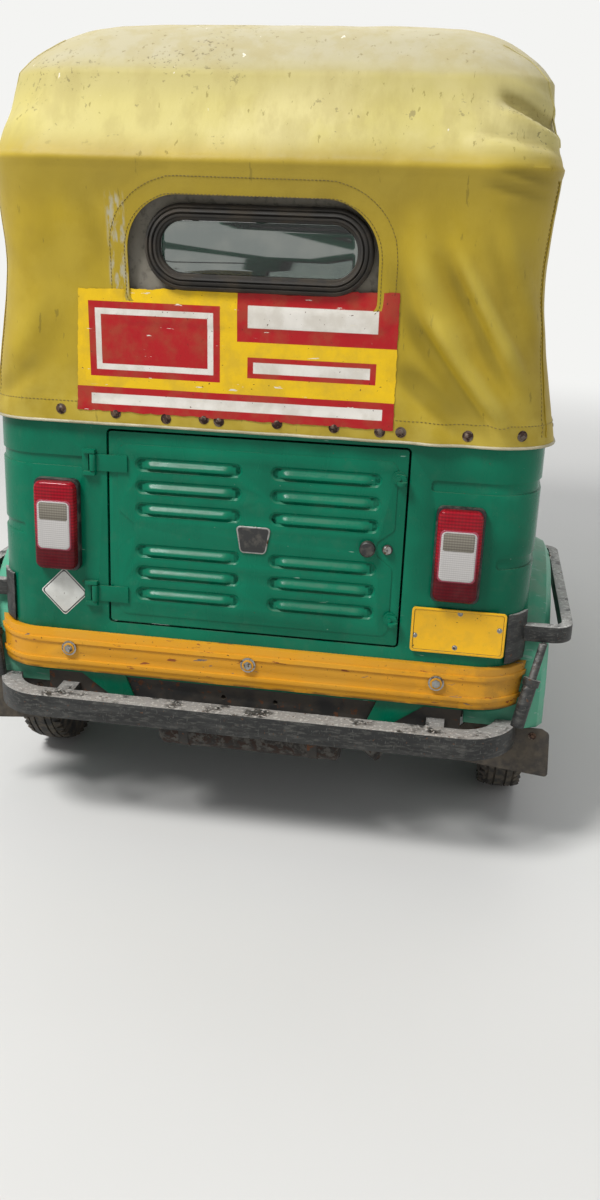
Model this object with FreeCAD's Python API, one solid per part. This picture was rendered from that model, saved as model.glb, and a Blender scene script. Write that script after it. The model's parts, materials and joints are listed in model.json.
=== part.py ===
"""Three-wheeled passenger auto rickshaw with a soft hood, a louvred rear door and one steered front wheel.

Frame: origin on the ground under the middle of the overall box, +Y forwards, +X to the right, +Z up.
All sizes are millimetres. Each function builds one piece and returns its solid or solids.
"""
import FreeCAD, Part
import math
import os

V = FreeCAD.Vector

# overall sizes
WHEELBASE = 2000.0
FRONT_OVERHANG = 265.0        # front axle to the tip of the front mudguard
REAR_OVERHANG = 370.0         # rear axle to the foot of the rear panel
GUARD_STANDOFF = 85.0         # rear panel foot to the rear face of the crash bar
OVERALL_HEIGHT = 1724.0
BODY_WIDTH = 1200.0
REAR_TRACK = BODY_WIDTH - 30.0
OVERALL_LENGTH = FRONT_OVERHANG + WHEELBASE + REAR_OVERHANG + GUARD_STANDOFF

# clearances
SEAT_GAP = 0.3                # pieces that seat on a curved or slanted face
RUNNING_GAP = 0.05            # shaft in its bore, radial
DOOR_GAP = 5.0                # shut line round the rear door

# places along the vehicle
GUARD_Y = -OVERALL_LENGTH / 2
BODY_Y = GUARD_Y + GUARD_STANDOFF
REAR_AXLE_Y = BODY_Y + REAR_OVERHANG
FRONT_AXLE_Y = REAR_AXLE_Y + WHEELBASE
JAMB_REAR_Y = REAR_AXLE_Y + 475.0       # rear edge of the passenger doorway
BULKHEAD_Y = FRONT_AXLE_Y - 925.0       # partition behind the driver
JAMB_FRONT_Y = FRONT_AXLE_Y - 485.0     # front edge of the driver doorway
TOE_Y = FRONT_AXLE_Y - 335.0            # foot of the leg shield

# heights
FLOOR_Z = 340.0
FLOOR_T = 20.0
REAR_EDGE_Z = 356.0           # lower edge of the rear panel
SILL_DROP = 50.0
BODY_TOP_Z = 958.0
HEM_Z = 935.0                 # lower edge of the hood
VALANCE_Z = OVERALL_HEIGHT - 254.0      # lower edge of the hood over the doorways
COWL_TOP_Z = 980.0
RAIL_Z = OVERALL_HEIGHT - 134.0         # side rails of the hood frame

# walls
WALL = 15.0                   # rear body wall
COWL_WALL = 12.0
HOOD_T = 8.0
PANEL_T = 12.0
HALF_BODY = BODY_WIDTH / 2
REAR_CORNER = 110.0           # corner radius of the rear body in plan
REAR_LEAN = 0.055             # forward lean of the rear panel, mm per mm of height

# wheels
TYRE_R = 205.0
TYRE_W = 104.0
TYRE_SIDES = 72               # flats round each tyre
RIM_R = 101.5
SPINDLE_R = 12.0

TUBE_R = 11.0                 # hood frame tube
REACH = 3000.0                # length of cutting blocks, longer than the vehicle is


def rounded(points, radii):
    """Edges of a closed plan outline with a tangent arc at each corner, as lines and arcs in turn."""
    n = len(points)
    pts = [V(*p) for p in points]
    starts, ends, mids = [], [], []
    for i in range(n):
        here, before, after = pts[i], pts[i - 1], pts[(i + 1) % n]
        u = (before - here).normalize()
        w = (after - here).normalize()
        half = u.getAngle(w) / 2
        reach = radii[i] / math.tan(half)
        bis = (u + w).normalize()
        centre = here + bis * (radii[i] / math.sin(half))
        starts.append(here + u * reach)
        ends.append(here + w * reach)
        mids.append(centre - bis * radii[i])
    edges = []
    for i in range(n):
        edges.append(Part.Arc(starts[i], mids[i], ends[i]).toShape())
        edges.append(Part.LineSegment(ends[i], starts[(i + 1) % n]).toShape())
    return Part.Wire(edges)


def plan(half_rear, half_front, y_rear, y_front, r_rear, r_front, z):
    """Closed outline seen from above: a rounded trapezium, symmetric about the middle plane."""
    right = [(half_rear, y_rear, z), (half_front, y_front, z)]
    left = [(-half_front, y_front, z), (-half_rear, y_rear, z)]
    return rounded(right + left, [r_rear, r_front, r_front, r_rear])


def hood_plan(half_rear, half_front, y_rear, y_front, r_rear, r_front, z):
    """Plan outline with parallel sides behind the doorway and tapering sides in front of it."""
    y_mid = JAMB_REAR_Y
    pts = [(-half_rear, y_rear, z), (half_rear, y_rear, z), (half_rear, y_mid, z), (half_front, y_front, z),
           (-half_front, y_front, z), (-half_rear, y_mid, z)]
    return rounded(pts, [r_rear, r_rear, 400.0, r_front, r_front, 400.0])


def slab(half_rear, half_front, y_rear, y_front, r_rear, r_front, z, height, lean=0.0):
    """Prism on a plan outline, leaning forwards by lean for each mm of height."""
    face = Part.Face(plan(half_rear, half_front, y_rear, y_front, r_rear, r_front, z))
    return face.extrude(V(0, lean * height, height))


def box(x0, x1, y0, y1, z0, z1):
    """Box between two corners."""
    return Part.makeBox(x1 - x0, y1 - y0, z1 - z0, V(x0, y0, z0))


def pair(shape):
    """The shape and its mirror image in the middle plane, as two solids."""
    return Part.makeCompound([shape, shape.mirror(V(0, 0, 0), V(1, 0, 0))])


def side_profile(points, radii, x0, x1):
    """Prism across the vehicle from x0 to x1 on a rounded outline of (y, z) points."""
    wire = rounded([(x0, y, z) for y, z in points], radii)
    return Part.Face(wire).extrude(V(x1 - x0, 0, 0))


def rear_profile(points, radii, y0, y1):
    """Prism along the vehicle from y0 to y1 on a rounded outline of (x, z) points."""
    wire = rounded([(x, y0, z) for x, z in points], radii)
    return Part.Face(wire).extrude(V(0, y1 - y0, 0))


def stadium(x0, x1, z0, z1, y0, y1):
    """Prism along the vehicle on an outline with half-round ends."""
    r = (z1 - z0) / 2
    flat = box(x0 + r, x1 - r, y0, y1, z0, z1)
    for x in (x0 + r, x1 - r):
        flat = flat.fuse(Part.makeCylinder(r, y1 - y0, V(x, y0, z0 + r), V(0, 1, 0)))
    return flat.removeSplitter()


def bent_path(points, bend):
    """Open wire through the points with a tangent arc of radius bend at each inner one."""
    pts = [V(*p) for p in points]
    edges, last = [], pts[0]
    for i in range(1, len(pts) - 1):
        u = (pts[i - 1] - pts[i]).normalize()
        w = (pts[i + 1] - pts[i]).normalize()
        half = u.getAngle(w) / 2
        reach = bend / math.tan(half)
        bis = (u + w).normalize()
        centre = pts[i] + bis * (bend / math.sin(half))
        a, b = pts[i] + u * reach, pts[i] + w * reach
        edges.append(Part.LineSegment(last, a).toShape())
        edges.append(Part.Arc(a, centre - bis * bend, b).toShape())
        last = b
    edges.append(Part.LineSegment(last, pts[-1]).toShape())
    return Part.Wire(edges)


def tube(points, radius, bend=60.0):
    """Round bar bent along the points."""
    path = bent_path(points, bend)
    start = V(*points[0])
    along = V(*points[1]) - start
    ring = Part.Wire(Part.makeCircle(radius, start, along))
    return path.makePipeShell([ring], True, False)


def rod(a, b, radius):
    """Straight round bar from a to b."""
    a, b = V(*a), V(*b)
    return Part.makeCylinder(radius, (b - a).Length, a, b - a)


def fuse(shapes):
    """One solid from overlapping shapes."""
    out = shapes[0].multiFuse(shapes[1:]) if len(shapes) > 1 else shapes[0]
    return out.removeSplitter()


def revolve(points, centre, axis, degrees=360.0):
    """Solid of revolution of a closed straight outline of 3D points."""
    pts = [V(*p) for p in points]
    wire = Part.makePolygon(pts + [pts[0]])
    return Part.Face(wire).revolve(V(*centre), V(*axis), degrees)


# rear body

def rear_y(z):
    """Outer face of the rear panel at a height."""
    return BODY_Y + REAR_LEAN * (z - FLOOR_Z)


def body_prism(offset, z0=FLOOR_Z, z1=BODY_TOP_Z, front=JAMB_REAR_Y):
    """Solid block inside the rear body's outer face, grown by offset."""
    shift = REAR_LEAN * (z0 - FLOOR_Z)
    return slab(HALF_BODY + offset, HALF_BODY + offset, BODY_Y - offset + shift, front + 400.0 + shift,
                REAR_CORNER + offset, 40.0, z0, z1 - z0, REAR_LEAN)


def forward_of(y, z0, z1, lean=0.0):
    """Block that takes away everything in front of y."""
    shift = lean * (z1 - z0)
    outline = [(y, z0), (y + REACH, z0), (y + REACH + shift, z1), (y + shift, z1)]
    return side_profile(outline, [0.1] * 4, -REACH, REACH)


LEAN_DEG = math.degrees(math.atan(REAR_LEAN))
DOOR_HALF = 322.0
DOOR_Z0 = 490.0
DOOR_Z1 = 917.0
DOOR_CORNER = 6.0
HINGE_X = -(DOOR_HALF + 33.0)
HINGE_OUT = 9.0               # hinge pin axis outside the panel
HINGE_ROWS = [848.0, 553.0]
LATCH_ROWS = [858.0, 552.0]
LOUVRE_ROWS = [849.0, 800.0, 751.0, 658.0, 609.0, 560.0]
LOUVRE_COLUMNS = [(57.0 - DOOR_HALF, -26.0), (32.0, DOOR_HALF - 51.0)]
LOUVRE_H = 33.0
RIB_DEPTH = 4.0
RIB_H = 24.0
# height of each corner rib, and its inner end measured from the body's side
CORNER_RIBS = [(846.0, 228.0), (688.0, 82.0), (512.0, 40.0)]
WELL_Z = 310.0                # centre height of the rear wheel arch
WELL_R = 335.0
WELL_INNER_X = REAR_TRACK / 2 - TYRE_W / 2 - 53.0
LAMP_X0 = DOOR_HALF + 65.0
LAMP_X1 = LAMP_X0 + 102.0
LAMP_Z0, LAMP_Z1 = 603.0, 808.0
LAMP_OUT = 34.0
PLATE_X, PLATE_Z = DOOR_HALF + 130.0, 536.0
PLATE_W, PLATE_H = 200.0, 100.0
BEAM_Y = BODY_Y + 3.0         # rear face of the rear cross beam
GUSSET_X = 400.0


def lean_to_panel(shape, z):
    """Turns a piece built upright at y = 0 about height z so that it lies on the leaning rear panel."""
    out = shape.copy()
    out.rotate(V(0, 0, z), V(1, 0, 0), -LEAN_DEG)
    out.translate(V(0, rear_y(z), 0))
    return out


def well_block(radius, x0, x1):
    """Half disc over the rear axle that the wheel arch fills, with straight sides below."""
    disc = Part.makeCylinder(radius, x1 - x0, V(x0, REAR_AXLE_Y, WELL_Z), V(1, 0, 0))
    return disc.fuse(box(x0, x1, REAR_AXLE_Y - radius, REAR_AXLE_Y + radius, 0, WELL_Z))


def hinge_pins():
    """Body half of each rear door hinge: a pin carried by two lugs on a plate."""
    out = []
    for z in HINGE_ROWS:
        parts = [Part.makeCylinder(3.0, 56, V(HINGE_X, -HINGE_OUT, z - 28), V(0, 0, 1)),
                 box(HINGE_X - 26, HINGE_X - 12, -4.0, 1.0, z - 28, z + 28)]
        for z0 in (z - 28, z + 19.5):
            parts.append(box(HINGE_X - 22, HINGE_X + 5, -HINGE_OUT - 4, 1.0, z0, z0 + 8.5))
        out.append(lean_to_panel(fuse(parts), DOOR_Z0))
    return out


def gussets():
    """Slanting plates under the rear panel's lower edge, just clear of the cross beam."""
    top, low = REAR_EDGE_Z + 8, REAR_EDGE_Z - 66
    outline = [(-GUSSET_X, top), (110 - GUSSET_X, top), (138 - GUSSET_X, low), (100 - GUSSET_X, low)]
    plate = rear_profile(outline, [3, 3, 8, 8], BEAM_Y - SEAT_GAP - 6, BEAM_Y - SEAT_GAP)
    return [plate, plate.mirror(V(0, 0, 0), V(1, 0, 0))]


def rear_body():
    """U-shaped rear body wall with the door opening, the wheel cut-outs and the pressed corner ribs."""
    shell = body_prism(0).cut(body_prism(-WALL, FLOOR_Z - 1, BODY_TOP_Z + 1))
    shell = shell.cut(forward_of(JAMB_REAR_Y, FLOOR_Z, BODY_TOP_Z, REAR_LEAN))
    gap, low, high = DOOR_HALF + DOOR_GAP, DOOR_Z0 - DOOR_GAP, DOOR_Z1 + DOOR_GAP
    outline = [(-gap, low), (gap, low), (gap, high), (-gap, high)]
    hole = rear_profile(outline, [DOOR_CORNER + DOOR_GAP] * 4, -60, 60)
    shell = shell.cut(lean_to_panel(hole, DOOR_Z0))
    for side in (-1, 1):
        x0, x1 = sorted((side * (WELL_INNER_X - 2), side * (HALF_BODY + 10)))
        shell = shell.cut(well_block(WELL_R + SEAT_GAP, x0, x1))
    shell = shell.cut(box(-HALF_BODY - 1, HALF_BODY + 1, BODY_Y - 1, REAR_AXLE_Y, FLOOR_Z - 1, REAR_EDGE_Z))
    skin = body_prism(5, FLOOR_Z, BODY_TOP_Z).cut(body_prism(-RIB_DEPTH, FLOOR_Z, BODY_TOP_Z))
    for z, inwards in CORNER_RIBS:
        x0, x1, low, high = HALF_BODY - inwards, HALF_BODY + 20, z - RIB_H / 2, z + RIB_H / 2
        outline = [(x0, low), (x1, low), (x1, high), (x0, high)]
        groove = rear_profile(outline, [9, 1, 1, 9], BODY_Y - 30, REAR_AXLE_Y - 180)
        groove = groove.common(skin)
        shell = shell.cut(groove).cut(groove.mirror(V(0, 0, 0), V(1, 0, 0)))
    return fuse([shell] + hinge_pins() + gussets())


def louvre_cut(x0, x1, z):
    """Pressed oblong of one louvre, less the raised slanting blade inside it."""
    h = LOUVRE_H / 2
    recess = stadium(x0, x1, z - h, z + h, -1, RIB_DEPTH)
    blade = side_profile([(RIB_DEPTH, z - h + 8), (RIB_DEPTH, z + h - 8), (-3.0, z - h + 8)], [1.0, 1.0, 1.0],
                         x0 + 36, x1 - 36)
    return recess.cut(blade)


def rear_door():
    """Engine bay door: a raised field, twelve louvres, two strap hinges and two latch bosses."""
    half, notch, mid = DOOR_HALF, 36.0, (DOOR_Z0 + DOOR_Z1) / 2
    outline = [(-half, DOOR_Z0), (half, DOOR_Z0), (half, DOOR_Z1), (-half, DOOR_Z1)]
    panel = rear_profile(outline, [DOOR_CORNER] * 4, 2.0, WALL)
    x_out, x_waist = half - 20, half - 20 - notch
    right = [(x_out, DOOR_Z0 + 20), (x_out, mid - 42), (x_waist, mid - 14), (x_waist, mid + 14),
             (x_out, mid + 42), (x_out, DOOR_Z1 - 26)]
    left = [(-x, z) for x, z in reversed(right)]
    field = rear_profile(right + left, [22, 14, 12, 12, 14, 22] * 2, 0.0, 2.5)
    door = panel.fuse(field)
    for x0, x1 in LOUVRE_COLUMNS:
        for z in LOUVRE_ROWS:
            door = door.cut(louvre_cut(x0, x1, z))
    parts = [door]
    for z in HINGE_ROWS:
        knuckle = Part.makeCylinder(7.0, 36.0, V(HINGE_X, -HINGE_OUT, z - 18), V(0, 0, 1))
        leaf = box(HINGE_X, -DOOR_HALF + 42, -5.0, -1.0, z - 18, z + 18)
        foot = box(-DOOR_HALF + 8, -DOOR_HALF + 42, -2.0, 3.0, z - 18, z + 18)
        parts += [knuckle.fuse(box(HINGE_X, HINGE_X + 7, -HINGE_OUT, -1.0, z - 18, z + 18)), leaf, foot]
    for z in LATCH_ROWS:
        parts.append(Part.makeCylinder(9.0, 20.0, V(DOOR_HALF - 10, -14.0, z), V(0, 1, 0)))
        parts.append(Part.makeCylinder(11.0, 8.0, V(DOOR_HALF - 10, -14.0, z - 4), V(0, 0.2, -1)))
    door = fuse(parts)
    for z in HINGE_ROWS:
        door = door.cut(Part.makeCylinder(3.0 + RUNNING_GAP, 60, V(HINGE_X, -HINGE_OUT, z - 30), V(0, 0, 1)))
    return lean_to_panel(door, DOOR_Z0)


def door_lock():
    """Knob and key barrel that stand on the rear door."""
    mid = (DOOR_Z0 + DOOR_Z1) / 2
    knob = Part.makeCylinder(17.0, 16.0, V(DOOR_HALF - 74, -16.0 - SEAT_GAP, mid), V(0, 1, 0))
    knob = knob.makeChamfer(3.0, [e for e in knob.Edges if e.CenterOfMass.y < -15.9])
    key = Part.makeCylinder(11.0, 5.0, V(DOOR_HALF - 32, -3.0 - SEAT_GAP, mid), V(0, 1, 0))
    return lean_to_panel(Part.makeCompound([knob, key]), DOOR_Z0)


def bumper_strip():
    """Wrap-round rubbing strip with two long ribs and three bolt heads."""
    z0, z1, thick = 367.0, 460.0, 16.0
    outer = body_prism(thick, z0, z1)
    strip = outer.cut(body_prism(SEAT_GAP, z0 - 1, z1 + 1))
    for z in (z0 + 17, z1 - 27):
        ring = body_prism(thick + 4, z, z + 10).cut(body_prism(thick - 0.5, z - 1, z + 11))
        strip = strip.fuse(ring)
    for side in (-1, 1):
        x0, x1 = sorted((side * WELL_INNER_X, side * REACH))
        strip = strip.cut(well_block(WELL_R + 2, x0, x1))
    strip = strip.cut(forward_of(REAR_AXLE_Y - 150, z0 - 2, z1 + 2))
    bolts = [Part.makeCylinder(13.0, 22.0, V(x, rear_y(z0) - thick - 6, z0 + 55), V(0, 1, 0))
             for x in (185 - HALF_BODY, 0, HALF_BODY - 185)]
    strip = strip.multiFuse(bolts)
    return strip.cut(body_prism(SEAT_GAP, z0 - 20, z1 + 20)).removeSplitter()


def tail_lamps():
    """Two-lens tail lamps on the flat beside the door."""
    x0, x1, z0, z1 = LAMP_X0, LAMP_X1, LAMP_Z0, LAMP_Z1
    base = rear_profile([(x0, z0), (x1, z0), (x1, z1), (x0, z1)], [14] * 4, -10.0, -SEAT_GAP)
    inset = 5.0
    lens = rear_profile([(x0 + inset, z0 + inset), (x1 - inset, z0 + inset), (x1 - inset, z1 - inset),
                         (x0 + inset, z1 - inset)], [16] * 4, -LAMP_OUT, -8.0)
    lens = lens.makeFillet(9.0, [e for e in lens.Edges if e.BoundBox.YMax < -LAMP_OUT + 0.1])
    lamp = base.fuse(lens)
    return pair(lean_to_panel(lamp, LAMP_Z0))


def number_plate():
    """Blank plate with a pressed rim, on two spacers."""
    x0, x1 = PLATE_X - PLATE_W / 2, PLATE_X + PLATE_W / 2
    z0, z1 = PLATE_Z - PLATE_H / 2, PLATE_Z + PLATE_H / 2
    corners = [(x0, z0), (x1, z0), (x1, z1), (x0, z1)]
    plate = rear_profile(corners, [8] * 4, -9.0, -5.0)
    inner = [(x0 + 5, z0 + 5), (x1 - 5, z0 + 5), (x1 - 5, z1 - 5), (x0 + 5, z1 - 5)]
    plate = plate.cut(rear_profile(inner, [5] * 4, -10.0, -7.5))
    spacers = [Part.makeCylinder(6.0, 6.0 - SEAT_GAP, V(x, -6.0, PLATE_Z), V(0, 1, 0))
               for x in (x0 + 18, x0 + 110)]
    return lean_to_panel(fuse([plate] + spacers), z0)


# wheel arches, guards and flaps

FENDER_OUT = HALF_BODY + 55.0
FENDER_T = 12.0


def fenders():
    """Rear wheel arches: a half-round tunnel over each wheel with a bulged outer skirt."""
    t, out, r = FENDER_T, FENDER_OUT, WELL_R
    outer = [(WELL_INNER_X, 0), (WELL_INNER_X, r), (out - 40, r), (out - 13, r - 12), (out, r - 34),
             (out, r - 74)]
    inner = [(out - t, r - 74), (out - t, r - 38), (out - 20, r - 10 - t), (out - 43, r - t),
             (WELL_INNER_X + t, r - t), (WELL_INNER_X + t, 0)]
    ring = outer + inner
    pts = [(x, REAR_AXLE_Y - reach, WELL_Z) for x, reach in ring]
    arch = revolve(pts, (0, REAR_AXLE_Y, WELL_Z), (1, 0, 0), -180)
    return pair(arch)


GUARD_RAIL_Z = 505.0          # underside of the side guards
GUARD_RAIL_H = 36.0
GUARD_Z0, GUARD_Z1 = 278.0, 330.0       # crash bar
GUARD_DEPTH = 46.0
GUARD_HALF = HALF_BODY - 3.0
GUARD_END_Y = BODY_Y + 28.0             # front ends of the crash bar
STRUT_TOP = (FENDER_OUT - 15, BODY_Y + 64)
FLAP_Y = REAR_AXLE_Y - WELL_R + 3       # rear face of the mudflaps


def side_guards():
    """Box-section hoop round each rear wheel arch, with its foot plate on the body corner."""
    y0, y1, z0, t = BODY_Y + 68, REAR_AXLE_Y + 322, GUARD_RAIL_Z, 24.0
    out_x, in_x = FENDER_OUT + 45, HALF_BODY - 200
    outline = [(in_x, y0, z0), (out_x, y0, z0), (out_x, y1, z0), (in_x, y1, z0)]
    outer = Part.Face(rounded(outline, [20, 46, 46, 20])).extrude(V(0, 0, GUARD_RAIL_H))
    x0, x1, z = in_x - 10, out_x - t, z0 - 1
    inner = [(x0, y0 + t, z), (x1, y0 + t, z), (x1, y1 - t, z), (x0, y1 - t, z)]
    hole = Part.Face(rounded(inner, [10, 22, 22, 10])).extrude(V(0, 0, GUARD_RAIL_H + 2))
    low, high = z0 - 40, z0 + 70
    foot = box(HALF_BODY - 44, HALF_BODY + 20, y0 - 60, y0 + 12, low, high)
    plate = body_prism(7, low, high).common(foot)
    hoop = fuse([outer.cut(hole), plate]).cut(well_block(WELL_R + 2, WELL_INNER_X, FENDER_OUT))
    hoop = hoop.cut(body_prism(SEAT_GAP, low - 10, high + 10))
    return pair(max(hoop.Solids, key=lambda s: s.Volume))


def rear_guard():
    """Box-section crash bar across the back with its brackets and the two corner struts."""
    z0, z1, depth, half, r = GUARD_Z0, GUARD_Z1, GUARD_DEPTH, GUARD_HALF, 125.0
    outer = slab(half, half, GUARD_Y, 0, r, 30, z0, z1 - z0)
    inner = slab(half - depth, half - depth, GUARD_Y + depth, 60, r - depth, 30, z0 - 1, z1 - z0 + 2)
    parts = [outer.cut(inner).cut(forward_of(GUARD_END_Y, z0 - 1, z1 + 1))]
    for x in (54 - BEAM_HALF, BEAM_HALF - 54):
        parts.append(box(x - 20, x + 20, GUARD_Y + depth - 1, BEAM_Y, (z0 + z1) / 2, z1))
    for s in (-1, 1):
        foot = (s * half, BODY_Y + 7, z1 - 4)
        top = (s * STRUT_TOP[0], STRUT_TOP[1], GUARD_RAIL_Z + 10)
        middle = tuple(a + 0.5 * (b - a) for a, b in zip(foot, top))
        parts.append(rod(foot, middle, 15))
        parts.append(rod(foot, top, 9))
    bar = fuse(parts)
    return bar.cut(box(-REACH, REACH, BODY_Y - 30, 0, GUARD_RAIL_Z - SEAT_GAP, GUARD_RAIL_Z + 55))


def mudflaps():
    """Rubber flaps that hang from the back edge of the wheel arches."""
    x_in, x_out, z = WELL_INNER_X, FENDER_OUT, WELL_Z
    outline = [(x_in - 52, z - 93), (x_out + 24, z - 118), (x_out + 17, z - 10), (x_out, z), (x_in + 6, z),
               (x_in - 38, z - 50)]
    flap = rear_profile(outline, [14, 8, 12, 4, 4, 20], FLAP_Y, FLAP_Y + 6)
    gap = 5.0
    bar = box(0, GUARD_HALF + gap, GUARD_Y, GUARD_END_Y + gap, GUARD_Z0 - gap, GUARD_Z1 + gap)
    return pair(flap.cut(bar))


# floor, seats and partitions

def floor_pan():
    """Cabin floor with turned-down sills."""
    y0 = REAR_AXLE_Y + WELL_R + SEAT_GAP
    right = [(HALF_BODY, y0), (HALF_BODY, JAMB_REAR_Y + 40), (HALF_BODY - 45, BULKHEAD_Y),
             (HALF_BODY - 90, JAMB_FRONT_Y + 20), (HALF_BODY - 130, TOE_Y + 12)]
    outline = right + [(-x, y) for x, y in reversed(right)]
    radii = [4, 60, 60, 60, 110, 110, 60, 60, 60, 4]
    under = FLOOR_Z - FLOOR_T
    top = Part.Face(rounded([(x, y, under) for x, y in outline], radii)).extrude(V(0, 0, FLOOR_T))
    drop = Part.Face(rounded([(x, y, under - SILL_DROP) for x, y in outline], radii))
    drop = drop.extrude(V(0, 0, SILL_DROP))
    core = []
    for x, y in outline:
        back = 30 if y > JAMB_FRONT_Y - 10 else 40 if y < JAMB_REAR_Y else 0
        core.append((x * 0.955, y - back, 0))
    core = Part.Face(rounded(core, radii)).extrude(V(0, 0, under))
    return top.fuse(drop.cut(core)).removeSplitter()


DECK_Z = 575.0
DECK_FRONT_Y = REAR_AXLE_Y + 400.0
WALL_Y = REAR_AXLE_Y + 5.0              # upright wall behind the rear seat
SHELF_Z = 950.0


def passenger_seat_base():
    """Bent sheet under the rear seat: front wall and deck."""
    half = WELL_INNER_X - SEAT_GAP
    front = box(-half, half, DECK_FRONT_Y - PANEL_T, DECK_FRONT_Y, FLOOR_Z, DECK_Z)
    deck = box(-half, half, WALL_Y, DECK_FRONT_Y, DECK_Z - PANEL_T, DECK_Z)
    return fuse([front, deck])


def engine_bulkhead():
    """Wall between cabin and engine bay, with the shelf under the rear window."""
    foot = WELL_INNER_X - SEAT_GAP
    low = box(-foot, foot, WALL_Y - PANEL_T, WALL_Y, DECK_Z - PANEL_T, SHELF_Z)
    half = HALF_BODY - WALL - SEAT_GAP
    high = box(-half, half, WALL_Y - PANEL_T, WALL_Y, WELL_Z + WELL_R + SEAT_GAP, SHELF_Z)
    shelf = body_prism(-WALL - SEAT_GAP, SHELF_Z - PANEL_T, SHELF_Z).cut(forward_of(WALL_Y, 0, REACH))
    return fuse([low, high, shelf])


def seat_cushion(x_half, y0, y1, z0, z1, r=28.0):
    """Plain pad with rounded upper edges."""
    pad = box(-x_half, x_half, y0, y1, z0, z1)
    return pad.makeFillet(r, [e for e in pad.Edges if e.BoundBox.ZMin > z1 - 1 or
                              (e.BoundBox.YMin > y1 - 1 and e.BoundBox.ZLength > 1)])


def passenger_seat():
    """Rear bench: the cushion on its deck and the backrest that leans on the wall behind it."""
    cushion = seat_cushion(WELL_INNER_X - 8, WALL_Y + 100, DECK_FRONT_Y + 25, DECK_Z, DECK_Z + 120)
    y, low, high, half = WALL_Y, DECK_Z + 80, SHELF_Z + 60, HALF_BODY - 40
    outline = [(y, low), (y + 98, low), (y + 98, low + 50), (y + 60, high), (y, high)]
    back = side_profile(outline, [4, 20, 20, 26, 10], -half, half)
    back = back.cut(pair(box(WELL_INNER_X - 4, REACH, y - 5, y + 200, 0, WELL_Z + WELL_R + 10)))
    return Part.makeCompound([cushion, back])


SEAT_BOX_Z = 590.0            # top of the driver's seat plinth
PARTITION_Z = 900.0           # top of the partition behind the driver


def driver_bulkhead():
    """Partition behind the driver, with rounded upper corners, and the hollow seat plinth welded to it."""
    half = HALF_BODY - 55
    outline = [(-half, FLOOR_Z), (half, FLOOR_Z), (half - 10, PARTITION_Z), (10 - half, PARTITION_Z)]
    wall = rear_profile(outline, [4, 4, 60, 60], BULKHEAD_Y - PANEL_T, BULKHEAD_Y)
    y1, seat = BULKHEAD_Y + 385, 232.0
    shell = box(-seat, seat, BULKHEAD_Y - 1, y1, FLOOR_Z, SEAT_BOX_Z)
    hollow = box(-seat + PANEL_T, seat - PANEL_T, BULKHEAD_Y, y1 - PANEL_T, FLOOR_Z - 1, SEAT_BOX_Z - PANEL_T)
    return fuse([wall, shell]).cut(hollow)


def driver_seat():
    """Driver's seat pad on the plinth and backrest pad on the partition."""
    thick = 58.0
    front = BULKHEAD_Y + thick
    cushion = seat_cushion(228.0, front + 4, front + 352, SEAT_BOX_Z, SEAT_BOX_Z + 82, 24.0)
    back = box(-205, 205, BULKHEAD_Y, front, SEAT_BOX_Z + 88, PARTITION_Z - 12)
    back = back.makeFillet(18, [e for e in back.Edges if e.BoundBox.YMin > front - 1])
    return Part.makeCompound([cushion, back])


# front cowl and windscreen

COWL_SECTIONS = [
    # height, front y, how far the side stands in from the body's side, front corner radius
    (FLOOR_Z, TOE_Y, 108.0, 130.0),
    (430.0, TOE_Y + 24, 96.0, 140.0),
    (510.0, TOE_Y + 92, 86.0, 175.0),
    (575.0, TOE_Y + 226, 80.0, 235.0),
    (650.0, FRONT_AXLE_Y + 12, 78.0, 275.0),
    (750.0, FRONT_AXLE_Y + 66, 80.0, 295.0),
    (850.0, FRONT_AXLE_Y + 66, 88.0, 290.0),
    (930.0, FRONT_AXLE_Y + 34, 104.0, 270.0),
    (COWL_TOP_Z, FRONT_AXLE_Y - 10, 122.0, 250.0),
]


def cowl_block(inset, back):
    """Solid inside the cowl's outer skin, drawn in by inset, and running back to y = back."""
    wires = []
    for z, y, inwards, r in COWL_SECTIONS:
        half = HALF_BODY - inwards - inset
        wires.append(plan(half, half, back, y - inset, 12.0, r - inset, z))
    return Part.makeLoft(wires, True, True)


AXIS_LEAN = 18.0              # steering axis lean, degrees
TRAIL = 50.0
AXIS = V(0, -math.sin(math.radians(AXIS_LEAN)), math.cos(math.radians(AXIS_LEAN)))
COLUMN_R = 18.0
HEAD_R = 27.0


def on_axis(z):
    """Point of the steering axis at a height."""
    return V(0, FRONT_AXLE_Y + TRAIL - z * math.tan(math.radians(AXIS_LEAN)), z)


def along_axis(z0, z1, radius):
    """Cylinder on the steering axis between two heights."""
    a, b = on_axis(z0), on_axis(z1)
    return Part.makeCylinder(radius, (b - a).Length, a, AXIS)


HEAD_Z0, HEAD_Z1 = 500.0, 860.0
LAMP_Z = 800.0
HEAD_LAMP_R = 82.0


def front_cowl():
    """Leg shield, nose and scuttle: a thin shell, open behind, with holes for headlamp and steering head."""
    hollow = cowl_block(COWL_WALL, JAMB_FRONT_Y - 60)
    scuttle = box(-REACH, REACH, SCREEN_FOOT_Y - SCREEN_T, REACH, COWL_TOP_Z - COWL_WALL, COWL_TOP_Z + 1)
    shell = cowl_block(0, JAMB_FRONT_Y).cut(hollow.cut(scuttle))
    shell = shell.cut(along_axis(HEAD_Z0 - 60, HEAD_Z1, HEAD_R + 6))
    lamp = Part.makeCylinder(HEAD_LAMP_R + SEAT_GAP, 260, V(0, FRONT_AXLE_Y - 60, LAMP_Z), V(0, 1, 0))
    shell = shell.cut(lamp)
    return max(shell.Solids, key=lambda s: s.Volume)


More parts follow.
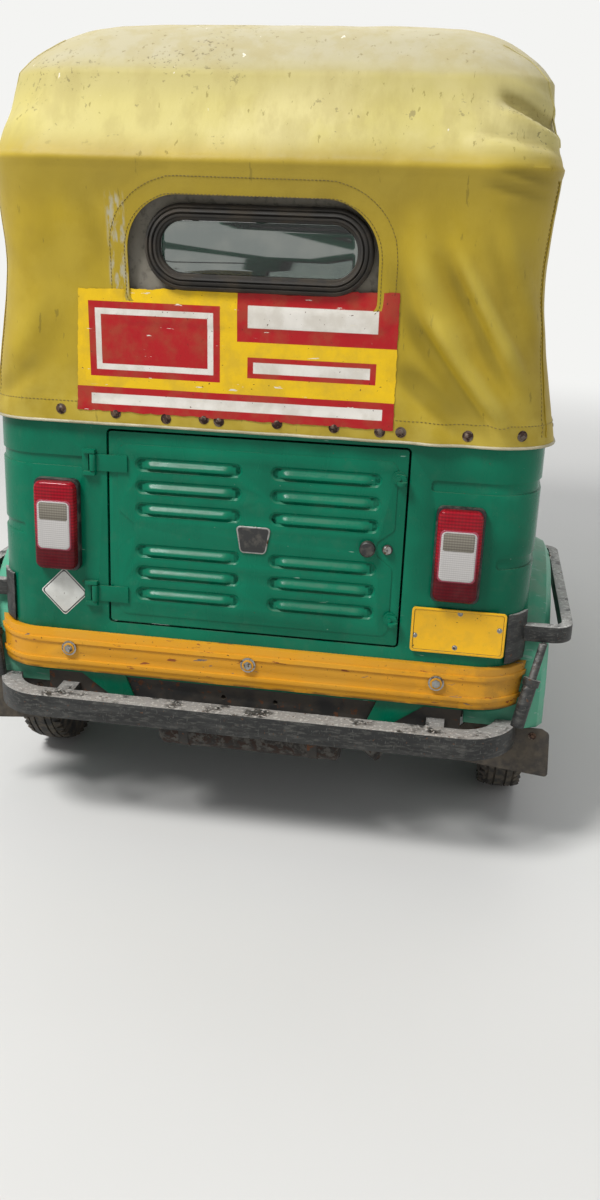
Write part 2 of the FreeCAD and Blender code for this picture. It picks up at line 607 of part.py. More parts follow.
def headlamp():
    """Round headlamp: bowl, bezel and domed glass."""
    y = FRONT_AXLE_Y + 66
    r = HEAD_LAMP_R
    profile = [(0, y - 70), (r * 0.5, y - 62), (r, y - 14), (r, y + 8), (r + 8, y + 12), (r + 8, y + 22),
               (r - 8, y + 24), (r * 0.6, y + 32), (0, y + 36)]
    body = revolve([(x, yy, LAMP_Z) for x, yy in profile], (0, y, LAMP_Z), (0, 1, 0))
    return body.cut(cowl_ring())


def cowl_ring():
    """The cowl's skin near the headlamp, grown by the seating gap, outside the lamp's hole."""
    skin = cowl_block(-SEAT_GAP, JAMB_FRONT_Y)
    return skin.cut(Part.makeCylinder(HEAD_LAMP_R + 0.01, 400, V(0, FRONT_AXLE_Y - 150, LAMP_Z), V(0, 1, 0)))


def front_indicators():
    """Amber lamps on the front corners of the cowl."""
    x0, x1, z0, z1 = HALF_BODY - 270, HALF_BODY - 190, LAMP_Z - 30, LAMP_Z + 15
    outline = [(x0, z0), (x1, z0), (x1, z1), (x0, z1)]
    pod = rear_profile(outline, [12] * 4, FRONT_AXLE_Y - 90, FRONT_AXLE_Y + 62)
    pod = pod.makeChamfer(5.0, [e for e in pod.Edges if e.BoundBox.YMin > FRONT_AXLE_Y + 61])
    return pair(pod.cut(cowl_block(-SEAT_GAP, JAMB_FRONT_Y)))


def dashboard():
    """Shelf inside the cowl with the meter binnacle on it."""
    z0, z1 = 920.0, 935.0
    room = cowl_block(COWL_WALL + SEAT_GAP, JAMB_FRONT_Y - 60)
    shelf = room.common(box(-REACH, REACH, FRONT_AXLE_Y - 165, FRONT_AXLE_Y + 300, z0, z1))
    y = FRONT_AXLE_Y - 138
    outline = [(y, z1 - 2), (y + 58, z1 - 2), (y + 58, z1 + 50), (y + 20, z1 + 50)]
    binnacle = side_profile(outline, [2, 2, 14, 10], -78, 78)
    return fuse([shelf, binnacle])


SCREEN_FOOT_Y = FRONT_AXLE_Y - 50.0
SCREEN_TOP_Y = FRONT_AXLE_Y - 235.0
SCREEN_TOP_Z = RAIL_Z + 15.0
SCREEN_T = 26.0
SCREEN_HALF = HALF_BODY - 138.0         # half width at the foot
FRAME_W = 34.0
SCREEN_LEAN = math.degrees(math.atan2(SCREEN_FOOT_Y - SCREEN_TOP_Y, SCREEN_TOP_Z - COWL_TOP_Z))
SCREEN_LEN = math.hypot(SCREEN_FOOT_Y - SCREEN_TOP_Y, SCREEN_TOP_Z - COWL_TOP_Z)


def screen_place(shape):
    """Leans a piece built upright on the plane y = 0, foot at z = 0, into the windscreen's place."""
    out = shape.copy()
    out.rotate(V(0, 0, 0), V(1, 0, 0), SCREEN_LEAN)
    out.translate(V(0, SCREEN_FOOT_Y, COWL_TOP_Z))
    return out


def screen_outline(inset, foot=0.0):
    """Windscreen outline with its edges drawn in by inset."""
    low, high, top = SCREEN_HALF - inset, SCREEN_HALF - 14 - inset, SCREEN_LEN - inset
    return [(-low, foot + inset), (low, foot + inset), (high, top), (-high, top)]


def windscreen_frame():
    """Pressed frame round the windscreen, standing on the cowl."""
    outer = rear_profile(screen_outline(0, -12), [20, 20, 70, 70], -SCREEN_T / 2, SCREEN_T / 2)
    inner = rear_profile(screen_outline(FRAME_W), [30, 30, 45, 45], -SCREEN_T, SCREEN_T)
    frame = screen_place(outer.cut(inner))
    return frame.cut(box(-REACH, REACH, 0, REACH, 0, COWL_TOP_Z))


def windscreen_glass():
    """Flat laminated windscreen."""
    pane = rear_profile(screen_outline(FRAME_W + SEAT_GAP), [30, 30, 45, 45], -3.0, 3.0)
    return screen_place(pane)


def wiper():
    """Single wiper, parked across the foot of the windscreen."""
    spindle = rod((-60, -SCREEN_T / 2, SCREEN_LEN - 16), (-60, SCREEN_T / 2 + 22, SCREEN_LEN - 16), 7)
    spindle = spindle.cut(box(-100, 0, -40, SCREEN_T / 2 + SEAT_GAP, 0, 900))
    arm = rod((-60, SCREEN_T / 2 + 16, SCREEN_LEN - 16), (90, SCREEN_T / 2 + 12, SCREEN_LEN - 250), 4)
    blade = box(-4, 4, 5.0, SCREEN_T / 2 + 12, -170, 170)
    blade.rotate(V(0, 0, 0), V(0, 1, 0), -33)
    blade.translate(V(90, 0, SCREEN_LEN - 250))
    return screen_place(fuse([spindle, arm, blade]))


def mirrors():
    """Round mirrors on stalks from the windscreen frame."""
    z, y = 470.0, SCREEN_T / 2 + 14
    x = SCREEN_HALF
    start = (x, SCREEN_T / 2 + SEAT_GAP + 6, z - 60)
    stalk = tube([start, (x + 58, y, z - 40), (x + 138, y - 40, z - 10)], 6, 30)
    head = Part.makeCylinder(62, 16, V(x + 166, y - 54, z + 8), V(0, 1, 0))
    head = head.makeChamfer(5, [e for e in head.Edges if e.BoundBox.YMin > y - 39])
    foot = Part.makeCylinder(12, 12, V(x - 22, SCREEN_T / 2 + SEAT_GAP, z - 60), V(0, 1, 0))
    link = rod((x - 22, SCREEN_T / 2 + 8, z - 60), (x + 2, SCREEN_T / 2 + 8, z - 60), 6)
    return pair(screen_place(fuse([stalk, head, foot, link])))


# hood

WAIST_Z = OVERALL_HEIGHT - 474.0        # narrowest place of the hood
RIDGE_Z = OVERALL_HEIGHT - 269.0        # crease that stands out over the rear window
CREASE_Z = OVERALL_HEIGHT - 109.0       # crease where the roof begins
ROOF_EDGE_Z = OVERALL_HEIGHT - 34.0

HOOD_SECTIONS = [
    # height, half width behind, half width in front, rear edge from the panel foot, front edge from the front
    # axle, rear corner radius, front corner radius
    (HEM_Z, HALF_BODY + 12.5, HALF_BODY - 34, 22.0, -160.0, 121.0, 60.0),
    (WAIST_Z, HALF_BODY - 34, HALF_BODY - 64, 14.0, -160.0, 130.0, 60.0),
    (RIDGE_Z, HALF_BODY - 24, HALF_BODY - 70, -12.0, -160.0, 150.0, 60.0),
    (CREASE_Z, HALF_BODY - 54, HALF_BODY - 114, 62.0, -175.0, 170.0, 80.0),
    (ROOF_EDGE_Z, HALF_BODY - 110, HALF_BODY - 164, 130.0, -250.0, 150.0, 120.0),
    (OVERALL_HEIGHT, HALF_BODY - 220, HALF_BODY - 270, 240.0, -620.0, 130.0, 120.0),
]


def hood_block(inset, drop):
    """Solid inside the hood's outer face, drawn in by inset, its upper sections lowered by drop."""
    wires = []
    for z, half_r, half_f, rear, front, r_rear, r_front in HOOD_SECTIONS:
        low = drop if z > CREASE_Z else 0
        y_rear, y_front = BODY_Y + rear + inset, FRONT_AXLE_Y + front - inset
        wires.append(hood_plan(half_r - inset, half_f - inset, y_rear, y_front, r_rear - inset,
                               r_front - inset, z - low))
    return Part.makeLoft(wires, True, True)


def hood_at(z):
    """Half width behind, half width in front, rear y and front y of the hood's outer face at a height."""
    for low, high in zip(HOOD_SECTIONS, HOOD_SECTIONS[1:]):
        if z <= high[0]:
            t = (z - low[0]) / (high[0] - low[0])
            half_r, half_f, rear, front = [a + t * (b - a) for a, b in zip(low[1:5], high[1:5])]
            return half_r, half_f, BODY_Y + rear, FRONT_AXLE_Y + front


def hood_half(y, z):
    """Half width of the hood's outer face at a place along the vehicle and a height."""
    half_r, half_f, rear, front = hood_at(z)
    t = max(0.0, (y - JAMB_REAR_Y) / (front - JAMB_REAR_Y))
    return half_r + t * (half_f - half_r)


WINDOW_Z = OVERALL_HEIGHT - 428.0
WINDOW_HALF = 228.0
WINDOW_HALF_H = 81.0
RUBBER_W = 31.0
STAY_X = WINDOW_HALF + 62.0
STAY_R = 8.0
STAY_Y = BODY_Y + 37.0
STAY_FOOT_Y = BODY_Y + 60.0


def hood():
    """Fabric hood, hollow, with the doorways, the windscreen side and the rear window cut out."""
    shell = hood_block(0, 0).cut(hood_block(HOOD_T, HOOD_T))
    y, z = JAMB_REAR_Y, HEM_Z - 135
    doorway = side_profile([(y - 10, z), (REACH, z), (REACH, VALANCE_Z), (y + 80, VALANCE_Z)], [5, 5, 5, 90],
                           -REACH, REACH)
    shell = shell.cut(doorway)
    low, high, top = SCREEN_HALF - 2, SCREEN_HALF - 32, SCREEN_TOP_Z + 13
    z = VALANCE_Z - 70
    screen = rear_profile([(-low, z), (low, z), (high, top), (-high, top)], [5, 5, 60, 60],
                          FRONT_AXLE_Y - 330, FRONT_AXLE_Y + 100)
    shell = shell.cut(screen)
    w, low, high = WINDOW_HALF + 24, WINDOW_Z - 111, WINDOW_Z + 100
    window = rear_profile([(-w, low), (w, low), (w, high), (-w, high)], [20, 20, 108, 108],
                          BODY_Y - 100, BODY_Y + 100)
    shell = shell.cut(window)
    return max(shell.Solids, key=lambda s: s.Volume)


def hood_bow(z, y_end, r):
    """U-shaped tube round the back, just inside the fabric, its arms running forwards to y_end."""
    half, _, rear, _ = hood_at(z)
    reach = HOOD_T + TUBE_R + 3.0
    y_mid = min(y_end, JAMB_REAR_Y) - 1.0
    pts = [(half - reach, rear + reach, z), (half - reach, y_mid, z)]
    if y_end > JAMB_REAR_Y:
        pts.append((hood_half(y_end, z) - reach, y_end, z))
    return tube([(-x, y, zz) for x, y, zz in reversed(pts)] + pts, TUBE_R, r)


# place along the vehicle and height of each roof bow
ROOF_BOWS = [(BODY_Y + 330, ROOF_EDGE_Z - 13), (JAMB_REAR_Y + 240, ROOF_EDGE_Z - 13),
             (BULKHEAD_Y + 120, ROOF_EDGE_Z - 24)]
POST_FOOT_Z = 880.0


def hood_frame():
    """Tubular hood frame: two rear bows, side rails to the windscreen, roof bows and posts."""
    reach = HOOD_T + TUBE_R + 2.0
    low_z = VALANCE_Z - 30
    post_y = JAMB_REAR_Y - 25
    parts = [hood_bow(RAIL_Z, SCREEN_TOP_Y, 150), hood_bow(low_z, post_y, 130)]
    for y, z in ROOF_BOWS:
        half = hood_half(y, RAIL_Z) - reach - 1
        top = half - 78
        parts.append(tube([(-half, y, RAIL_Z), (-top, y, z), (top, y, z), (half, y, RAIL_Z)], TUBE_R, 60))
    for s in (-1, 1):
        foot = hood_half(post_y, HEM_Z) - HOOD_T - WALL - TUBE_R - 6
        waist = hood_half(post_y, WAIST_Z) - reach
        low, high = hood_half(post_y, low_z) - reach, hood_half(post_y, RAIL_Z) - reach
        parts.append(tube([(s * foot, post_y, POST_FOOT_Z), (s * foot, post_y, POST_FOOT_Z + 105),
                           (s * waist, post_y, WAIST_Z), (s * low, post_y, low_z)], TUBE_R, 80))
        parts.append(rod((s * low, post_y, low_z), (s * high, post_y, RAIL_Z), TUBE_R))
        y = BULKHEAD_Y + TUBE_R
        post_x, stay_x, rail_x = s * (HALF_BODY - 100), s * STAY_X, s * (hood_half(y, RAIL_Z) - reach)
        parts.append(tube([(post_x, y, PARTITION_Z - 160), (post_x, y, PARTITION_Z), (rail_x, y, RAIL_Z)],
                          TUBE_R, 200))
        parts.append(tube([(stay_x, STAY_FOOT_Y, SHELF_Z), (stay_x, STAY_FOOT_Y, SHELF_Z + 50),
                           (stay_x, STAY_Y, SHELF_Z + 140), (stay_x, STAY_Y, low_z)], STAY_R, 60))
        for z in (low_z, RAIL_Z):
            parts.append(rod((stay_x, STAY_Y, low_z), (stay_x, hood_at(z)[2] + reach, z), STAY_R))
    frame = fuse(parts)
    keep_off = rear_profile(screen_outline(-3, -12), [20, 20, 70, 70], -SCREEN_T / 2 - SEAT_GAP, 200)
    front = box(-REACH, REACH, SCREEN_TOP_Y - 5, REACH, VALANCE_Z + 30, REACH)
    return frame.cut(screen_place(keep_off)).cut(front)


def window_panel():
    """Stiff inner panel that carries the rear window, between its two stays."""
    half, low, high = STAY_X - STAY_R - SEAT_GAP, WINDOW_Z - 136, WINDOW_Z + 128
    outline = [(-half, low), (half, low), (half, high), (-half, high)]
    sheet = rear_profile(outline, [10] * 4, STAY_Y - 3, STAY_Y + 3)
    return sheet.cut(window_oval(SEAT_GAP, STAY_Y - 20, STAY_Y + 20))


def window_oval(grow, y0, y1):
    """Prism on the rear window's outline, grown by grow."""
    w, h = WINDOW_HALF + grow, WINDOW_HALF_H + grow
    return rear_profile([(-w, WINDOW_Z - h), (w, WINDOW_Z - h), (w, WINDOW_Z + h), (-w, WINDOW_Z + h)],
                        [h - 3] * 4, y0, y1)


def window_rubber():
    """Ribbed rubber surround of the rear window."""
    y0, y1 = STAY_Y - 30, STAY_Y + 12
    ring = window_oval(0, y0 + 8, y1).fuse(window_oval(-8, y0, y0 + 12))
    ring = ring.cut(window_oval(-RUBBER_W, y0 - 5, y1 + 5))
    groove = window_oval(-13, y0 - 1, y0 + 4).cut(window_oval(-18, y0 - 2, y0 + 5))
    return ring.cut(groove)


def window_glass():
    """Rear window pane, inside the rubber."""
    return window_oval(-RUBBER_W - SEAT_GAP, STAY_Y - 14, STAY_Y - 9)


# running gear

RAIL_X0, RAIL_X1 = 255.0, 305.0
RAIL_TOP = FLOOR_Z - FLOOR_T
RAIL_LOW = RAIL_TOP - 60

BEAM_HALF = WELL_INNER_X - 6.0
TOW_HOLE_X, TOW_HOLE_Z, TOW_HOLE_R = 60.0, 328.0, 5.5


def chassis():
    """Two long rails with cross members, rear beam and the steering head with its brace."""
    parts = []
    for s in (-1, 1):
        x0, x1 = sorted((s * RAIL_X0, s * RAIL_X1))
        parts.append(box(x0, x1, BODY_Y + 20, JAMB_FRONT_Y + 80, RAIL_LOW, RAIL_TOP))
    parts.append(box(-BEAM_HALF, BEAM_HALF, BEAM_Y, BEAM_Y + 50, RAIL_LOW + 40, REAR_EDGE_Z))
    for y in (REAR_AXLE_Y + 260, BULKHEAD_Y, JAMB_FRONT_Y + 30):
        parts.append(box(-RAIL_X0, RAIL_X0, y, y + 45, RAIL_LOW + 10, RAIL_TOP))
    parts.append(rod((-440, REAR_AXLE_Y + 282, RAIL_LOW + 20), (440, REAR_AXLE_Y + 282, RAIL_LOW + 20), 20))
    head = along_axis(HEAD_Z0, HEAD_Z1, HEAD_R)
    brace = side_profile([(JAMB_FRONT_Y + 60, FLOOR_Z), (TOE_Y - 20, FLOOR_Z), (TOE_Y + 10, 485),
                          (on_axis(590).y, 590), (on_axis(700).y, 700)], [2, 12, 60, 2, 2], -16, 16)
    foot = box(-60, 60, JAMB_FRONT_Y + 40, TOE_Y - 20, FLOOR_Z, FLOOR_Z + 8)
    steering = fuse([head, brace, foot]).cut(along_axis(HEAD_Z0 - 5, HEAD_Z1 + 5, COLUMN_R + RUNNING_GAP))
    frame = fuse(parts)
    for x in (-TOW_HOLE_X, TOW_HOLE_X):
        frame = frame.cut(Part.makeCylinder(TOW_HOLE_R, 60, V(x, BEAM_Y - 5, TOW_HOLE_Z), V(0, 1, 0)))
    return Part.makeCompound([frame, steering])


def engine():
    """Engine and gearbox as one plain block between the rails."""
    block = box(-RAIL_X0 + 5, RAIL_X0 - 5, BODY_Y + 85, REAR_AXLE_Y + 130, 190, 520)
    lugs = [box(-RAIL_X0, RAIL_X0, y, y + 40, RAIL_LOW + 5, RAIL_TOP - 5)
            for y in (BODY_Y + 110, REAR_AXLE_Y + 60)]
    return fuse([block] + lugs)


def silencer():
    """Silencer across the back under the engine bay, hung from the rear beam."""
    y, z, r = BODY_Y + 30, 235.0, 46.0
    can = Part.makeCylinder(r, 420, V(-210, y, z), V(1, 0, 0))
    can = can.makeChamfer(8, can.Edges[:1] + can.Edges[2:3])
    tail = tube([(200, y, z), (262, y, z), (300, y - 25, z - 15)], 14, 25)
    hangers = [box(x - 12, x + 12, y - 4, y + 4, z, RAIL_LOW + 40) for x in (-150, 150)]
    return fuse([can, tail] + hangers)


ARM_X = 455.0
DAMPER_X, DAMPER_Y, DAMPER_Z = ARM_X - 35, REAR_AXLE_Y + 70, TYRE_R + 54


def trailing_arms():
    """Rear suspension arms with back plates, wheel spindles and half shafts."""
    pivot_y, pivot_z = REAR_AXLE_Y + 282, RAIL_LOW + 20
    sleeve = Part.makeCylinder(32, 70, V(365, pivot_y, pivot_z), V(1, 0, 0))
    bend = (ARM_X - 10, pivot_y - 110, pivot_z - 30)
    arm = tube([(400, pivot_y, pivot_z), bend, (ARM_X, REAR_AXLE_Y, TYRE_R)], 24, 90)
    hub = Part.makeCylinder(42, 60, V(ARM_X - 30, REAR_AXLE_Y, TYRE_R), V(1, 0, 0))
    plate = Part.makeCylinder(84, 8, V(ARM_X + 34, REAR_AXLE_Y, TYRE_R), V(1, 0, 0))
    spindle = Part.makeCylinder(SPINDLE_R, 170, V(ARM_X + 20, REAR_AXLE_Y, TYRE_R), V(1, 0, 0))
    link = Part.makeCylinder(30, 20, V(ARM_X + 20, REAR_AXLE_Y, TYRE_R), V(1, 0, 0))
    shaft_x = RAIL_X0 - 5 + SEAT_GAP
    shaft = Part.makeCylinder(13, ARM_X - shaft_x, V(shaft_x, REAR_AXLE_Y, TYRE_R), V(1, 0, 0))
    seat = Part.makeCylinder(26, DAMPER_Z - TYRE_R - 15, V(DAMPER_X, DAMPER_Y, TYRE_R + 15), V(0, 0, 1))
    whole = fuse([sleeve, arm, hub, plate, spindle, link, shaft, seat])
    return pair(whole.cut(Part.makeCylinder(20 + SEAT_GAP, 200, V(330, pivot_y, pivot_z), V(1, 0, 0))))


def dampers():
    """Coil-over dampers from the arms up to the deck under the rear seat."""
    foot = (DAMPER_X, DAMPER_Y, DAMPER_Z + SEAT_GAP)
    top = (DAMPER_X, DAMPER_Y, DECK_Z - PANEL_T)
    parts = [rod(foot, top, 14)]
    parts.append(rod((foot[0], foot[1], foot[2] + 8), (foot[0], foot[1], top[2] - 20), 26))
    parts.append(Part.makeCylinder(40, 8, V(foot[0], foot[1], foot[2] + 20), V(0, 0, 1)))
    parts.append(Part.makeCylinder(40, 8, V(top[0], top[1], top[2] - 28), V(0, 0, 1)))
    return pair(fuse(parts))


def rim(bore, x_in, x_out):
    """Pressed steel wheel about the X axis at the origin: rim, disc and hub with brake drum."""
    w, r = 42.0, RIM_R
    well = [(-w, 116), (7 - w, r), (-16, r), (-12, 90), (12, 90), (16, r), (w - 7, r), (w, 116)]
    disc = [(w, 110), (w - 2, r - 5), (20, r - 5), (12, 70), (12, 40), (x_out, 36), (x_out, bore)]
    drum = [(x_in, bore), (x_in, 78), (x_in + 6, 78), (x_in + 6, 40), (4, 40), (4, 74), (-20, r - 5),
            (2 - w, r - 5), (-w, 110)]
    return revolve([(x, reach, 0) for x, reach in well + disc + drum], (0, 0, 0), (1, 0, 0))


def tyre():
    """Cross-ply tyre about the X axis at the origin, in flats whose inner faces clear the round rim."""
    half, g = TYRE_W / 2, SEAT_GAP
    bead_r = (RIM_R + g) / math.cos(math.pi / TYRE_SIDES)
    right = [(35 - g, bead_r), (37 - g, 118), (half, 146), (half - 8, 188), (half - 26, TYRE_R)]
    section = right + [(-x, r) for x, r in reversed(right)]
    rings = []
    for i in range(TYRE_SIDES):
        turn = 2 * math.pi * i / TYRE_SIDES
        rings.append([V(x, r * math.cos(turn), r * math.sin(turn)) for x, r in section])
    faces = []
    for i, ring in enumerate(rings):
        last = rings[i - 1]
        for j in range(len(section)):
            quad = [last[j - 1], last[j], ring[j], ring[j - 1]]
            faces.append(Part.Face(Part.makePolygon(quad + quad[:1])))
    shell = Part.makeShell(faces)
    shell.sewShape()
    return Part.makeSolid(shell)


def place(shape, x, y, z, flip=False):
    """Copy of a wheel piece at a place, mirrored for the left side."""
    out = shape.mirror(V(0, 0, 0), V(1, 0, 0)) if flip else shape.copy()
    out.translate(V(x, y, z))
    return out


# steering

MUDGUARD_R = FRONT_OVERHANG
MUDGUARD_T = 6.0
MUDGUARD_HALF = 96.0
HUB_FACE = -58.0              # inner face of the front hub


FORK_X0, FORK_X1 = -MUDGUARD_HALF - 28, -MUDGUARD_HALF - 11
LINK_PIVOT = (FRONT_AXLE_Y - 118, TYRE_R + 17)
DAMPER_FOOT = (FRONT_AXLE_Y - 34, TYRE_R + 10)
DAMPER_TOP = (FRONT_AXLE_Y - 62, TYRE_R + 257)
FRONT_DAMPER_X = -MUDGUARD_HALF - 23


def mudguard_outline():
    """Half of the mudguard's outer section, as offsets from the wheel's middle plane and radii."""
    r, h = MUDGUARD_R, MUDGUARD_HALF
    return [(-h, r - 62), (-h, r - 26), (-h + 14, r - 9), (-h + 36, r)]


def front_mudguard():
    """Deep mudguard that turns with the front wheel."""
    t = MUDGUARD_T
    outer = mudguard_outline()
    inner = [(x + (t if i < 2 else t * 0.6), r - (0 if i < 1 else t)) for i, (x, r) in enumerate(outer)]
    section = outer + [(-x, r) for x, r in reversed(outer)] + [(-x, r) for x, r in inner] + inner[::-1]
    pts = [(x, FRONT_AXLE_Y + r, TYRE_R) for x, r in section]
    return revolve(pts, (0, FRONT_AXLE_Y, TYRE_R), (1, 0, 0), 196)


def mudguard_block(grow):
    """Solid inside the mudguard's outer face, grown by grow."""
    outer = [(x - grow if i < 2 else x, r + grow) for i, (x, r) in enumerate(mudguard_outline())]
    half = [(outer[0][0], 0)] + outer
    section = half + [(-x, r) for x, r in reversed(half)]
    pts = [(x, FRONT_AXLE_Y + r, TYRE_R) for x, r in section]
    return revolve(pts, (0, FRONT_AXLE_Y, TYRE_R), (1, 0, 0), 196)


def steering_column():
    """Turning column with the crown over the mudguard and the single fork leg beside the wheel."""
    column = along_axis(470, 925, COLUMN_R)
    crown = box(FORK_X0, 32, -30, 23, -14, 24)
    crown.rotate(V(0, 0, 0), V(1, 0, 0), AXIS_LEAN)
    crown.translate(on_axis(458))
    y, z = LINK_PIVOT
    top_y, top_z = DAMPER_TOP
    leg = side_profile([(on_axis(480).y - 30, top_z + 14), (top_y + 18, top_z + 14), (top_y + 20, top_z),
                        (top_y - 22, top_z), (y + 17, z), (y, z - 19), (y - 17, z)], [8, 4, 4, 8, 12, 8, 12],
                       FORK_X0, FORK_X1)
    pin = Part.makeCylinder(8.0, FORK_X1 - FORK_X0 + 22, V(FORK_X0, y, z), V(1, 0, 0))
    collar = Part.makeCylinder(30, 6, on_axis(HEAD_Z1 + 6), AXIS)
    return fuse([column, crown, leg, pin, collar]).cut(mudguard_block(SEAT_GAP))


def front_link():
    """Trailing link: pivot eye, stub axle for the wheel and the pin for the damper's lower eye."""
    x0, x1 = FORK_X1 + SEAT_GAP, FORK_X1 + 18
    (py, pz), (dy, dz) = LINK_PIVOT, DAMPER_FOOT
    tip = FRONT_AXLE_Y + 26
    outline = [(py - 20, pz - 18), (tip, TYRE_R - 24), (tip, TYRE_R + 22), (dy, dz + 16), (py - 20, pz + 18)]
    plate = side_profile(outline, [14, 18, 18, 12, 14], x0, x1)
    axle = Part.makeCylinder(SPINDLE_R, 50 - x0, V(x0, FRONT_AXLE_Y, TYRE_R), V(1, 0, 0))
    collar = Part.makeCylinder(26, HUB_FACE - 2 - x0, V(x0, FRONT_AXLE_Y, TYRE_R), V(1, 0, 0))
    pin = Part.makeCylinder(7.0, x0 - FORK_X0 + 12, V(FORK_X0 - 12, dy, dz), V(1, 0, 0))
    link = fuse([plate, axle, collar, pin])
    return link.cut(Part.makeCylinder(8.0 + SEAT_GAP, 60, V(FORK_X0, py, pz), V(1, 0, 0)))


def front_damper():
    """Coil-over damper between the link's pin and the crown bracket."""
    (dy, dz), (ty, tz) = DAMPER_FOOT, DAMPER_TOP
    x = FRONT_DAMPER_X
    foot, top = V(x, dy, dz), V(x, ty, tz)
    along = (top - foot).normalize()
    eye = Part.makeCylinder(13, 14, V(x - 7, dy, dz), V(1, 0, 0))
    shaft = Part.makeCylinder(8, (top - foot).Length, foot, along)
    spring = Part.makeCylinder(15, (top - foot).Length - 62, foot + along * 34, along)
    plates = [Part.makeCylinder(18, 6, foot + along * d, along) for d in (30, (top - foot).Length - 32)]
    damper = fuse([eye, shaft, spring] + plates)
    damper = damper.cut(Part.makeCylinder(7.0 + SEAT_GAP, 60, V(x - 30, dy, dz), V(1, 0, 0)))
    return damper.cut(box(x - 60, x + 60, ty - 80, ty + 80, tz - SEAT_GAP, tz + 60))


def handlebar():
    """Scooter handlebar with a centre housing, grips and levers."""
    z = 985.0
    c = on_axis(z)
    bar = tube([(-282, c.y - 62, z), (-150, c.y - 8, z), (150, c.y - 8, z), (282, c.y - 62, z)], 11, 90)
    grips = [rod((s * 282, c.y - 62, z), (s * 190, c.y - 24.5, z), 17) for s in (-1, 1)]
    levers = [rod((s * 270, c.y - 18, z - 4), (s * 150, c.y + 20, z - 2), 5) for s in (-1, 1)]
    ties = [rod((s * 150, c.y + 20, z - 2), (s * 140, c.y - 8, z), 7) for s in (-1, 1)]
    housing = side_profile([(c.y - 42, z - 34), (c.y + 34, z - 34), (c.y + 40, z + 14), (c.y - 30, z + 30)],
                           [10, 10, 14, 14], -95, 95)
    neck = along_axis(925 + SEAT_GAP, 965, 24)
    return fuse([bar, housing, neck] + grips + levers + ties)


PIECES = {
    "rear_body": rear_body,
    "rear_door": rear_door,
    "door_lock": door_lock,
    "bumper_strip": bumper_strip,
    "tail_lamps": tail_lamps,
    "number_plate": number_plate,
    "fenders": fenders,
    "side_guards": side_guards,
    "rear_guard": rear_guard,
    "mudflaps": mudflaps,
    "floor_pan": floor_pan,
    "passenger_seat_base": passenger_seat_base,
    "engine_bulkhead": engine_bulkhead,
    "passenger_seat": passenger_seat,
    "driver_bulkhead": driver_bulkhead,
    "driver_seat": driver_seat,
    "front_cowl": front_cowl,
    "headlamp": headlamp,
    "front_indicators": front_indicators,
    "dashboard": dashboard,
    "windscreen_frame": windscreen_frame,
    "windscreen_glass": windscreen_glass,
    "wiper": wiper,
    "mirrors": mirrors,
    "hood": hood,
    "hood_frame": hood_frame,
    "window_panel": window_panel,
    "window_rubber": window_rubber,
    "window_glass": window_glass,
    "chassis": chassis,
    "engine": engine,
    "silencer": silencer,
    "trailing_arms": trailing_arms,
    "dampers": dampers,
    "front_mudguard": front_mudguard,
    "steering_column": steering_column,
    "front_link": front_link,
    "front_damper": front_damper,
    "handlebar": handlebar,
}


def wheels():
    """The three wheels, each a rim and a tyre, by node name."""
    out = {}
    half = REAR_TRACK / 2
    places = {"rear_right": (half, REAR_AXLE_Y),
              "rear_left": (-half, REAR_AXLE_Y),
              "front": (0, FRONT_AXLE_Y)}
    for name, (x, y) in places.items():
        hub_x = HUB_FACE if name == "front" else HUB_FACE - 16
        flip = x < 0
        out[name + "_rim"] = place(rim(SPINDLE_R + RUNNING_GAP, hub_x, 30), x, y, TYRE_R, flip)
        out[name + "_tyre"] = place(tyre(), x, y, TYRE_R, flip)
    return out


def main():
    os.makedirs("parts", exist_ok=True)
    for old in os.listdir("parts"):
        if old.endswith(".step"):
            os.remove(os.path.join("parts", old))
    shapes = {name: build() for name, build in PIECES.items()}
    shapes.update(wheels())
    for name, shape in shapes.items():
        shape.exportStep(f"parts/{name}.step")
        litres = shape.Volume / 1e6
        print(f"{name}: {len(shape.Solids)} solid(s), valid {shape.isValid()}, {litres:.2f} l")


main()
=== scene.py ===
"""Looks of a three-wheeled passenger auto rickshaw with a soft hood, built around its fixed frame.

Everything is in metres in the frame's own axes: +Y forwards, +X to the vehicle's right, +Z up. Each sub-assembly is
a class that keeps its sizes as fields and builds and dresses its own pieces, and each finish is a frozen dataclass.
"""

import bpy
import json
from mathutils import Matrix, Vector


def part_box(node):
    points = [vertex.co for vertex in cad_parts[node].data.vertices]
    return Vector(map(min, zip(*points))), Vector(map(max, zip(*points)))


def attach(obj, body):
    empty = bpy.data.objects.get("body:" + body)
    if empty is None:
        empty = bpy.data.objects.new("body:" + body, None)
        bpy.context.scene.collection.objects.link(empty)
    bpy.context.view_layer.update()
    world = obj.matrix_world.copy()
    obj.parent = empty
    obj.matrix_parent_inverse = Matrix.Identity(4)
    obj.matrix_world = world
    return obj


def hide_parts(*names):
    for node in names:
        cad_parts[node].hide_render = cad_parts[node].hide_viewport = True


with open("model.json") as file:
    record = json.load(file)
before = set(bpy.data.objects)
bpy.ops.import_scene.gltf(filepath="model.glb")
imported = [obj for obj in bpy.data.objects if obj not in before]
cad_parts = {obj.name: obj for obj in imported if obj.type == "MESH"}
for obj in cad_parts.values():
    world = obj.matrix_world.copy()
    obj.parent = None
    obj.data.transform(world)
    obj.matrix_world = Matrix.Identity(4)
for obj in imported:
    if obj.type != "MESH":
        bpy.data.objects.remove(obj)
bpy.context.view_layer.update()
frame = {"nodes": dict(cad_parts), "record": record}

import json
import logging
import math
from dataclasses import dataclass, field
from enum import Enum
from statistics import NormalDist
from typing import Any, Callable, Iterable, Sequence

import bmesh
import bpy
import numpy as np
from mathutils import Matrix, Vector, noise
from mathutils.bvhtree import BVHTree

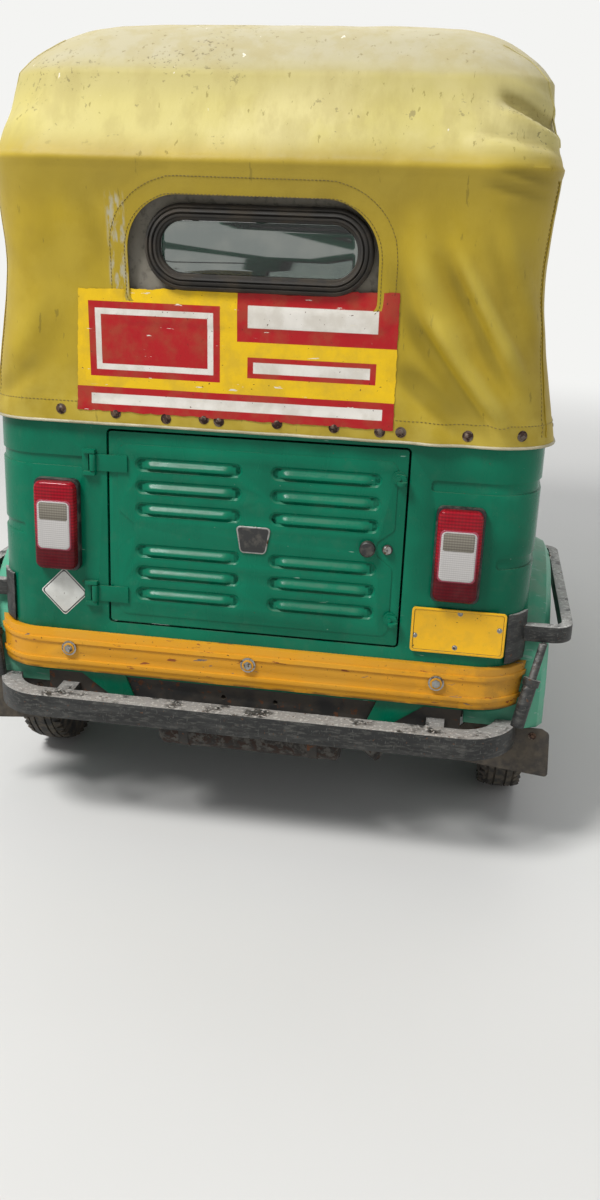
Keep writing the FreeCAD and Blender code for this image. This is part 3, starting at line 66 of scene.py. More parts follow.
LOG = logging.getLogger("rickshaw")
MM = 0.001
SIDES = ((-1, "left"), (1, "right"))
Point = Sequence[float]
Outline = Callable[[float], Sequence[tuple[float, float]]]
Socket = bpy.types.NodeSocket


def linear(code: str) -> tuple[float, float, float, float]:
    """Turns an sRGB hex colour into the linear colour that a shader reads.

    Args:
        code: Colour such as "#0b6046".

    Returns:
        Red, green, blue and an alpha of 1.
    """
    parts = [int(code[i:i + 2], 16) / 255 for i in (1, 3, 5)]
    r, g, b = [c / 12.92 if c <= 0.04045 else ((c + 0.055) / 1.055) ** 2.4 for c in parts]
    return r, g, b, 1.0


def add(tree: bpy.types.NodeTree, kind: str, settings: dict[str, Any] | None = None,
        inputs: dict[int | str, Any] | None = None) -> bpy.types.Node:
    """Adds one node with its settings and its inputs' values or links.

    Args:
        tree: Tree that gets the node.
        kind: Type of node.
        settings: Property values by name.
        inputs: Value or socket by the input's name or number.

    Returns:
        The new node.
    """
    node = tree.nodes.new(kind)
    for key, value in (settings or {}).items():
        setattr(node, key, value)
    for key, value in (inputs or {}).items():
        if isinstance(value, Socket):
            tree.links.new(value, node.inputs[key])
        else:
            node.inputs[key].default_value = value
    return node


class Axis(Enum):
    """Axis of the frame, by its place in a vector."""

    X = 0
    Y = 1
    Z = 2


class Coating:
    """A material in the making: layers of colour, roughness and height laid on one another."""

    def __init__(self, name: str, base: str, roughness: float, **shader: Any) -> None:
        """Starts with one even layer.

        Args:
            name: Name of the material.
            base: Colour of the lowest layer.
            roughness: Roughness of the lowest layer.
            shader: Values of the shader's own sockets, with underscores for blanks.
        """
        self.material = bpy.data.materials.new(name)
        self.material.use_nodes = True
        self.tree = self.material.node_tree
        self.tree.nodes.clear()
        uniform = {key.replace("_", " "): value for key, value in shader.items()}
        self.shader = add(self.tree, "ShaderNodeBsdfPrincipled", inputs=uniform)
        self.place = add(self.tree, "ShaderNodeTexCoord")
        self.base = linear(base)
        self.colour: Any = self.base
        self.roughness: Any = roughness
        self.height: Any = 0.0
        self.draws = 0

    def noise(self, size: float, stretch: Point = (1, 1, 1), detail: float = 4.0) -> Socket:
        """Noise on object coordinates, about 0.5 on average.

        Args:
            size: Size of its features in metres.
            stretch: How much longer the features are along each axis.
            detail: Octaves of finer noise.

        Returns:
            The noise value.
        """
        self.draws += 1
        scale = [1 / s for s in stretch]
        at = add(self.tree, "ShaderNodeMapping", inputs={
            "Vector": self.place.outputs["Object"], "Scale": scale, "Location": (0.37 * self.draws, 0.0, 0.11)})
        return add(self.tree, "ShaderNodeTexNoise", inputs={
            "Vector": at.outputs[0], "Scale": 1 / size, "Detail": detail, "Roughness": 0.6}).outputs[0]

    def patches(self, size: float, cover: float, soft: float = 0.04, stretch: Point = (1, 1, 1),
                detail: float = 4.0) -> Socket:
        """Mask of irregular patches.

        Args:
            size: Size of a patch in metres.
            cover: Share of the surface inside the patches.
            soft: Width of their edges in the noise's own range.
            stretch: How much longer the patches are along each axis.
            detail: Octaves of finer noise on their edges.

        Returns:
            1 inside the patches and 0 outside.
        """
        spread = 0.085  # how far the noise strays from its average
        middle = 0.5 + spread * NormalDist().inv_cdf(1 - cover)
        value = self.noise(size, stretch, detail)
        return self.ramp(value, middle - soft, middle + soft)

    def ramp(self, value: Socket, low: float, high: float) -> Socket:
        """Smooth step of a value from 0 at low to 1 at high; high may be the lower of the two.

        Args:
            value: The value.
            low: Where the step is 0.
            high: Where it is 1.

        Returns:
            The step.
        """
        low_end, high_end, start, end = (low, high, 0.0, 1.0) if low < high else (high, low, 1.0, 0.0)
        return add(self.tree, "ShaderNodeMapRange", {"interpolation_type": "SMOOTHSTEP"}, {
            "Value": value, "From Min": low_end, "From Max": high_end, "To Min": start, "To Max": end}).outputs[0]

    def band(self, axis: Axis, low: float, high: float, facing: bool = False) -> Socket:
        """Mask that rises along an axis of the place, or of the surface's facing.

        Args:
            axis: The axis.
            low: Where the mask is 0.
            high: Where the mask is 1.
            facing: Whether the surface's normal is read in place of its position.

        Returns:
            The mask.
        """
        source = self.place.outputs["Normal" if facing else "Object"]
        parts = add(self.tree, "ShaderNodeSeparateXYZ", inputs={0: source})
        return self.ramp(parts.outputs[axis.value], low, high)

    def both(self, *masks: Socket | float) -> Socket | float:
        """Product of masks.

        Args:
            masks: The masks, sockets or plain numbers.

        Returns:
            Their product.
        """
        total = masks[0]
        for mask in masks[1:]:
            total = add(self.tree, "ShaderNodeMath", {"operation": "MULTIPLY"}, {0: total, 1: mask}).outputs[0]
        return total

    def lay(self, mask: Socket | float, colour: str | None = None, roughness: float | None = None,
            rise: float = 0.0) -> None:
        """Lays a layer over what is there.

        Args:
            mask: Where the layer lies, 0 to 1.
            colour: Its colour, or None where it only changes the surface.
            roughness: Its roughness, or None to keep what is there.
            rise: Its height in metres, below 0 for a hollow.
        """
        if colour is not None:
            self.colour = add(self.tree, "ShaderNodeMix", {"data_type": "RGBA"}, {
                0: mask, 6: self.colour, 7: linear(colour)}).outputs[2]
        if roughness is not None:
            self.roughness = add(self.tree, "ShaderNodeMix", {"data_type": "FLOAT"}, {
                0: mask, 2: self.roughness, 3: roughness}).outputs[0]
        if rise:
            self.height = add(self.tree, "ShaderNodeMath", {"operation": "MULTIPLY_ADD"}, {
                0: mask, 1: rise, 2: self.height}).outputs[0]

    def done(self) -> bpy.types.Material:
        """Links the layers to the shader and returns the material."""
        tree, shader = self.tree, self.shader
        for key, value in (("Base Color", self.colour), ("Roughness", self.roughness)):
            if isinstance(value, Socket):
                tree.links.new(value, shader.inputs[key])
            else:
                shader.inputs[key].default_value = value
        if isinstance(self.height, Socket):
            bump = add(tree, "ShaderNodeBump", inputs={"Height": self.height, "Distance": 1.0, "Strength": 1.0})
            tree.links.new(bump.outputs[0], shader.inputs["Normal"])
        out = add(tree, "ShaderNodeOutputMaterial")
        tree.links.new(shader.outputs[0], out.inputs["Surface"])
        self.material.diffuse_color = self.base
        return self.material


@dataclass(frozen=True)
class Finish:
    """One finish of the vehicle. Its material is made once and kept by name."""

    name: str
    slot: str

    def coat(self) -> Coating:
        """Builds the layers; each kind of finish has its own."""
        raise NotImplementedError

    def material(self) -> bpy.types.Material:
        """The finished material."""
        found = bpy.data.materials.get(self.name)
        return found or self.coat().done()


@dataclass(frozen=True)
class Enamel(Finish):
    """Stoving enamel on pressed steel: a clear gloss that dust dulls, with chips down to primer and rust."""

    colour: str
    shade: str
    dust: str = "#8b8474"
    chip: str = "#5a3a28"
    gloss: float = 0.22
    dirt_top: float = 0.60
    scratch: float = 0.0012
    shine: float = 0.15

    def coat(self) -> Coating:
        """Even enamel, cloudy tone, road dust that thickens downwards, hairline scratches and chips."""
        c = Coating(self.name, self.colour, self.gloss, IOR=1.5, Specular_IOR_Level=self.shine, Coat_Weight=0.04,
                    Coat_Roughness=0.15)
        c.lay(c.patches(0.30, 0.45, 0.12), self.shade)
        c.lay(c.both(c.patches(0.06, 0.30, 0.14, (1, 1, 3.5)), 0.35), self.shade, 0.45)
        low = c.band(Axis.Z, self.dirt_top, self.dirt_top - 0.42)
        c.lay(c.both(low, c.patches(0.12, 0.5, 0.14), 0.22), self.dust, 0.7)
        c.lay(c.both(c.patches(0.035, 0.10, 0.09), 0.06), self.dust, 0.5)
        c.lay(c.both(c.band(Axis.Z, 0.35, 0.9, facing=True), c.patches(0.06, 0.6, 0.12), 0.34), self.dust, 0.8)
        # hairline scratches along the sheet, drawn a few millimetres wide so that they show
        c.lay(c.both(c.patches(0.010, self.scratch, 0.015, (7, 1, 1), 2), 0.6), "#8fae9f", 0.5, -0.05 * MM)
        c.lay(c.patches(0.0045, 0.0012, 0.010), "#b9c4b4", 0.6)
        c.lay(c.patches(0.010, 0.0022, 0.012), self.chip, 0.85, -0.10 * MM)
        # orange peel of sprayed enamel, 2 mm from hump to hump
        c.lay(c.noise(0.0022, detail=1), rise=0.008 * MM)
        return c


@dataclass(frozen=True)
class StripPaint(Finish):
    """Brushed-on yellow gloss paint on steel: red-brown scratches, chipped ribs and a dark dirty lower edge."""

    low_z: float = 0.367

    def coat(self) -> Coating:
        """Yellow, dull patches, drip-dark lower edge, rust scratches and grey scuffs."""
        c = Coating(self.name, "#d3931a", 0.38, IOR=1.5, Specular_IOR_Level=0.28, Coat_Weight=0.05, Coat_Roughness=0.3)
        c.lay(c.patches(0.16, 0.45, 0.10), "#cf9426", 0.5)
        c.lay(c.both(c.band(Axis.X, 0.18, 0.62), c.patches(0.05, 0.55, 0.10), 0.75), "#a87a2c", 0.65)
        edge = c.band(Axis.Z, self.low_z + 0.008, self.low_z + 0.001)
        c.lay(c.both(edge, c.patches(0.05, 0.85, 0.14), 0.8), "#59401f", 0.85)
        c.lay(c.patches(0.014, 0.035, 0.02, (5, 1, 1.2)), "#8c4f28", 0.8, -0.15 * MM)
        c.lay(c.patches(0.020, 0.022, 0.015, (4, 1, 1)), "#6b625c", 0.6, -0.1 * MM)
        c.lay(c.patches(0.007, 0.012, 0.01), "#3c2a1c", 0.8)
        return c


@dataclass(frozen=True)
class BarPaint(Finish):
    """Black stoved paint on square steel tube, rubbed down to grey metal on every upper face by loads and knees."""

    def coat(self) -> Coating:
        """Black paint, scuffs on the faces, bare metal that faces up and rust spots."""
        c = Coating(self.name, "#1c1d1d", 0.45, IOR=1.5, Specular_IOR_Level=0.4)
        c.lay(c.both(c.patches(0.035, 0.40, 0.10, (4, 4, 0.6)), 0.5), "#41413f", 0.6)
        c.lay(c.both(c.patches(0.006, 0.16, 0.10, (3, 3, 0.8)), 0.35), "#6d6c66", 0.6)
        c.lay(c.both(c.patches(0.0030, 0.03, 0.03, (0.8, 0.8, 4)), 0.30), "#8f8e88", 0.6)
        top = c.band(Axis.Z, 0.35, 0.75, facing=True)
        c.lay(c.both(top, c.patches(0.018, 0.82, 0.07, (3, 3, 1))), "#8f8d89", 0.52)
        c.lay(c.both(top, c.patches(0.008, 0.18, 0.04)), "#b4b2ad", 0.45)
        c.lay(c.patches(0.010, 0.03, 0.02), "#5a4030", 0.85)
        c.lay(c.noise(0.002, detail=2), rise=0.03 * MM)
        return c


@dataclass(frozen=True)
class FramePaint(Finish):
    """Black chassis paint under the vehicle: matt, with a coat of dry road dust and some rust."""

    colour: str = "#181716"
    rust: float = 0.06

    def coat(self) -> Coating:
        """Black, dust by patches and on upper faces, rust blooms."""
        c = Coating(self.name, self.colour, 0.6)
        c.lay(c.both(c.patches(0.07, 0.5, 0.12), 0.5), "#4f473d", 0.9)
        c.lay(c.both(c.band(Axis.Z, 0.3, 0.9, facing=True), c.patches(0.04, 0.7, 0.1), 0.7), "#6a6152", 0.95)
        c.lay(c.patches(0.02, self.rust, 0.03), "#5f3a24", 0.9, 0.1 * MM)
        return c


@dataclass(frozen=True)
class HoodVinyl(Finish):
    """PVC-coated hood cloth: olive yellow, chalked pale by the sun on top, stained, with a fine leather grain."""

    crease_z: float = 1.455
    hem_z: float = 0.935

    def coat(self) -> Coating:
        """Yellow by height and facing, painted shade under each crease, faded top, spot clusters, runs, droppings,
        folds with a painted highlight on their ridges and painted shade in their valleys, and grain.
        """
        c = Coating(self.name, "#ad9423", 0.50, IOR=1.48, Specular_IOR_Level=0.30)
        c.lay(c.both(c.patches(0.28, 0.5, 0.14), 0.8), "#9c8423")
        c.lay(c.both(c.patches(0.11, 0.35, 0.12), 0.5), "#b39b34")
        # painted shade: a darker band just under the crease, where the cloth overhangs and faces down
        shaded = c.both(c.band(Axis.Z, self.crease_z - 0.115, self.crease_z - 0.02),
                        c.band(Axis.Z, self.crease_z + 0.004, self.crease_z - 0.004))
        c.lay(c.both(shaded, 0.55), "#8f7c2e")
        low = c.band(Axis.Z, self.hem_z + 0.17, self.hem_z + 0.01)
        c.lay(c.both(low, c.patches(0.09, 0.6, 0.14), 0.5), "#bda94b", 0.6)
        upper = c.band(Axis.Z, self.crease_z - 0.004, self.crease_z + 0.06)
        c.lay(c.both(upper, 0.92), "#c3b76e", 0.55)
        c.lay(c.both(upper, c.band(Axis.X, -0.30, 0.10), c.patches(0.2, 0.6, 0.12), 0.6), "#d4c88f", 0.55)
        top = c.band(Axis.Z, 0.35, 0.80, facing=True)
        c.lay(c.both(top, c.band(Axis.Z, 1.51, 1.635)), "#b1a98b", 0.68)
        c.lay(c.both(top, c.patches(0.10, 0.45, 0.12), 0.6), "#aca27a", 0.7)
        # painted shade: a duller, darker band just under the roof crease
        c.lay(c.both(c.band(Axis.Z, 1.545, 1.60), c.band(Axis.Z, 1.64, 1.615), 0.55), "#ab9f66", 0.6)
        c.lay(c.both(upper, c.patches(0.05, 0.30, 0.10, (1, 1, 3)), 0.30), "#a3935a", 0.7)
        c.lay(c.both(upper, c.patches(0.16, 0.12, 0.05), c.patches(0.009, 0.09, 0.015), 0.7), "#6b6346", 0.8)
        c.lay(c.both(upper, c.patches(0.024, 0.014, 0.012), 0.6), "#857a55", 0.8)
        window = c.both(c.band(Axis.X, -0.306, -0.298), c.band(Axis.X, -0.262, -0.268), c.band(Axis.Z, 1.18, 1.20),
                        c.band(Axis.Z, 1.40, 1.38), c.band(Axis.Y, -1.15, -1.20))
        c.lay(c.both(window, c.patches(0.022, 0.42, 0.08, (0.5, 1, 2)), 0.8), "#aaa795", 0.75)
        c.lay(c.both(c.band(Axis.Z, 1.47, 1.53), c.patches(0.030, 0.0055, 0.006, (0.8, 1, 1.6)), 0.85), "#e4dfcd", 0.75,
              0.1 * MM)
        c.lay(c.both(c.patches(0.014, 0.02, 0.02, (1, 1, 5)), 0.5), "#6f6124", 0.7)
        # the cloth's own folds, stored on its points: a painted highlight on their ridges and painted shade in their
        # valleys
        fold = add(c.tree, "ShaderNodeAttribute", {"attribute_name": "fold"}).outputs["Fac"]
        c.lay(c.both(c.ramp(fold, 0.0010, 0.0190), 0.42), "#c2b04e", 0.45)
        c.lay(c.both(c.ramp(fold, 0.0006, -0.0080), 0.55), "#776718", 0.6)
        # leather grain of 1.5 mm, drawn twice as coarse so that it shows, over slow waves of the coating
        c.lay(c.noise(0.0032, detail=2), rise=0.10 * MM)
        c.lay(c.noise(0.045, (1, 1, 1.6), 3), rise=1.2 * MM)
        return c


@dataclass(frozen=True)
class Vinyl(Finish):
    """Embossed seat vinyl: soft sheen, leather grain of about 1.5 mm, dust in its hollows."""

    colour: str
    dull: str

    def coat(self) -> Coating:
        """Grain drawn twice as coarse as the real one so that it shows, rubbed lighter in patches."""
        c = Coating(self.name, self.colour, 0.48, IOR=1.48, Coat_Weight=0.08, Coat_Roughness=0.4)
        c.lay(c.both(c.patches(0.09, 0.45, 0.14), 0.7), self.dull, 0.58)
        c.lay(c.both(c.band(Axis.Z, 0.5, 0.95, facing=True), c.patches(0.05, 0.4, 0.12), 0.35), "#6f675c", 0.75)
        cells = add(c.tree, "ShaderNodeTexVoronoi", {"feature": "DISTANCE_TO_EDGE"}, {
            "Vector": c.place.outputs["Object"], "Scale": 1 / (3.0 * MM)})
        c.lay(c.ramp(cells.outputs["Distance"], 0.0, 0.25), rise=0.22 * MM)
        return c


@dataclass(frozen=True)
class Rubber(Finish):
    """Vulcanised rubber: matt brown-black, chalked by ozone and road dust."""

    colour: str = "#211e1b"
    dust: str = "#5b5246"
    share: float = 0.4

    def coat(self) -> Coating:
        """Rubber with dust in patches and low down, and a faint grain."""
        c = Coating(self.name, self.colour, 0.68, IOR=1.52)
        c.lay(c.both(c.patches(0.05, self.share, 0.12), 0.7), self.dust, 0.9)
        c.lay(c.both(c.band(Axis.Z, 0.5, 0.0), c.patches(0.02, 0.4, 0.1), 0.5), "#6f6556", 0.95)
        c.lay(c.noise(0.003, detail=2), rise=0.08 * MM)
        return c


@dataclass(frozen=True)
class Moulded(Finish):
    """Injection-moulded ABS: even colour, satin grain, slight dust."""

    colour: str
    gloss: float = 0.45

    def coat(self) -> Coating:
        """Plastic with spark-eroded grain and dust on its upper faces."""
        c = Coating(self.name, self.colour, self.gloss, IOR=1.53)
        c.lay(c.both(c.band(Axis.Z, 0.4, 0.95, facing=True), c.patches(0.03, 0.5, 0.12), 0.4), "#6e675c", 0.8)
        c.lay(c.both(c.patches(0.02, 0.2, 0.1), 0.25), "#7a7468", 0.7)
        c.lay(c.noise(0.0012, detail=1), rise=0.02 * MM)
        return c


@dataclass(frozen=True)
class Lens(Finish):
    """Moulded acrylic lamp lens: tinted, glossy, with prisms on its back that show as fine ribs."""

    colour: str
    deep: str
    pitch: float = 6.0 * MM
    dark_z: float = 0.0
    shine: float = 0.16

    def coat(self) -> Coating:
        """Lens colour over darker prisms, deeper where it is dark inside, with a thin film of dust."""
        c = Coating(self.name, self.colour, 0.10, IOR=1.49, Specular_IOR_Level=self.shine)
        for direction, share in (("X", 0.16), ("Z", 0.42)):
            ribs = add(c.tree, "ShaderNodeTexWave", {"bands_direction": direction}, {
                "Vector": c.place.outputs["Object"], "Scale": 0.314 / self.pitch, "Distortion": 0.0})
            c.lay(c.both(c.ramp(ribs.outputs["Fac"], 0.8, 0.2), share), self.deep, None, -0.10 * MM)
        if self.dark_z:
            c.lay(c.both(c.band(Axis.Z, self.dark_z + 0.02, self.dark_z - 0.05), 0.80), self.deep)
        c.lay(c.both(c.patches(0.03, 0.5, 0.15), 0.035), "#8a8078", 0.3)
        return c


@dataclass(frozen=True)
class Glazing(Finish):
    """Toughened glass, a little green, with a wiped film of dust."""

    tint: str = "#cfdad6"

    def coat(self) -> Coating:
        """Clear glass whose dust shows as faint rough patches."""
        c = Coating(self.name, self.tint, 0.03, IOR=1.45, Transmission_Weight=1.0)
        c.lay(c.both(c.patches(0.06, 0.35, 0.15), 0.12), "#b9b5aa", 0.15)
        return c


@dataclass(frozen=True)
class Metal(Finish):
    """Bare or plated metal: brushed, cast or rusted."""

    colour: str
    roughness: float
    stain: str = "#5f3a24"
    share: float = 0.1
    grain: float = 2.0 * MM
    bare: float = 1.0

    def coat(self) -> Coating:
        """Metal with a fine grain, tarnish and stains."""
        c = Coating(self.name, self.colour, self.roughness, Metallic=self.bare)
        c.lay(c.both(c.patches(0.02, 0.4, 0.1), 0.5), "#6d6a64", self.roughness + 0.15)
        c.lay(c.patches(0.012, self.share, 0.05), self.stain, 0.85, 0.05 * MM)
        c.lay(c.noise(self.grain, detail=2), rise=0.03 * MM)
        return c


@dataclass(frozen=True)
class Sheeting(Finish):
    """Retro-reflective sheeting on pressed aluminium, as number plates have: satin, with a faint bead pattern."""

    colour: str = "#e8b012"
    smudge: str = "#c0962c"

    def coat(self) -> Coating:
        """Even sheeting with smudges and a fine cell pattern."""
        c = Coating(self.name, self.colour, 0.38, IOR=1.5, Specular_IOR_Level=0.35, Coat_Weight=0.08,
                    Coat_Roughness=0.15)
        c.lay(c.both(c.patches(0.03, 0.35, 0.12), 0.30), self.smudge, 0.5)
        c.lay(c.patches(0.006, 0.010, 0.01), "#4b3a20", 0.8)
        # cells of the sheeting, 2.4 mm from wall to wall
        cells = add(c.tree, "ShaderNodeTexVoronoi", {"feature": "DISTANCE_TO_EDGE"}, {
            "Vector": c.place.outputs["Object"], "Scale": 1 / (2.4 * MM)})
        c.lay(c.ramp(cells.outputs["Distance"], 0.0, 0.12), rise=0.04 * MM)
        return c


@dataclass(frozen=True)
class Board(Finish):
    """Painted hardboard, dull and fingermarked."""

    colour: str = "#6f6a5f"

    def coat(self) -> Coating:
        """Matt paint with grime and a faint brushed grain."""
        c = Coating(self.name, self.colour, 0.75)
        c.lay(c.both(c.patches(0.05, 0.4, 0.14), 0.6), "#8a857a", 0.8)
        c.lay(c.both(c.patches(0.015, 0.15, 0.08), 0.5), "#4c473e", 0.85)
        c.lay(c.noise(0.004, (6, 1, 1), 2), rise=0.06 * MM)
        return c


# stoved and sprayed enamels: a deep even colour under a soft gloss, dulled by dust
BODY = Enamel("stoved_enamel_green", "body_paint", "#006d50", "#006046", dust="#5f6a58")
FENDER = Enamel("refinish_enamel_mint", "fender_paint", "#5cae8f", "#4c9a7c", dust="#9a948a", chip="#2c3833",
                gloss=0.36, scratch=0.05)
RIM = Enamel("silver_wheel_enamel", "rim_paint", "#8d8f90", "#7f8283", dust="#6b6152", gloss=0.45, dirt_top=0.5)
# brushed paints: a duller film that shows its scuffs, scratches and bare edges
STRIP = StripPaint("brushed_gloss_yellow", "strip_paint")
GUARD = BarPaint("worn_black_bar_paint", "guard_paint")
TUBE = FramePaint("black_frame_paint", "tube_paint")
BAR_PAINT = FramePaint("black_handlebar_paint", "black_plastic")
PANEL = Board("painted_hardboard", "panel_board", "#7d776a")
# coated cloth, vinyl and waxed thread: a broad soft sheen over a fine grain
HOOD = HoodVinyl("coated_hood_cloth", "hood_vinyl")
SEAT = Vinyl("embossed_seat_vinyl", "seat_vinyl", "#17181b", "#232427")
THREAD = Vinyl("waxed_thread", "hood_vinyl", "#6a5a22", "#4f4218")
PIPING = Vinyl("white_vinyl_piping", "hood_vinyl", "#bdb598", "#8d8464")
SEAT_THREAD = Vinyl("waxed_seat_thread", "seat_vinyl", "#3a3a3c", "#2c2c2e")
SEAT_PIPING = Vinyl("black_vinyl_piping", "seat_vinyl", "#0f1012", "#18191b")
# rubbers: matt brown-black that holds dust
FLAP = Rubber("mudflap_rubber", "flap_rubber", "#2b2723", "#4f473c", 0.5)
SEAL = Rubber("window_seal_rubber", "flap_rubber", "#1d1a16", "#3d352a", 0.35)
MAT = Rubber("ribbed_floor_rubber", "flap_rubber", "#1c1b19", "#4b453b", 0.45)
GRIP = Rubber("grip_rubber", "flap_rubber", "#151414", "#2d2a26", 0.25)
TYRE = Rubber("tyre_rubber", "tyre", "#1b1a19", "#4a443b", 0.35)
# moulded plastics and inks: an even satin colour
PLASTIC = Moulded("moulded_abs_black", "black_plastic", "#131313")
INK = Moulded("screen_ink_black", "black_plastic", "#1a1a1a", 0.5)
NEEDLE = Moulded("needle_paint_orange", "lamp_amber", "#c8501a", 0.4)
# lamp lenses: glossy tinted acrylic or glass, with ribs that glint in rows
LENS_RED = Lens("acrylic_lens_red", "lamp_red", "#a0061e", "#3a020c", 7.0 * MM, 0.700)
LENS_PINK = Lens("acrylic_lens_frosted_pink", "lamp_red", "#a04656", "#8a3a48", 7.0 * MM)
LENS_AMBER = Lens("acrylic_lens_amber", "lamp_amber", "#d9730e", "#8f3f05")
LENS_CLEAR = Lens("acrylic_lens_clear", "lamp_clear", "#c4c1be", "#928d8a", 4.5 * MM)
LENS_LAMP = Lens("pressed_glass_lens", "lamp_clear", "#c3cacc", "#8d979b", 9.0 * MM, shine=0.5)
LENS_SMOKE = Lens("acrylic_lens_smoked", "lamp_clear", "#8a8478", "#39352f", 5.5 * MM)
# glass: clear, with a wiped film of dust
GLASS = Glazing("toughened_glass", "window_glass")
PANE = Glazing("tinted_sheet_glass", "window_glass", "#777d7a")
# metals: cast grey, plated bright, oiled dark or rusted dull
MIRROR = Metal("silvered_mirror_glass", "lamp_clear", "#d5d8da", 0.04, "#8f8a80", 0.01, 20.0 * MM)
ENGINE = Metal("cast_aluminium", "engine_metal", "#77787a", 0.55, "#4b4742", 0.35)
SILENCER = Metal("rusted_sheet_steel", "silencer_steel", "#211d1a", 0.75, "#2f2018", 0.30, bare=0.2)
SPRING = Metal("oiled_spring_steel", "spring_steel", "#3a3a3b", 0.4, "#4a3222", 0.15)
ZINC = Metal("zinc_plated_steel", "spring_steel", "#9b9b98", 0.38, "#5d4a38", 0.12, 1.0 * MM)
RUSTY = Metal("rusted_rivet_steel", "spring_steel", "#57402f", 0.5, "#33201a", 0.45, 1.0 * MM, 0.4)
# sheeting of plates and signs: satin, with a faint bead pattern
WHITE = Sheeting("reflective_sheeting_white", "plate_paint", "#d3d3cd", "#a9a89f")
PLATE = Sheeting("reflective_sheeting_yellow", "plate_paint")

BODY_OF = {node: body for body, nodes in frame["record"]["behaviour"]["bodies"].items() for node in nodes}


def finished(obj: bpy.types.Object, finish: Finish, body: str = "body", sharp: float = 32.0,
             replaces: Iterable[str] = ()) -> bpy.types.Object:
    """Gives a piece its finish, its shading and its body.

    Args:
        obj: The piece, in place.
        finish: Its finish.
        body: The body that it moves with.
        sharp: Angle in degrees over which an edge looks sharp.
        replaces: CAD nodes that it stands for.

    Returns:
        The piece.
    """
    obj.data.materials.clear()
    obj.data.materials.append(finish.material())
    obj.data.shade_smooth()
    obj.data.set_sharp_from_angle(angle=math.radians(sharp))
    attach(obj, body)
    if replaces:
        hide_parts(*replaces)
    LOG.info("%s: %d faces, %s, on %s", obj.name, len(obj.data.polygons), finish.name, body)
    return obj


def new_object(name: str, verts: Sequence[Point], faces: Sequence[Sequence[int]]) -> bpy.types.Object:
    """Links a new mesh object at the origin.

    Args:
        name: Its name.
        verts: Points in metres.
        faces: Corners of each face, by number.

    Returns:
        The object.
    """
    mesh = bpy.data.meshes.new(name)
    mesh.from_pydata([tuple(map(float, v)) for v in verts], [], [tuple(map(int, f)) for f in faces])
    obj = bpy.data.objects.new(name, mesh)
    bpy.context.scene.collection.objects.link(obj)
    return obj


def outward(obj: bpy.types.Object) -> bpy.types.Object:
    """Merges doubles and turns the faces of a closed mesh outwards.

    Args:
        obj: The piece.

    Returns:
        The piece.
    """
    bm = bmesh.new()
    bm.from_mesh(obj.data)
    bmesh.ops.remove_doubles(bm, verts=bm.verts, dist=0.01 * MM)
    bmesh.ops.recalc_face_normals(bm, faces=bm.faces)
    bm.to_mesh(obj.data)
    bm.free()
    return obj


def ring_faces(rows: int, count: int, looped: bool = False, capped: bool = False) -> list[tuple[int, ...]]:
    """Faces between neighbouring rings of points.

    Args:
        rows: Number of rings.
        count: Points on each ring.
        looped: Whether the last ring meets the first.
        capped: Whether a face closes the first and the last ring.

    Returns:
        The faces, by the points' numbers.
    """
    faces = [tuple(range(count)), tuple(range((rows - 1) * count, rows * count))] if capped else []
    for i in range(rows if looped else rows - 1):
        j = (i + 1) % rows
        faces += [(i * count + k, i * count + (k + 1) % count, j * count + (k + 1) % count, j * count + k)
                  for k in range(count)]
    return faces


def bevel(obj: bpy.types.Object, width: float, segments: int = 2, angle: float = 40.0) -> None:
    """Rounds the sharp edges of a piece.

    Args:
        obj: The piece.
        width: Width of the rounding in metres.
        segments: Faces across it.
        angle: Angle in degrees over which an edge is rounded.
    """
    mod = obj.modifiers.new("rounding", "BEVEL")
    mod.width = width
    mod.segments = segments
    mod.limit_method = "ANGLE"
    mod.angle_limit = math.radians(angle)
    applied(obj)


def applied(obj: bpy.types.Object) -> None:
    """Turns a piece's modifiers into plain mesh.

    Args:
        obj: The piece.
    """
    bpy.context.view_layer.update()
    whole = bpy.data.meshes.new_from_object(obj.evaluated_get(bpy.context.evaluated_depsgraph_get()))
    old = obj.data
    obj.modifiers.clear()
    obj.data = whole
    bpy.data.meshes.remove(old)
    obj.data.name = obj.name


def merged_copy(node: str, name: str) -> bpy.types.Object:
    """Copy of a CAD node with its loose triangles merged to flat faces.

    Args:
        node: The CAD node.
        name: Name of the copy.

    Returns:
        The copy, as an object of its own.
    """
    bm = bmesh.new()
    bm.from_mesh(frame["nodes"][node].data)
    bmesh.ops.remove_doubles(bm, verts=bm.verts, dist=0.02 * MM)
    bmesh.ops.dissolve_limit(bm, angle_limit=math.radians(0.6), verts=bm.verts, edges=bm.edges)
    bm.verts.index_update()
    verts = [tuple(v.co) for v in bm.verts]
    faces = [[v.index for v in f.verts] for f in bm.faces]
    bm.free()
    return new_object(name, verts, faces)


def dressed(node: str, finish: Finish, rounding: float = 0.0) -> None:
    """Stands a smooth, finished copy in a CAD node's place.

    Args:
        node: The CAD node.
        finish: Its finish.
        rounding: Width of its edge rounding in metres.
    """
    obj = merged_copy(node, node + "_dressed")
    if rounding:
        bevel(obj, rounding)
    finished(obj, finish, BODY_OF[node], replaces=[node])


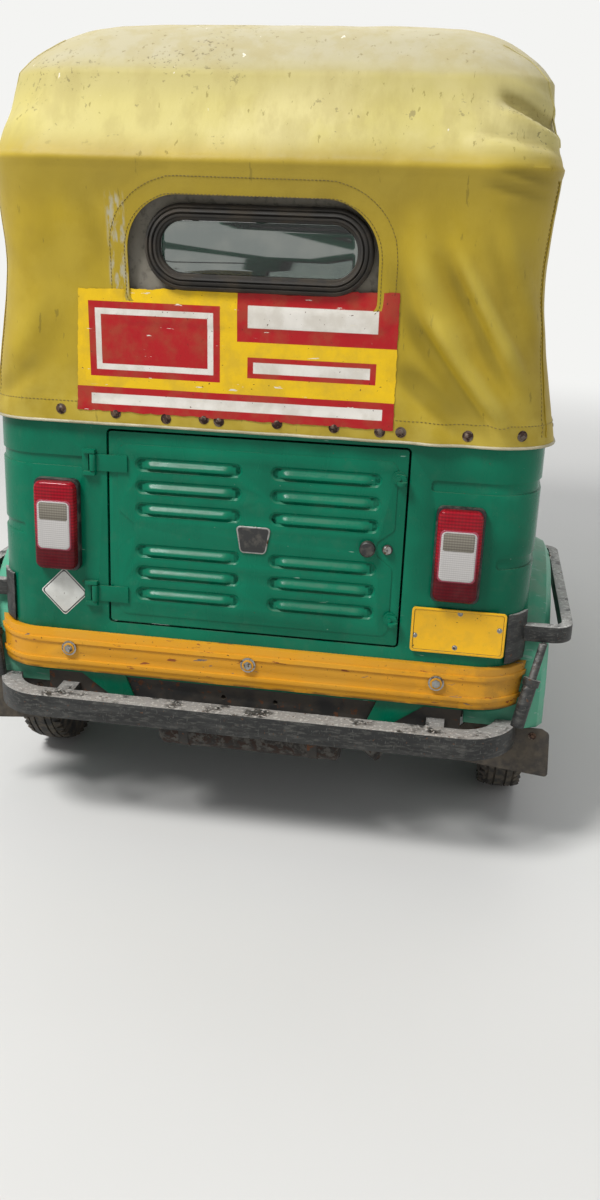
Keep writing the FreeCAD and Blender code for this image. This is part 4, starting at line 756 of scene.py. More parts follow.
@dataclass
class Studio:
    """Pale floor, soft light and the camera at the photograph's angle."""

    position: Point = (0.43509, -3.38843, 1.38076)
    yaw: float = 0.152903
    pitch: float = -0.358028
    roll: float = -0.032624
    focal_px: float = 1055.045
    frame_px: tuple[int, int] = (600, 1200)
    sensor: float = 36.0
    floor: float = 60.0

    def build(self) -> None:
        """Makes the camera, the floor, the lamps and the world."""
        self.camera()
        self.ground()
        self.lamps()
        self.world()
        bpy.context.scene.view_settings.view_transform = "Standard"

    def camera(self) -> None:
        """Sets the camera where the photograph's was."""
        data = bpy.data.cameras.new("camera")
        data.sensor_width = self.sensor
        data.lens = self.focal_px * self.sensor / max(self.frame_px)
        data.clip_end = 200.0
        obj = bpy.data.objects.new("camera", data)
        bpy.context.scene.collection.objects.link(obj)
        turn = Matrix.Rotation(self.yaw, 4, "Z") @ Matrix.Rotation(self.pitch, 4, "X") @ Matrix.Rotation(
            self.roll, 4, "Y") @ Matrix.Rotation(math.pi / 2, 4, "X")
        obj.matrix_world = Matrix.Translation(self.position) @ turn
        bpy.context.scene.camera = obj

    def ground(self) -> None:
        """Lays a plain pale floor."""
        half = self.floor / 2
        obj = new_object("floor", [(-half, -half, 0), (half, -half, 0), (half, half, 0), (-half, half, 0)],
                         [(0, 1, 2, 3)])
        coating = Coating("matt_floor", "#dad9d6", 0.85)
        coating.lay(coating.both(coating.patches(1.5, 0.5, 0.2), 0.4), "#d4d3cf")
        material, tree = coating.done(), coating.tree
        away = add(tree, "ShaderNodeVectorMath", {"operation": "LENGTH"}, {0: coating.place.outputs["Object"]})
        pale = add(tree, "ShaderNodeEmission", inputs={"Color": linear("#f4f4f2"), "Strength": 1.0})
        mix = add(tree, "ShaderNodeMixShader", inputs={
            0: coating.ramp(away.outputs["Value"], 2.6, 6.5), 1: coating.shader.outputs[0], 2: pale.outputs[0]})
        tree.links.new(mix.outputs[0], tree.nodes["Material Output"].inputs["Surface"])
        obj.data.materials.append(material)

    def lamps(self) -> None:
        """Hangs three large soft lamps."""
        for name, place, aim, size, power in (
                ("key", (-2.5, -3.5, 5.8), (0.0, -0.6, 0.9), 1.9, 385.0),
                ("fill", (4.6, -3.6, 3.0), (0.0, -0.6, 0.9), 4.0, 30.0),
                ("top", (0.4, 2.8, 5.6), (0.0, 0.0, 1.0), 4.5, 135.0)):
            data = bpy.data.lights.new(name, "AREA")
            data.size = size
            data.energy = power
            obj = bpy.data.objects.new(name, data)
            bpy.context.scene.collection.objects.link(obj)
            obj.location = place
            obj.rotation_euler = (Vector(aim) - Vector(place)).to_track_quat("-Z", "Y").to_euler()

    def world(self) -> None:
        """Plain sky: soft light on the object, and a pale background for the eye, gloss and glass."""
        world = bpy.data.worlds.new("studio_world")
        bpy.context.scene.world = world
        world.use_nodes = True
        tree = world.node_tree
        tree.nodes.clear()
        path = add(tree, "ShaderNodeLightPath")
        seen: Socket = path.outputs["Is Camera Ray"]
        for other in ("Is Glossy Ray", "Is Transmission Ray"):
            seen = add(tree, "ShaderNodeMath", {"operation": "MAXIMUM"}, {0: seen, 1: path.outputs[other]}).outputs[0]
        light = add(tree, "ShaderNodeBackground", inputs={"Color": linear("#f2f5fa"), "Strength": 0.33})
        shown = add(tree, "ShaderNodeBackground", inputs={"Color": linear("#f4f4f2"), "Strength": 1.0})
        mix = add(tree, "ShaderNodeMixShader", inputs={0: seen, 1: light.outputs[0], 2: shown.outputs[0]})
        add(tree, "ShaderNodeOutputWorld", inputs={"Surface": mix.outputs[0]})


class Fitting(Enum):
    """Small shapes that are set in numbers on the vehicle."""

    BOLT = "hexagon head on a washer"
    RIVET = "domed head"
    STITCH = "one stitch of thread"
    STUD = "hexagon nut on a stud"
    BLOCK = "tread block, fin or rib"
    SHAPE = "a mesh that is handed in"


# prisms of a fitting: sides, then radius, foot and head as shares of its radius and height
PRISMS = {
    Fitting.BOLT: ((20, 1.75, -0.1, 0.22), (16, 1.25, 0.20, 0.34), (6, 1.0, 0.30, 0.92), (6, 0.86, 0.9, 1.0)),
    Fitting.STUD: ((16, 1.35, -0.1, 0.15), (6, 1.0, 0.1, 0.7), (8, 0.5, 0.6, 1.0)),
    Fitting.RIVET: ((16, 1.45, -0.2, 0.18),)}
# ball of a fitting: rings, segments and half length as a share
BALLS = {Fitting.RIVET: (8, 14, 1.0), Fitting.STITCH: (4, 6, 0.5)}


@dataclass(frozen=True)
class Seat:
    """Where one fitting sits.

    Args:
        at: Its foot.
        facing: The way that its head faces.
        along: The way that its length lies.
    """

    at: Point
    facing: Point
    along: Point = (0.0, 0.0, 1.0)


def new_tree(name: str, sizes: Iterable[str]) -> tuple[bpy.types.NodeTree, bpy.types.Node]:
    """Starts a Geometry Nodes tree.

    Args:
        name: Its name.
        sizes: Names of its inputs for sizes.

    Returns:
        The tree and its input node.
    """
    tree = bpy.data.node_groups.new(name, "GeometryNodeTree")
    tree.interface.new_socket("Geometry", in_out="INPUT", socket_type="NodeSocketGeometry")
    for size in sizes:
        tree.interface.new_socket(size, in_out="INPUT", socket_type="NodeSocketFloat")
    tree.interface.new_socket("Geometry", in_out="OUTPUT", socket_type="NodeSocketGeometry")
    return tree, add(tree, "NodeGroupInput")


def run_tree(obj: bpy.types.Object, tree: bpy.types.NodeTree, shape: Socket, material: bpy.types.Material,
             sizes: dict[str, float]) -> None:
    """Ends a tree in Realize Instances and Set Material, runs it and keeps its result as plain mesh.

    Args:
        obj: The object that it runs on.
        tree: The tree.
        shape: What it has made.
        material: The material of that.
        sizes: Values of its named inputs.
    """
    real = add(tree, "GeometryNodeRealizeInstances", inputs={"Geometry": shape})
    painted = add(tree, "GeometryNodeSetMaterial", inputs={"Geometry": real.outputs[0], "Material": material})
    add(tree, "NodeGroupOutput", inputs={"Geometry": painted.outputs[0]})
    mod = obj.modifiers.new("nodes", "NODES")
    mod.node_group = tree
    for item in tree.interface.items_tree:
        if item.item_type == "SOCKET" and item.in_out == "INPUT" and item.name in sizes:
            mod[item.identifier] = sizes[item.name]
    applied(obj)


def fitting_shape(tree: bpy.types.NodeTree, sizes: bpy.types.Node, kind: Fitting) -> Socket:
    """Builds a fitting in unit size, then scales it to its inputs.

    Args:
        tree: Tree that gets its nodes.
        sizes: The node with the inputs Radius, Height and Length.
        kind: What is built.

    Returns:
        The shape, with its foot at the origin and its head up Z.
    """
    solids = []
    if kind in BALLS:
        rings, segments, half = BALLS[kind]
        ball = add(tree, "GeometryNodeMeshUVSphere", inputs={"Rings": rings, "Segments": segments, "Radius": 1.0})
        solids.append((ball, 0.0, half))
    for sides, wide, low, high in PRISMS.get(kind, ()):
        prism_node = add(tree, "GeometryNodeMeshCylinder", inputs={
            "Vertices": sides, "Radius": wide, "Depth": high - low})
        solids.append((prism_node, (low + high) / 2, 1.0))
    if kind is Fitting.BLOCK:
        solids.append((add(tree, "GeometryNodeMeshCube", inputs={"Size": (1.0, 2.0, 2.0)}), 0.0, 1.0))
    joined = add(tree, "GeometryNodeJoinGeometry")
    for solid, up, stretch in solids:
        part = add(tree, "GeometryNodeTransform", inputs={
            "Geometry": solid.outputs["Mesh"], "Translation": (0, 0, up), "Scale": (stretch, 1, 1)})
        tree.links.new(part.outputs[0], joined.inputs[0])
    long_way = "Length" if kind in (Fitting.STITCH, Fitting.BLOCK) else "Radius"
    size = add(tree, "ShaderNodeCombineXYZ", inputs={
        axis: sizes.outputs[name] for axis, name in zip("XYZ", (long_way, "Radius", "Height"))})
    return add(tree, "GeometryNodeTransform", inputs={
        "Geometry": joined.outputs[0], "Scale": size.outputs[0]}).outputs[0]


def fittings(name: str, kind: Fitting, seats: Sequence[Seat], finish: Finish, radius: float, height: float,
             length: float = 0.0, body: str = "body", shape: bpy.types.Object | None = None) -> bpy.types.Object:
    """Sets a fitting on each of its places with Geometry Nodes, as one piece.

    The places are points with the attributes "facing" and "along", which turn each fitting.

    Args:
        name: Name of the piece.
        kind: What is set.
        seats: Where.
        finish: Their finish.
        radius: Radius, or half width, of one in metres.
        height: Its height in metres.
        length: Its length in metres, where it has one.
        body: The body that it moves with.
        shape: The mesh that Fitting.SHAPE sets.

    Returns:
        The piece.
    """
    ways = ("facing", "along")
    obj = new_object(name, [s.at for s in seats], [])
    for key in ways:
        values = [c for s in seats for c in getattr(s, key)]
        obj.data.attributes.new(key, "FLOAT_VECTOR", "POINT").data.foreach_set("vector", values)
    tree, sizes = new_tree("set_" + kind.name.lower(), ("Radius", "Height", "Length"))
    turn: Socket | None = None
    for key, axis, pivot in zip(ways, "ZX", ("AUTO", "Z")):
        way = add(tree, "GeometryNodeInputNamedAttribute", {"data_type": "FLOAT_VECTOR"}, {"Name": key})
        align = add(tree, "FunctionNodeAlignRotationToVector", {"axis": axis, "pivot_axis": pivot}, {
            "Vector": way.outputs["Attribute"]})
        if turn is not None:
            tree.links.new(turn, align.inputs["Rotation"])
        turn = align.outputs["Rotation"]
    one = add(tree, "GeometryNodeObjectInfo", inputs={
        "Object": shape}).outputs["Geometry"] if shape else fitting_shape(tree, sizes, kind)
    points = add(tree, "GeometryNodeMeshToPoints", inputs={"Mesh": sizes.outputs["Geometry"]})
    placed = add(tree, "GeometryNodeInstanceOnPoints", inputs={
        "Points": points.outputs[0], "Instance": one, "Rotation": turn})
    run_tree(obj, tree, placed.outputs[0], finish.material(), {"Radius": radius, "Height": height, "Length": length})
    for key in ways:
        layer = obj.data.attributes.get(key)
        if layer:
            obj.data.attributes.remove(layer)
    return finished(obj, finish, body, 35.0)


def smooth_step(value: np.ndarray, low: float, high: float) -> np.ndarray:
    """0 at low and 1 at high, with a smooth rise between.

    Args:
        value: Values.
        low: Where the rise starts.
        high: Where it ends.

    Returns:
        The rise at each value.
    """
    t = np.clip((value - low) / (high - low), 0.0, 1.0)
    return t * t * (3 - 2 * t)


def cloud(points: np.ndarray, size: float, seed: float = 0.0) -> np.ndarray:
    """Smooth noise from about -1 to 1 at points.

    Args:
        points: Rows of x, y and z.
        size: Size of its features in metres.
        seed: Shift that makes another pattern.

    Returns:
        One value for each point.
    """
    return np.array([noise.noise(Vector(p) / size + Vector((seed, 2.7 * seed, 0.3))) for p in points])


def tube_along(name: str, path: Sequence[Point], radius: float, finish: Finish, body: str = "body", sides: int = 10,
               closed: bool = False, flat: float = 1.0) -> bpy.types.Object:
    """Round or flattened tube along a line.

    Args:
        name: Name of the piece.
        path: Points of its middle line.
        radius: Its radius in metres.
        finish: Its finish.
        body: The body that it moves with.
        sides: Faces round it.
        closed: Whether the line is a loop.
        flat: Thickness of its section over its width.

    Returns:
        The piece.
    """
    pts = np.array(path, float)
    if closed:
        ahead = np.roll(pts, -1, 0) - np.roll(pts, 1, 0)
    else:
        ahead = np.gradient(pts, axis=0)
    ahead /= np.linalg.norm(ahead, axis=1, keepdims=True)
    side = np.zeros_like(ahead)
    start = np.cross(ahead[0], (0, 0, 1) if abs(ahead[0][2]) < 0.9 else (1, 0, 0))
    for i, way in enumerate(ahead):
        start = start - way * np.dot(start, way)
        start /= np.linalg.norm(start)
        side[i] = start
    up = np.cross(side, ahead)
    angles = np.linspace(0, 2 * math.pi, sides, endpoint=False)
    rings = [pts + radius * (math.cos(a) * side + flat * math.sin(a) * up) for a in angles]
    verts = np.stack(rings, 1).reshape(-1, 3)
    obj = outward(new_object(name, verts, ring_faces(len(pts), sides, looped=closed, capped=not closed)))
    return finished(obj, finish, body, 50.0)


def spaced(path: Sequence[Point], gap: float) -> tuple[np.ndarray, np.ndarray]:
    """Points at even gaps along a line, and the line's direction there.

    Args:
        path: Points of the line.
        gap: Distance between the new points.

    Returns:
        The points and the directions.
    """
    pts = np.array(path, float)
    run = np.concatenate([[0.0], np.cumsum(np.linalg.norm(np.diff(pts, axis=0), axis=1))])
    at = np.arange(gap / 2, run[-1], gap)
    out = np.stack([np.interp(at, run, pts[:, k]) for k in range(3)], 1)
    ahead = np.stack([np.interp(at + gap / 4, run, pts[:, k]) for k in range(3)], 1)
    behind = np.stack([np.interp(at - gap / 4, run, pts[:, k]) for k in range(3)], 1)
    ways = ahead - behind
    return out, ways / np.maximum(np.linalg.norm(ways, axis=1, keepdims=True), 1e-9)


@dataclass(frozen=True)
class Fold:
    """A fold in the cloth between two points seen from behind.

    Args:
        a: Its first end, x and z.
        b: Its second end, x and z.
        width: Half width of its ridge.
        height: How far it stands out, below 0 for a valley.
    """

    a: tuple[float, float]
    b: tuple[float, float]
    width: float
    height: float

    def rise(self, x: np.ndarray, z: np.ndarray) -> np.ndarray:
        """How far it lifts the cloth at each point."""
        ax, az = self.a
        dx, dz = self.b[0] - ax, self.b[1] - az
        span = math.hypot(dx, dz)
        t = ((x - ax) * dx + (z - az) * dz) / span ** 2
        off = ((x - ax) * dz - (z - az) * dx) / span
        fade = smooth_step(t, -0.15, 0.3) * (1 - smooth_step(t, 0.7, 1.15))
        ridge = np.exp(-(off / self.width) ** 2) - 0.45 * np.exp(-((off - 1.9 * self.width) / self.width) ** 2)
        return self.height * fade * ridge


@dataclass
class Hood:
    """Soft hood: one sheet of coated cloth stretched over bows, with piping, seams, stitches and rivets."""

    # height, half width behind and in front, rear and front edge, rear and front corner radius
    sections: Sequence[Sequence[float]] = (
        (0.935, 0.6125, 0.566, -1.253, 0.935, 0.121, 0.060),
        (1.250, 0.5660, 0.536, -1.261, 0.935, 0.130, 0.060),
        (1.455, 0.5760, 0.530, -1.287, 0.935, 0.150, 0.060),
        (1.615, 0.5460, 0.486, -1.213, 0.920, 0.170, 0.080),
        (1.690, 0.4900, 0.436, -1.145, 0.845, 0.150, 0.120),
        (1.724, 0.3800, 0.330, -1.035, 0.475, 0.130, 0.120))
    side_bend: float = -0.430
    hem: float = 0.935
    crease: float = 1.455
    roof_crease: float = 1.615
    # rear and front end of the roof's spine, then the places of the bows that carry the roof
    spine: tuple[float, float] = (-0.655, 0.145)
    roof_bows: Sequence[float] = (-1.10, -0.945, -0.190, 0.290, 0.80)
    row_gap: float = 8.5 * MM
    # points along half the back, round the corner, along the side and its taper, round the nose, along half the front
    columns: Sequence[int] = (56, 24, 40, 36, 7, 12)
    roof_rows: int = 22
    thickness: float = 2.6 * MM
    # width and length of the sheet, and the area of the cut cloth over that of the finished one, for its seams
    cut: tuple[float, float] = (3.35, 2.70)
    seam_share: float = 1.01
    # the doorways: upper edge, two points (y, z) of the slanting rear edge, and the radius of their corner
    door_z: float = 1.470
    door_low: tuple[float, float] = (-0.440, 0.800)
    door_high: tuple[float, float] = (-0.350, 1.470)
    door_radius: float = 0.090
    # half width and height of the windscreen's cut-out, at its foot and its top, and its corner radius
    screen_low: tuple[float, float] = (0.460, 1.400)
    screen_high: tuple[float, float] = (0.430, 1.618)
    screen_radius: float = 0.060
    # the rear window's cut-out: its four edges, its lower and upper corner radii and the width of its binding
    window: Sequence[float] = (-0.263, 0.240, 1.185, 1.393)
    window_radii: tuple[float, float] = (0.020, 0.108)
    binding: float = 0.042
    rivets: Sequence[float] = (-0.421, -0.300, -0.191, -0.109, -0.077, 0.046, 0.165, 0.259, 0.302, 0.437, 0.545)
    folds: Sequence[Fold] = (
        Fold((0.330, 1.200), (0.515, 0.970), 0.019, 0.0250),
        Fold((0.390, 1.310), (0.535, 1.065), 0.017, 0.0200),
        Fold((0.285, 1.085), (0.445, 0.955), 0.026, -0.0120),
        Fold((0.300, 1.310), (0.420, 1.120), 0.028, 0.0100),
        Fold((0.470, 1.370), (0.568, 1.130), 0.018, 0.0065),
        Fold((0.570, 1.530), (0.445, 1.585), 0.013, -0.0120),
        Fold((0.575, 1.504), (0.440, 1.562), 0.014, 0.0110),
        Fold((0.570, 1.474), (0.390, 1.502), 0.012, 0.0080),
        Fold((0.560, 1.434), (0.450, 1.452), 0.012, -0.0070),
        Fold((0.560, 1.405), (0.430, 1.425), 0.010, -0.0050),
        Fold((-0.545, 1.040), (-0.440, 1.200), 0.030, 0.0060),
        Fold((-0.590, 0.975), (-0.470, 1.060), 0.022, -0.0050),
        Fold((-0.560, 1.500), (-0.440, 1.535), 0.018, 0.0040),
        Fold((-0.35, 1.395), (-0.31, 1.245), 0.025, -0.0035),
        Fold((0.320, 1.400), (0.335, 1.200), 0.028, 0.0035))
    grid: np.ndarray = field(default_factory=lambda: np.zeros((0, 0, 3)))
    folded: np.ndarray | float = 0.0
    seams: list[bpy.types.Object] = field(default_factory=list)
    piece: bpy.types.Object | None = None
    tree: Any = None

    def half_ring(self, values: Sequence[float]) -> np.ndarray:
        """Right half of a plan outline, from the middle of the back to the middle of the front.

        Args:
            values: Half widths, edges and corner radii.

        Returns:
            Rows of x and y.
        """
        hr, hf, rear, front, rr, rf = values
        back, corner, side, taper, nose, face = self.columns
        xs = np.linspace(0, hr - rr, back, endpoint=False)
        out = [np.stack([xs, np.full(back, rear)], 1)]
        turn = np.linspace(-math.pi / 2, 0, corner, endpoint=False)
        out.append(np.stack([hr - rr + rr * np.cos(turn), rear + rr + rr * np.sin(turn)], 1))
        ys = np.linspace(rear + rr, self.side_bend, side, endpoint=False)
        out.append(np.stack([np.full(side, hr), ys], 1))
        bend, tip = np.array([hr, self.side_bend]), np.array([hf, front])
        u = (bend - tip) / np.linalg.norm(bend - tip)
        half = math.acos(float(np.dot(u, (-1, 0)))) / 2
        bis = (u + (-1, 0)) / np.linalg.norm(u + (-1, 0))
        centre = tip + bis * rf / math.sin(half)
        start, end = tip + u * rf / math.tan(half), tip + np.array([-1, 0]) * rf / math.tan(half)
        out.append(bend + (start - bend) * np.linspace(0, 1, taper, endpoint=False)[:, None])
        a0, a1 = (math.atan2(p[1] - centre[1], p[0] - centre[0]) for p in (start, end))
        turn = np.linspace(a0, a1, nose, endpoint=False)
        out.append(centre + rf * np.stack([np.cos(turn), np.sin(turn)], 1))
        out.append(end + np.stack([np.linspace(0, -end[0], face), np.zeros(face)], 1))
        return np.concatenate(out)

    def rows(self) -> tuple[np.ndarray, np.ndarray]:
        """Heights of the rows and the outline's values at each, rounded a little where the cloth bends.

        Returns:
            The heights, and the half widths, edges and corner radii at each.
        """
        table = np.array(self.sections)
        step = np.hypot(np.diff(table[:, 0]), np.maximum(abs(np.diff(table[:, 1])), abs(np.diff(table[:, 3]))))
        run = np.concatenate([[0.0], np.cumsum(step)])
        at = np.linspace(0, run[-1], int(run[-1] / self.row_gap))
        values = np.stack([np.interp(at, run, table[:, k]) for k in range(7)], 1)
        lightly, soft = values.copy(), values.copy()
        for curve, passes in ((lightly, 5), (soft, 92)):
            for _ in range(passes):
                curve[1:-1] += 0.25 * (curve[:-2] - 2 * curve[1:-1] + curve[2:])
        share = smooth_step(values[:, 0], 1.632, 1.678)[:, None]
        low = 0.8 * (1 - smooth_step(values[:, 0], 1.30, 1.36))[:, None]
        share = np.maximum(share, low)
        values = share * soft + (1 - share) * lightly
        return values[:, 0], values[:, 1:]

    def shape(self) -> np.ndarray:
        """Grid of points of the outer face, rows by columns.

        Returns:
            The grid, from the hem up to the roof's spine.
        """
        heights, values = self.rows()
        rings = []
        for z, row in zip(heights, values):
            half = self.half_ring(row)
            left = half[-2:0:-1] * np.array([-1, 1])
            ring = np.concatenate([half, left])
            rings.append(np.concatenate([ring, np.full((len(ring), 1), z)], 1))
        edge = rings[-1]
        spine = np.stack([np.zeros(len(edge)), np.clip(edge[:, 1], *self.spine), edge[:, 2]], 1)
        for t in np.linspace(0, 1, self.roof_rows + 1)[1:]:
            ring = edge + (spine - edge) * t
            ring[:, 2] += 0.006 * math.sin(t * math.pi / 2)
            rings.append(ring)
        return np.array(rings)

    def settle(self, grid: np.ndarray) -> np.ndarray:
        """Lets the cloth hang: a soft unevenness, taut hollows, creases, folds, ripples and pulls.

        Args:
            grid: The taut outer face.

        Returns:
            The same grid, moved.
        """
        normal = self.normals(grid)
        x, y, z = grid[..., 0], grid[..., 1], grid[..., 2]
        flat = grid.reshape(-1, 3)
        rear = 1 - smooth_step(y, -1.19, -1.00)
        side = smooth_step(y, -1.13, -1.00) * (1 - smooth_step(z, 1.637, 1.677))
        # soft unevenness, hollows between the hem and the creases, and the creases' own ridges
        move = 0.0022 * cloud(flat, 0.16).reshape(z.shape) + 0.0010 * cloud(flat, 0.05, 3.0).reshape(z.shape)
        low = np.clip((z - self.hem) / (self.crease - self.hem), 0, 1)
        high = np.clip((z - self.crease) / (self.roof_crease - self.crease), 0, 1)
        move -= 0.0050 * np.sin(math.pi * low) + 0.0055 * np.sin(math.pi * high)
        move += 0.0042 * np.exp(-((z - self.crease) / 0.007) ** 2)
        move += 0.0022 * np.exp(-((z - self.roof_crease) / 0.008) ** 2)
        for fold in self.folds:
            self.folded = self.folded + rear * fold.rise(x, z)
        move += self.folded
        # ripples that the rivets pull into the hem, then slanting pulls on the sides
        hem = np.exp(-(z - self.hem) / 0.055)
        along = np.where(rear > 0.5, x, y)
        move += 0.0022 * hem * np.sin(along * 2 * math.pi / 0.118 + 1.1) * (1 - rear * smooth_step(-x, -0.25, 0.2))
        pull = np.sin((y + 0.35 * z) * 2 * math.pi / 0.21) + 0.6 * np.sin((y - 0.6 * z) * 2 * math.pi / 0.13 + 1.0)
        move += side * 0.0032 * pull * smooth_step(z, 1.05, 1.30) * (1 - smooth_step(z, 1.41, 1.47))
        move += side * 0.0030 * np.sin(y * 2 * math.pi / 0.17 + 0.7) * (1 - smooth_step(abs(z - 1.535), 0.03, 0.08))
        # the roof hangs between its bows
        roof = smooth_step(z, 1.68, 1.718) * (1 - smooth_step(abs(x), 0.30, 0.42))
        bows = np.array(self.roof_bows)
        gap = np.clip(np.searchsorted(bows, y) - 1, 0, len(bows) - 2)
        share = np.clip((y - bows[gap]) / (bows[gap + 1] - bows[gap]), 0, 1)
        move -= roof * 0.006 * np.sin(math.pi * share)
        move += self.raised_bands(x, y, z)
        return grid + normal * move[..., None]

    def raised_bands(self, x: np.ndarray, y: np.ndarray, z: np.ndarray) -> np.ndarray:
        """Doubled cloth round the window and along the hem and the doorway, as a height.

        Args:
            x, y, z: Places on the taut cloth.

        Returns:
            The height of the doubled cloth at each place.
        """
        rear = (y < -1.15).astype(float)
        off = self.window_gap(x, z)
        out = 0.0016 * rear * (1 - smooth_step(off, self.binding - 0.002, self.binding + 0.002))
        out += 0.0014 * (1 - smooth_step(z, 0.978, 0.984))
        out += 0.0014 * (1 - smooth_step(self.door_gap(y, z), 0.030, 0.036))
        return out

    def normals(self, grid: np.ndarray) -> np.ndarray:
        """Outward directions of a closed grid.

        Args:
            grid: Points, rows by columns.

        Returns:
            The direction at each point.
        """
        round_way = np.roll(grid, -1, 1) - np.roll(grid, 1, 1)
        up_way = np.gradient(grid, axis=0)
        out = np.cross(round_way, up_way)
        out /= np.maximum(np.linalg.norm(out, axis=2, keepdims=True), 1e-12)
        out[-1] = (0, 0, 1)
        return out

    def window_gap(self, x: np.ndarray, z: np.ndarray) -> np.ndarray:
        """Distance from the rear window's cut-out, below 0 inside it.

        Args:
            x, z: Places on the cloth.

        Returns:
            The distances.
        """
        x0, x1, z0, z1 = self.window
        low, high = self.window_radii
        radius = np.where(z > (z0 + z1) / 2, high, low)
        dx = abs(x - (x0 + x1) / 2) - (x1 - x0) / 2 + radius
        dz = abs(z - (z0 + z1) / 2) - (z1 - z0) / 2 + radius
        return np.hypot(np.maximum(dx, 0), np.maximum(dz, 0)) + np.minimum(np.maximum(dx, dz), 0) - radius

    def door_gap(self, y: np.ndarray, z: np.ndarray) -> np.ndarray:
        """Distance from the doorways, below 0 inside them.

        Args:
            y, z: Places on the cloth.

        Returns:
            The distances.
        """
        (y0, z0), (y1, z1) = self.door_low, self.door_high
        span = math.hypot(y1 - y0, z1 - z0)
        rear = ((y - y0) * (z1 - z0) - (z - z0) * (y1 - y0)) / span
        a, b = self.door_radius - rear, self.door_radius - (self.door_z - z)
        return np.hypot(np.maximum(a, 0), np.maximum(b, 0)) + np.minimum(np.maximum(a, b), 0) - self.door_radius

    def screen_gap(self, x: np.ndarray, y: np.ndarray, z: np.ndarray) -> np.ndarray:
        """Distance from the windscreen's cut-out, below 0 inside it.

        Args:
            x, y, z: Places on the cloth.

        Returns:
            The distances.
        """
        (wide, foot), (narrow, top), radius = self.screen_low, self.screen_high, self.screen_radius
        half = wide - (z - foot) * (wide - narrow) / (top - foot)
        a, b = abs(x) - half + radius, z - top + radius
        gap = np.hypot(np.maximum(a, 0), np.maximum(b, 0)) + np.minimum(np.maximum(a, b), 0) - radius
        return np.where(y > 0.70, gap, 1.0)

    def gap(self, p: np.ndarray) -> np.ndarray:
        """Distance of points from the nearest cut-out, below 0 inside one.

        Args:
            p: Points.

        Returns:
            The distances.
        """
        x, y, z = p[..., 0], p[..., 1], p[..., 2]
        window = np.where(y < -1.10, self.window_gap(x, z), 1.0)
        return np.minimum(np.minimum(window, self.door_gap(y, z)), self.screen_gap(x, y, z))

    def build(self) -> None:
        """Makes the cloth, then what is sewn and riveted to it."""
        taut = self.shape()
        self.grid = self.settle(taut)
        rows, cols = taut.shape[:2]
        verts = self.grid.reshape(-1, 3).copy()
        away = self.gap(taut).reshape(-1)
        faces = []
        for i in range(rows - 1):
            for j in range(cols):
                k = (j + 1) % cols
                quad = (i * cols + j, i * cols + k, (i + 1) * cols + k, (i + 1) * cols + j)
                if sum(away[q] for q in quad) > 0:
                    faces.append(quad)
        self.trim(verts, taut.reshape(-1, 3), faces)
        obj = new_object("hood_cloth", verts, faces)
        obj.data.attributes.new("fold", "FLOAT", "POINT").data.foreach_set("value", self.folded.reshape(-1))
        bm = bmesh.new()
        bm.from_mesh(obj.data)
        bmesh.ops.delete(bm, geom=[v for v in bm.verts if not v.link_faces], context="VERTS")
        bmesh.ops.remove_doubles(bm, verts=bm.verts, dist=0.2 * MM)
        bmesh.ops.smooth_vert(bm, verts=[v for v in bm.verts if v.co.z > 1.68], factor=0.5,
                              **{f"use_axis_{axis}": True for axis in "xyz"})
        area = sum(f.calc_area() for f in bm.faces)
        bm.to_mesh(obj.data)
        bm.free()
        self.tree = BVHTree.FromPolygons([v.co[:] for v in obj.data.vertices],
                                         [p.vertices[:] for p in obj.data.polygons])
        wall = obj.modifiers.new("cloth thickness", "SOLIDIFY")
        wall.thickness = self.thickness
        wall.offset = -1.0
        applied(obj)
        self.piece = finished(obj, HOOD, sharp=50.0, replaces=["hood"])
        self.sew()
        LOG.info("hood cloth %.2f m2", area)

    def trim(self, verts: np.ndarray, taut: np.ndarray, faces: Sequence[Sequence[int]]) -> None:
        """Draws the points on the edge of each cut-out onto its line.

        Args:
            verts: Points of the cloth, changed in place.
            taut: The same points before the cloth was settled.
            faces: The faces that are kept.
        """
        count: dict[tuple[int, int], int] = {}
        for f in faces:
            for a, b in zip(f, tuple(f[1:]) + (f[0],)):
                key = (min(a, b), max(a, b))
                count[key] = count.get(key, 0) + 1
        edge = sorted({v for key, n in count.items() if n == 1 for v in key if 0.94 < taut[v][2] < 1.66})
        pts = taut[edge].copy()
        for _ in range(4):
            d = self.gap(pts)
            slope = np.zeros_like(pts)
            for k in range(3):
                shift = np.zeros(3)
                shift[k] = 0.3 * MM
                slope[:, k] = (self.gap(pts + shift) - self.gap(pts - shift)) / (0.6 * MM)
            size = np.maximum(np.linalg.norm(slope, axis=1), 0.5)
            pts -= slope * (np.clip(d, -0.016, 0.016) / size ** 2)[:, None]
        verts[edge] += pts - taut[edge]

    def on_cloth(self, x: float, z: float) -> tuple[Vector, Vector]:
        """Point and outward direction on the rear face of the cloth.

        Args:
            x: Distance to the right.
            z: Height.

        Returns:
            The point and the direction.
        """
        hit, normal, _, _ = self.tree.ray_cast(Vector((x, -2.0, z)), Vector((0, 1, 0)))
        if hit is None:
            hit, normal, _, _ = self.tree.find_nearest(Vector((x, -1.26, z)))
        return hit, normal if normal.y < 0 else -normal

    def beside_cloth(self, p: Point, out: float) -> tuple[Vector, Vector]:
        """Nearest point of the cloth, moved off it, and the outward direction there.

        Args:
            p: A point near the cloth.
            out: How far off the cloth the result is.

        Returns:
            The point and the direction.
        """
        hit, normal, _, _ = self.tree.find_nearest(Vector(p))
        away = Vector((hit.x, 0 if -1.0 < hit.y < 0.8 else hit.y, 0))
        normal = normal if normal.dot(away) > 0 or hit.z > 1.70 else -normal
        return hit + normal * out, normal

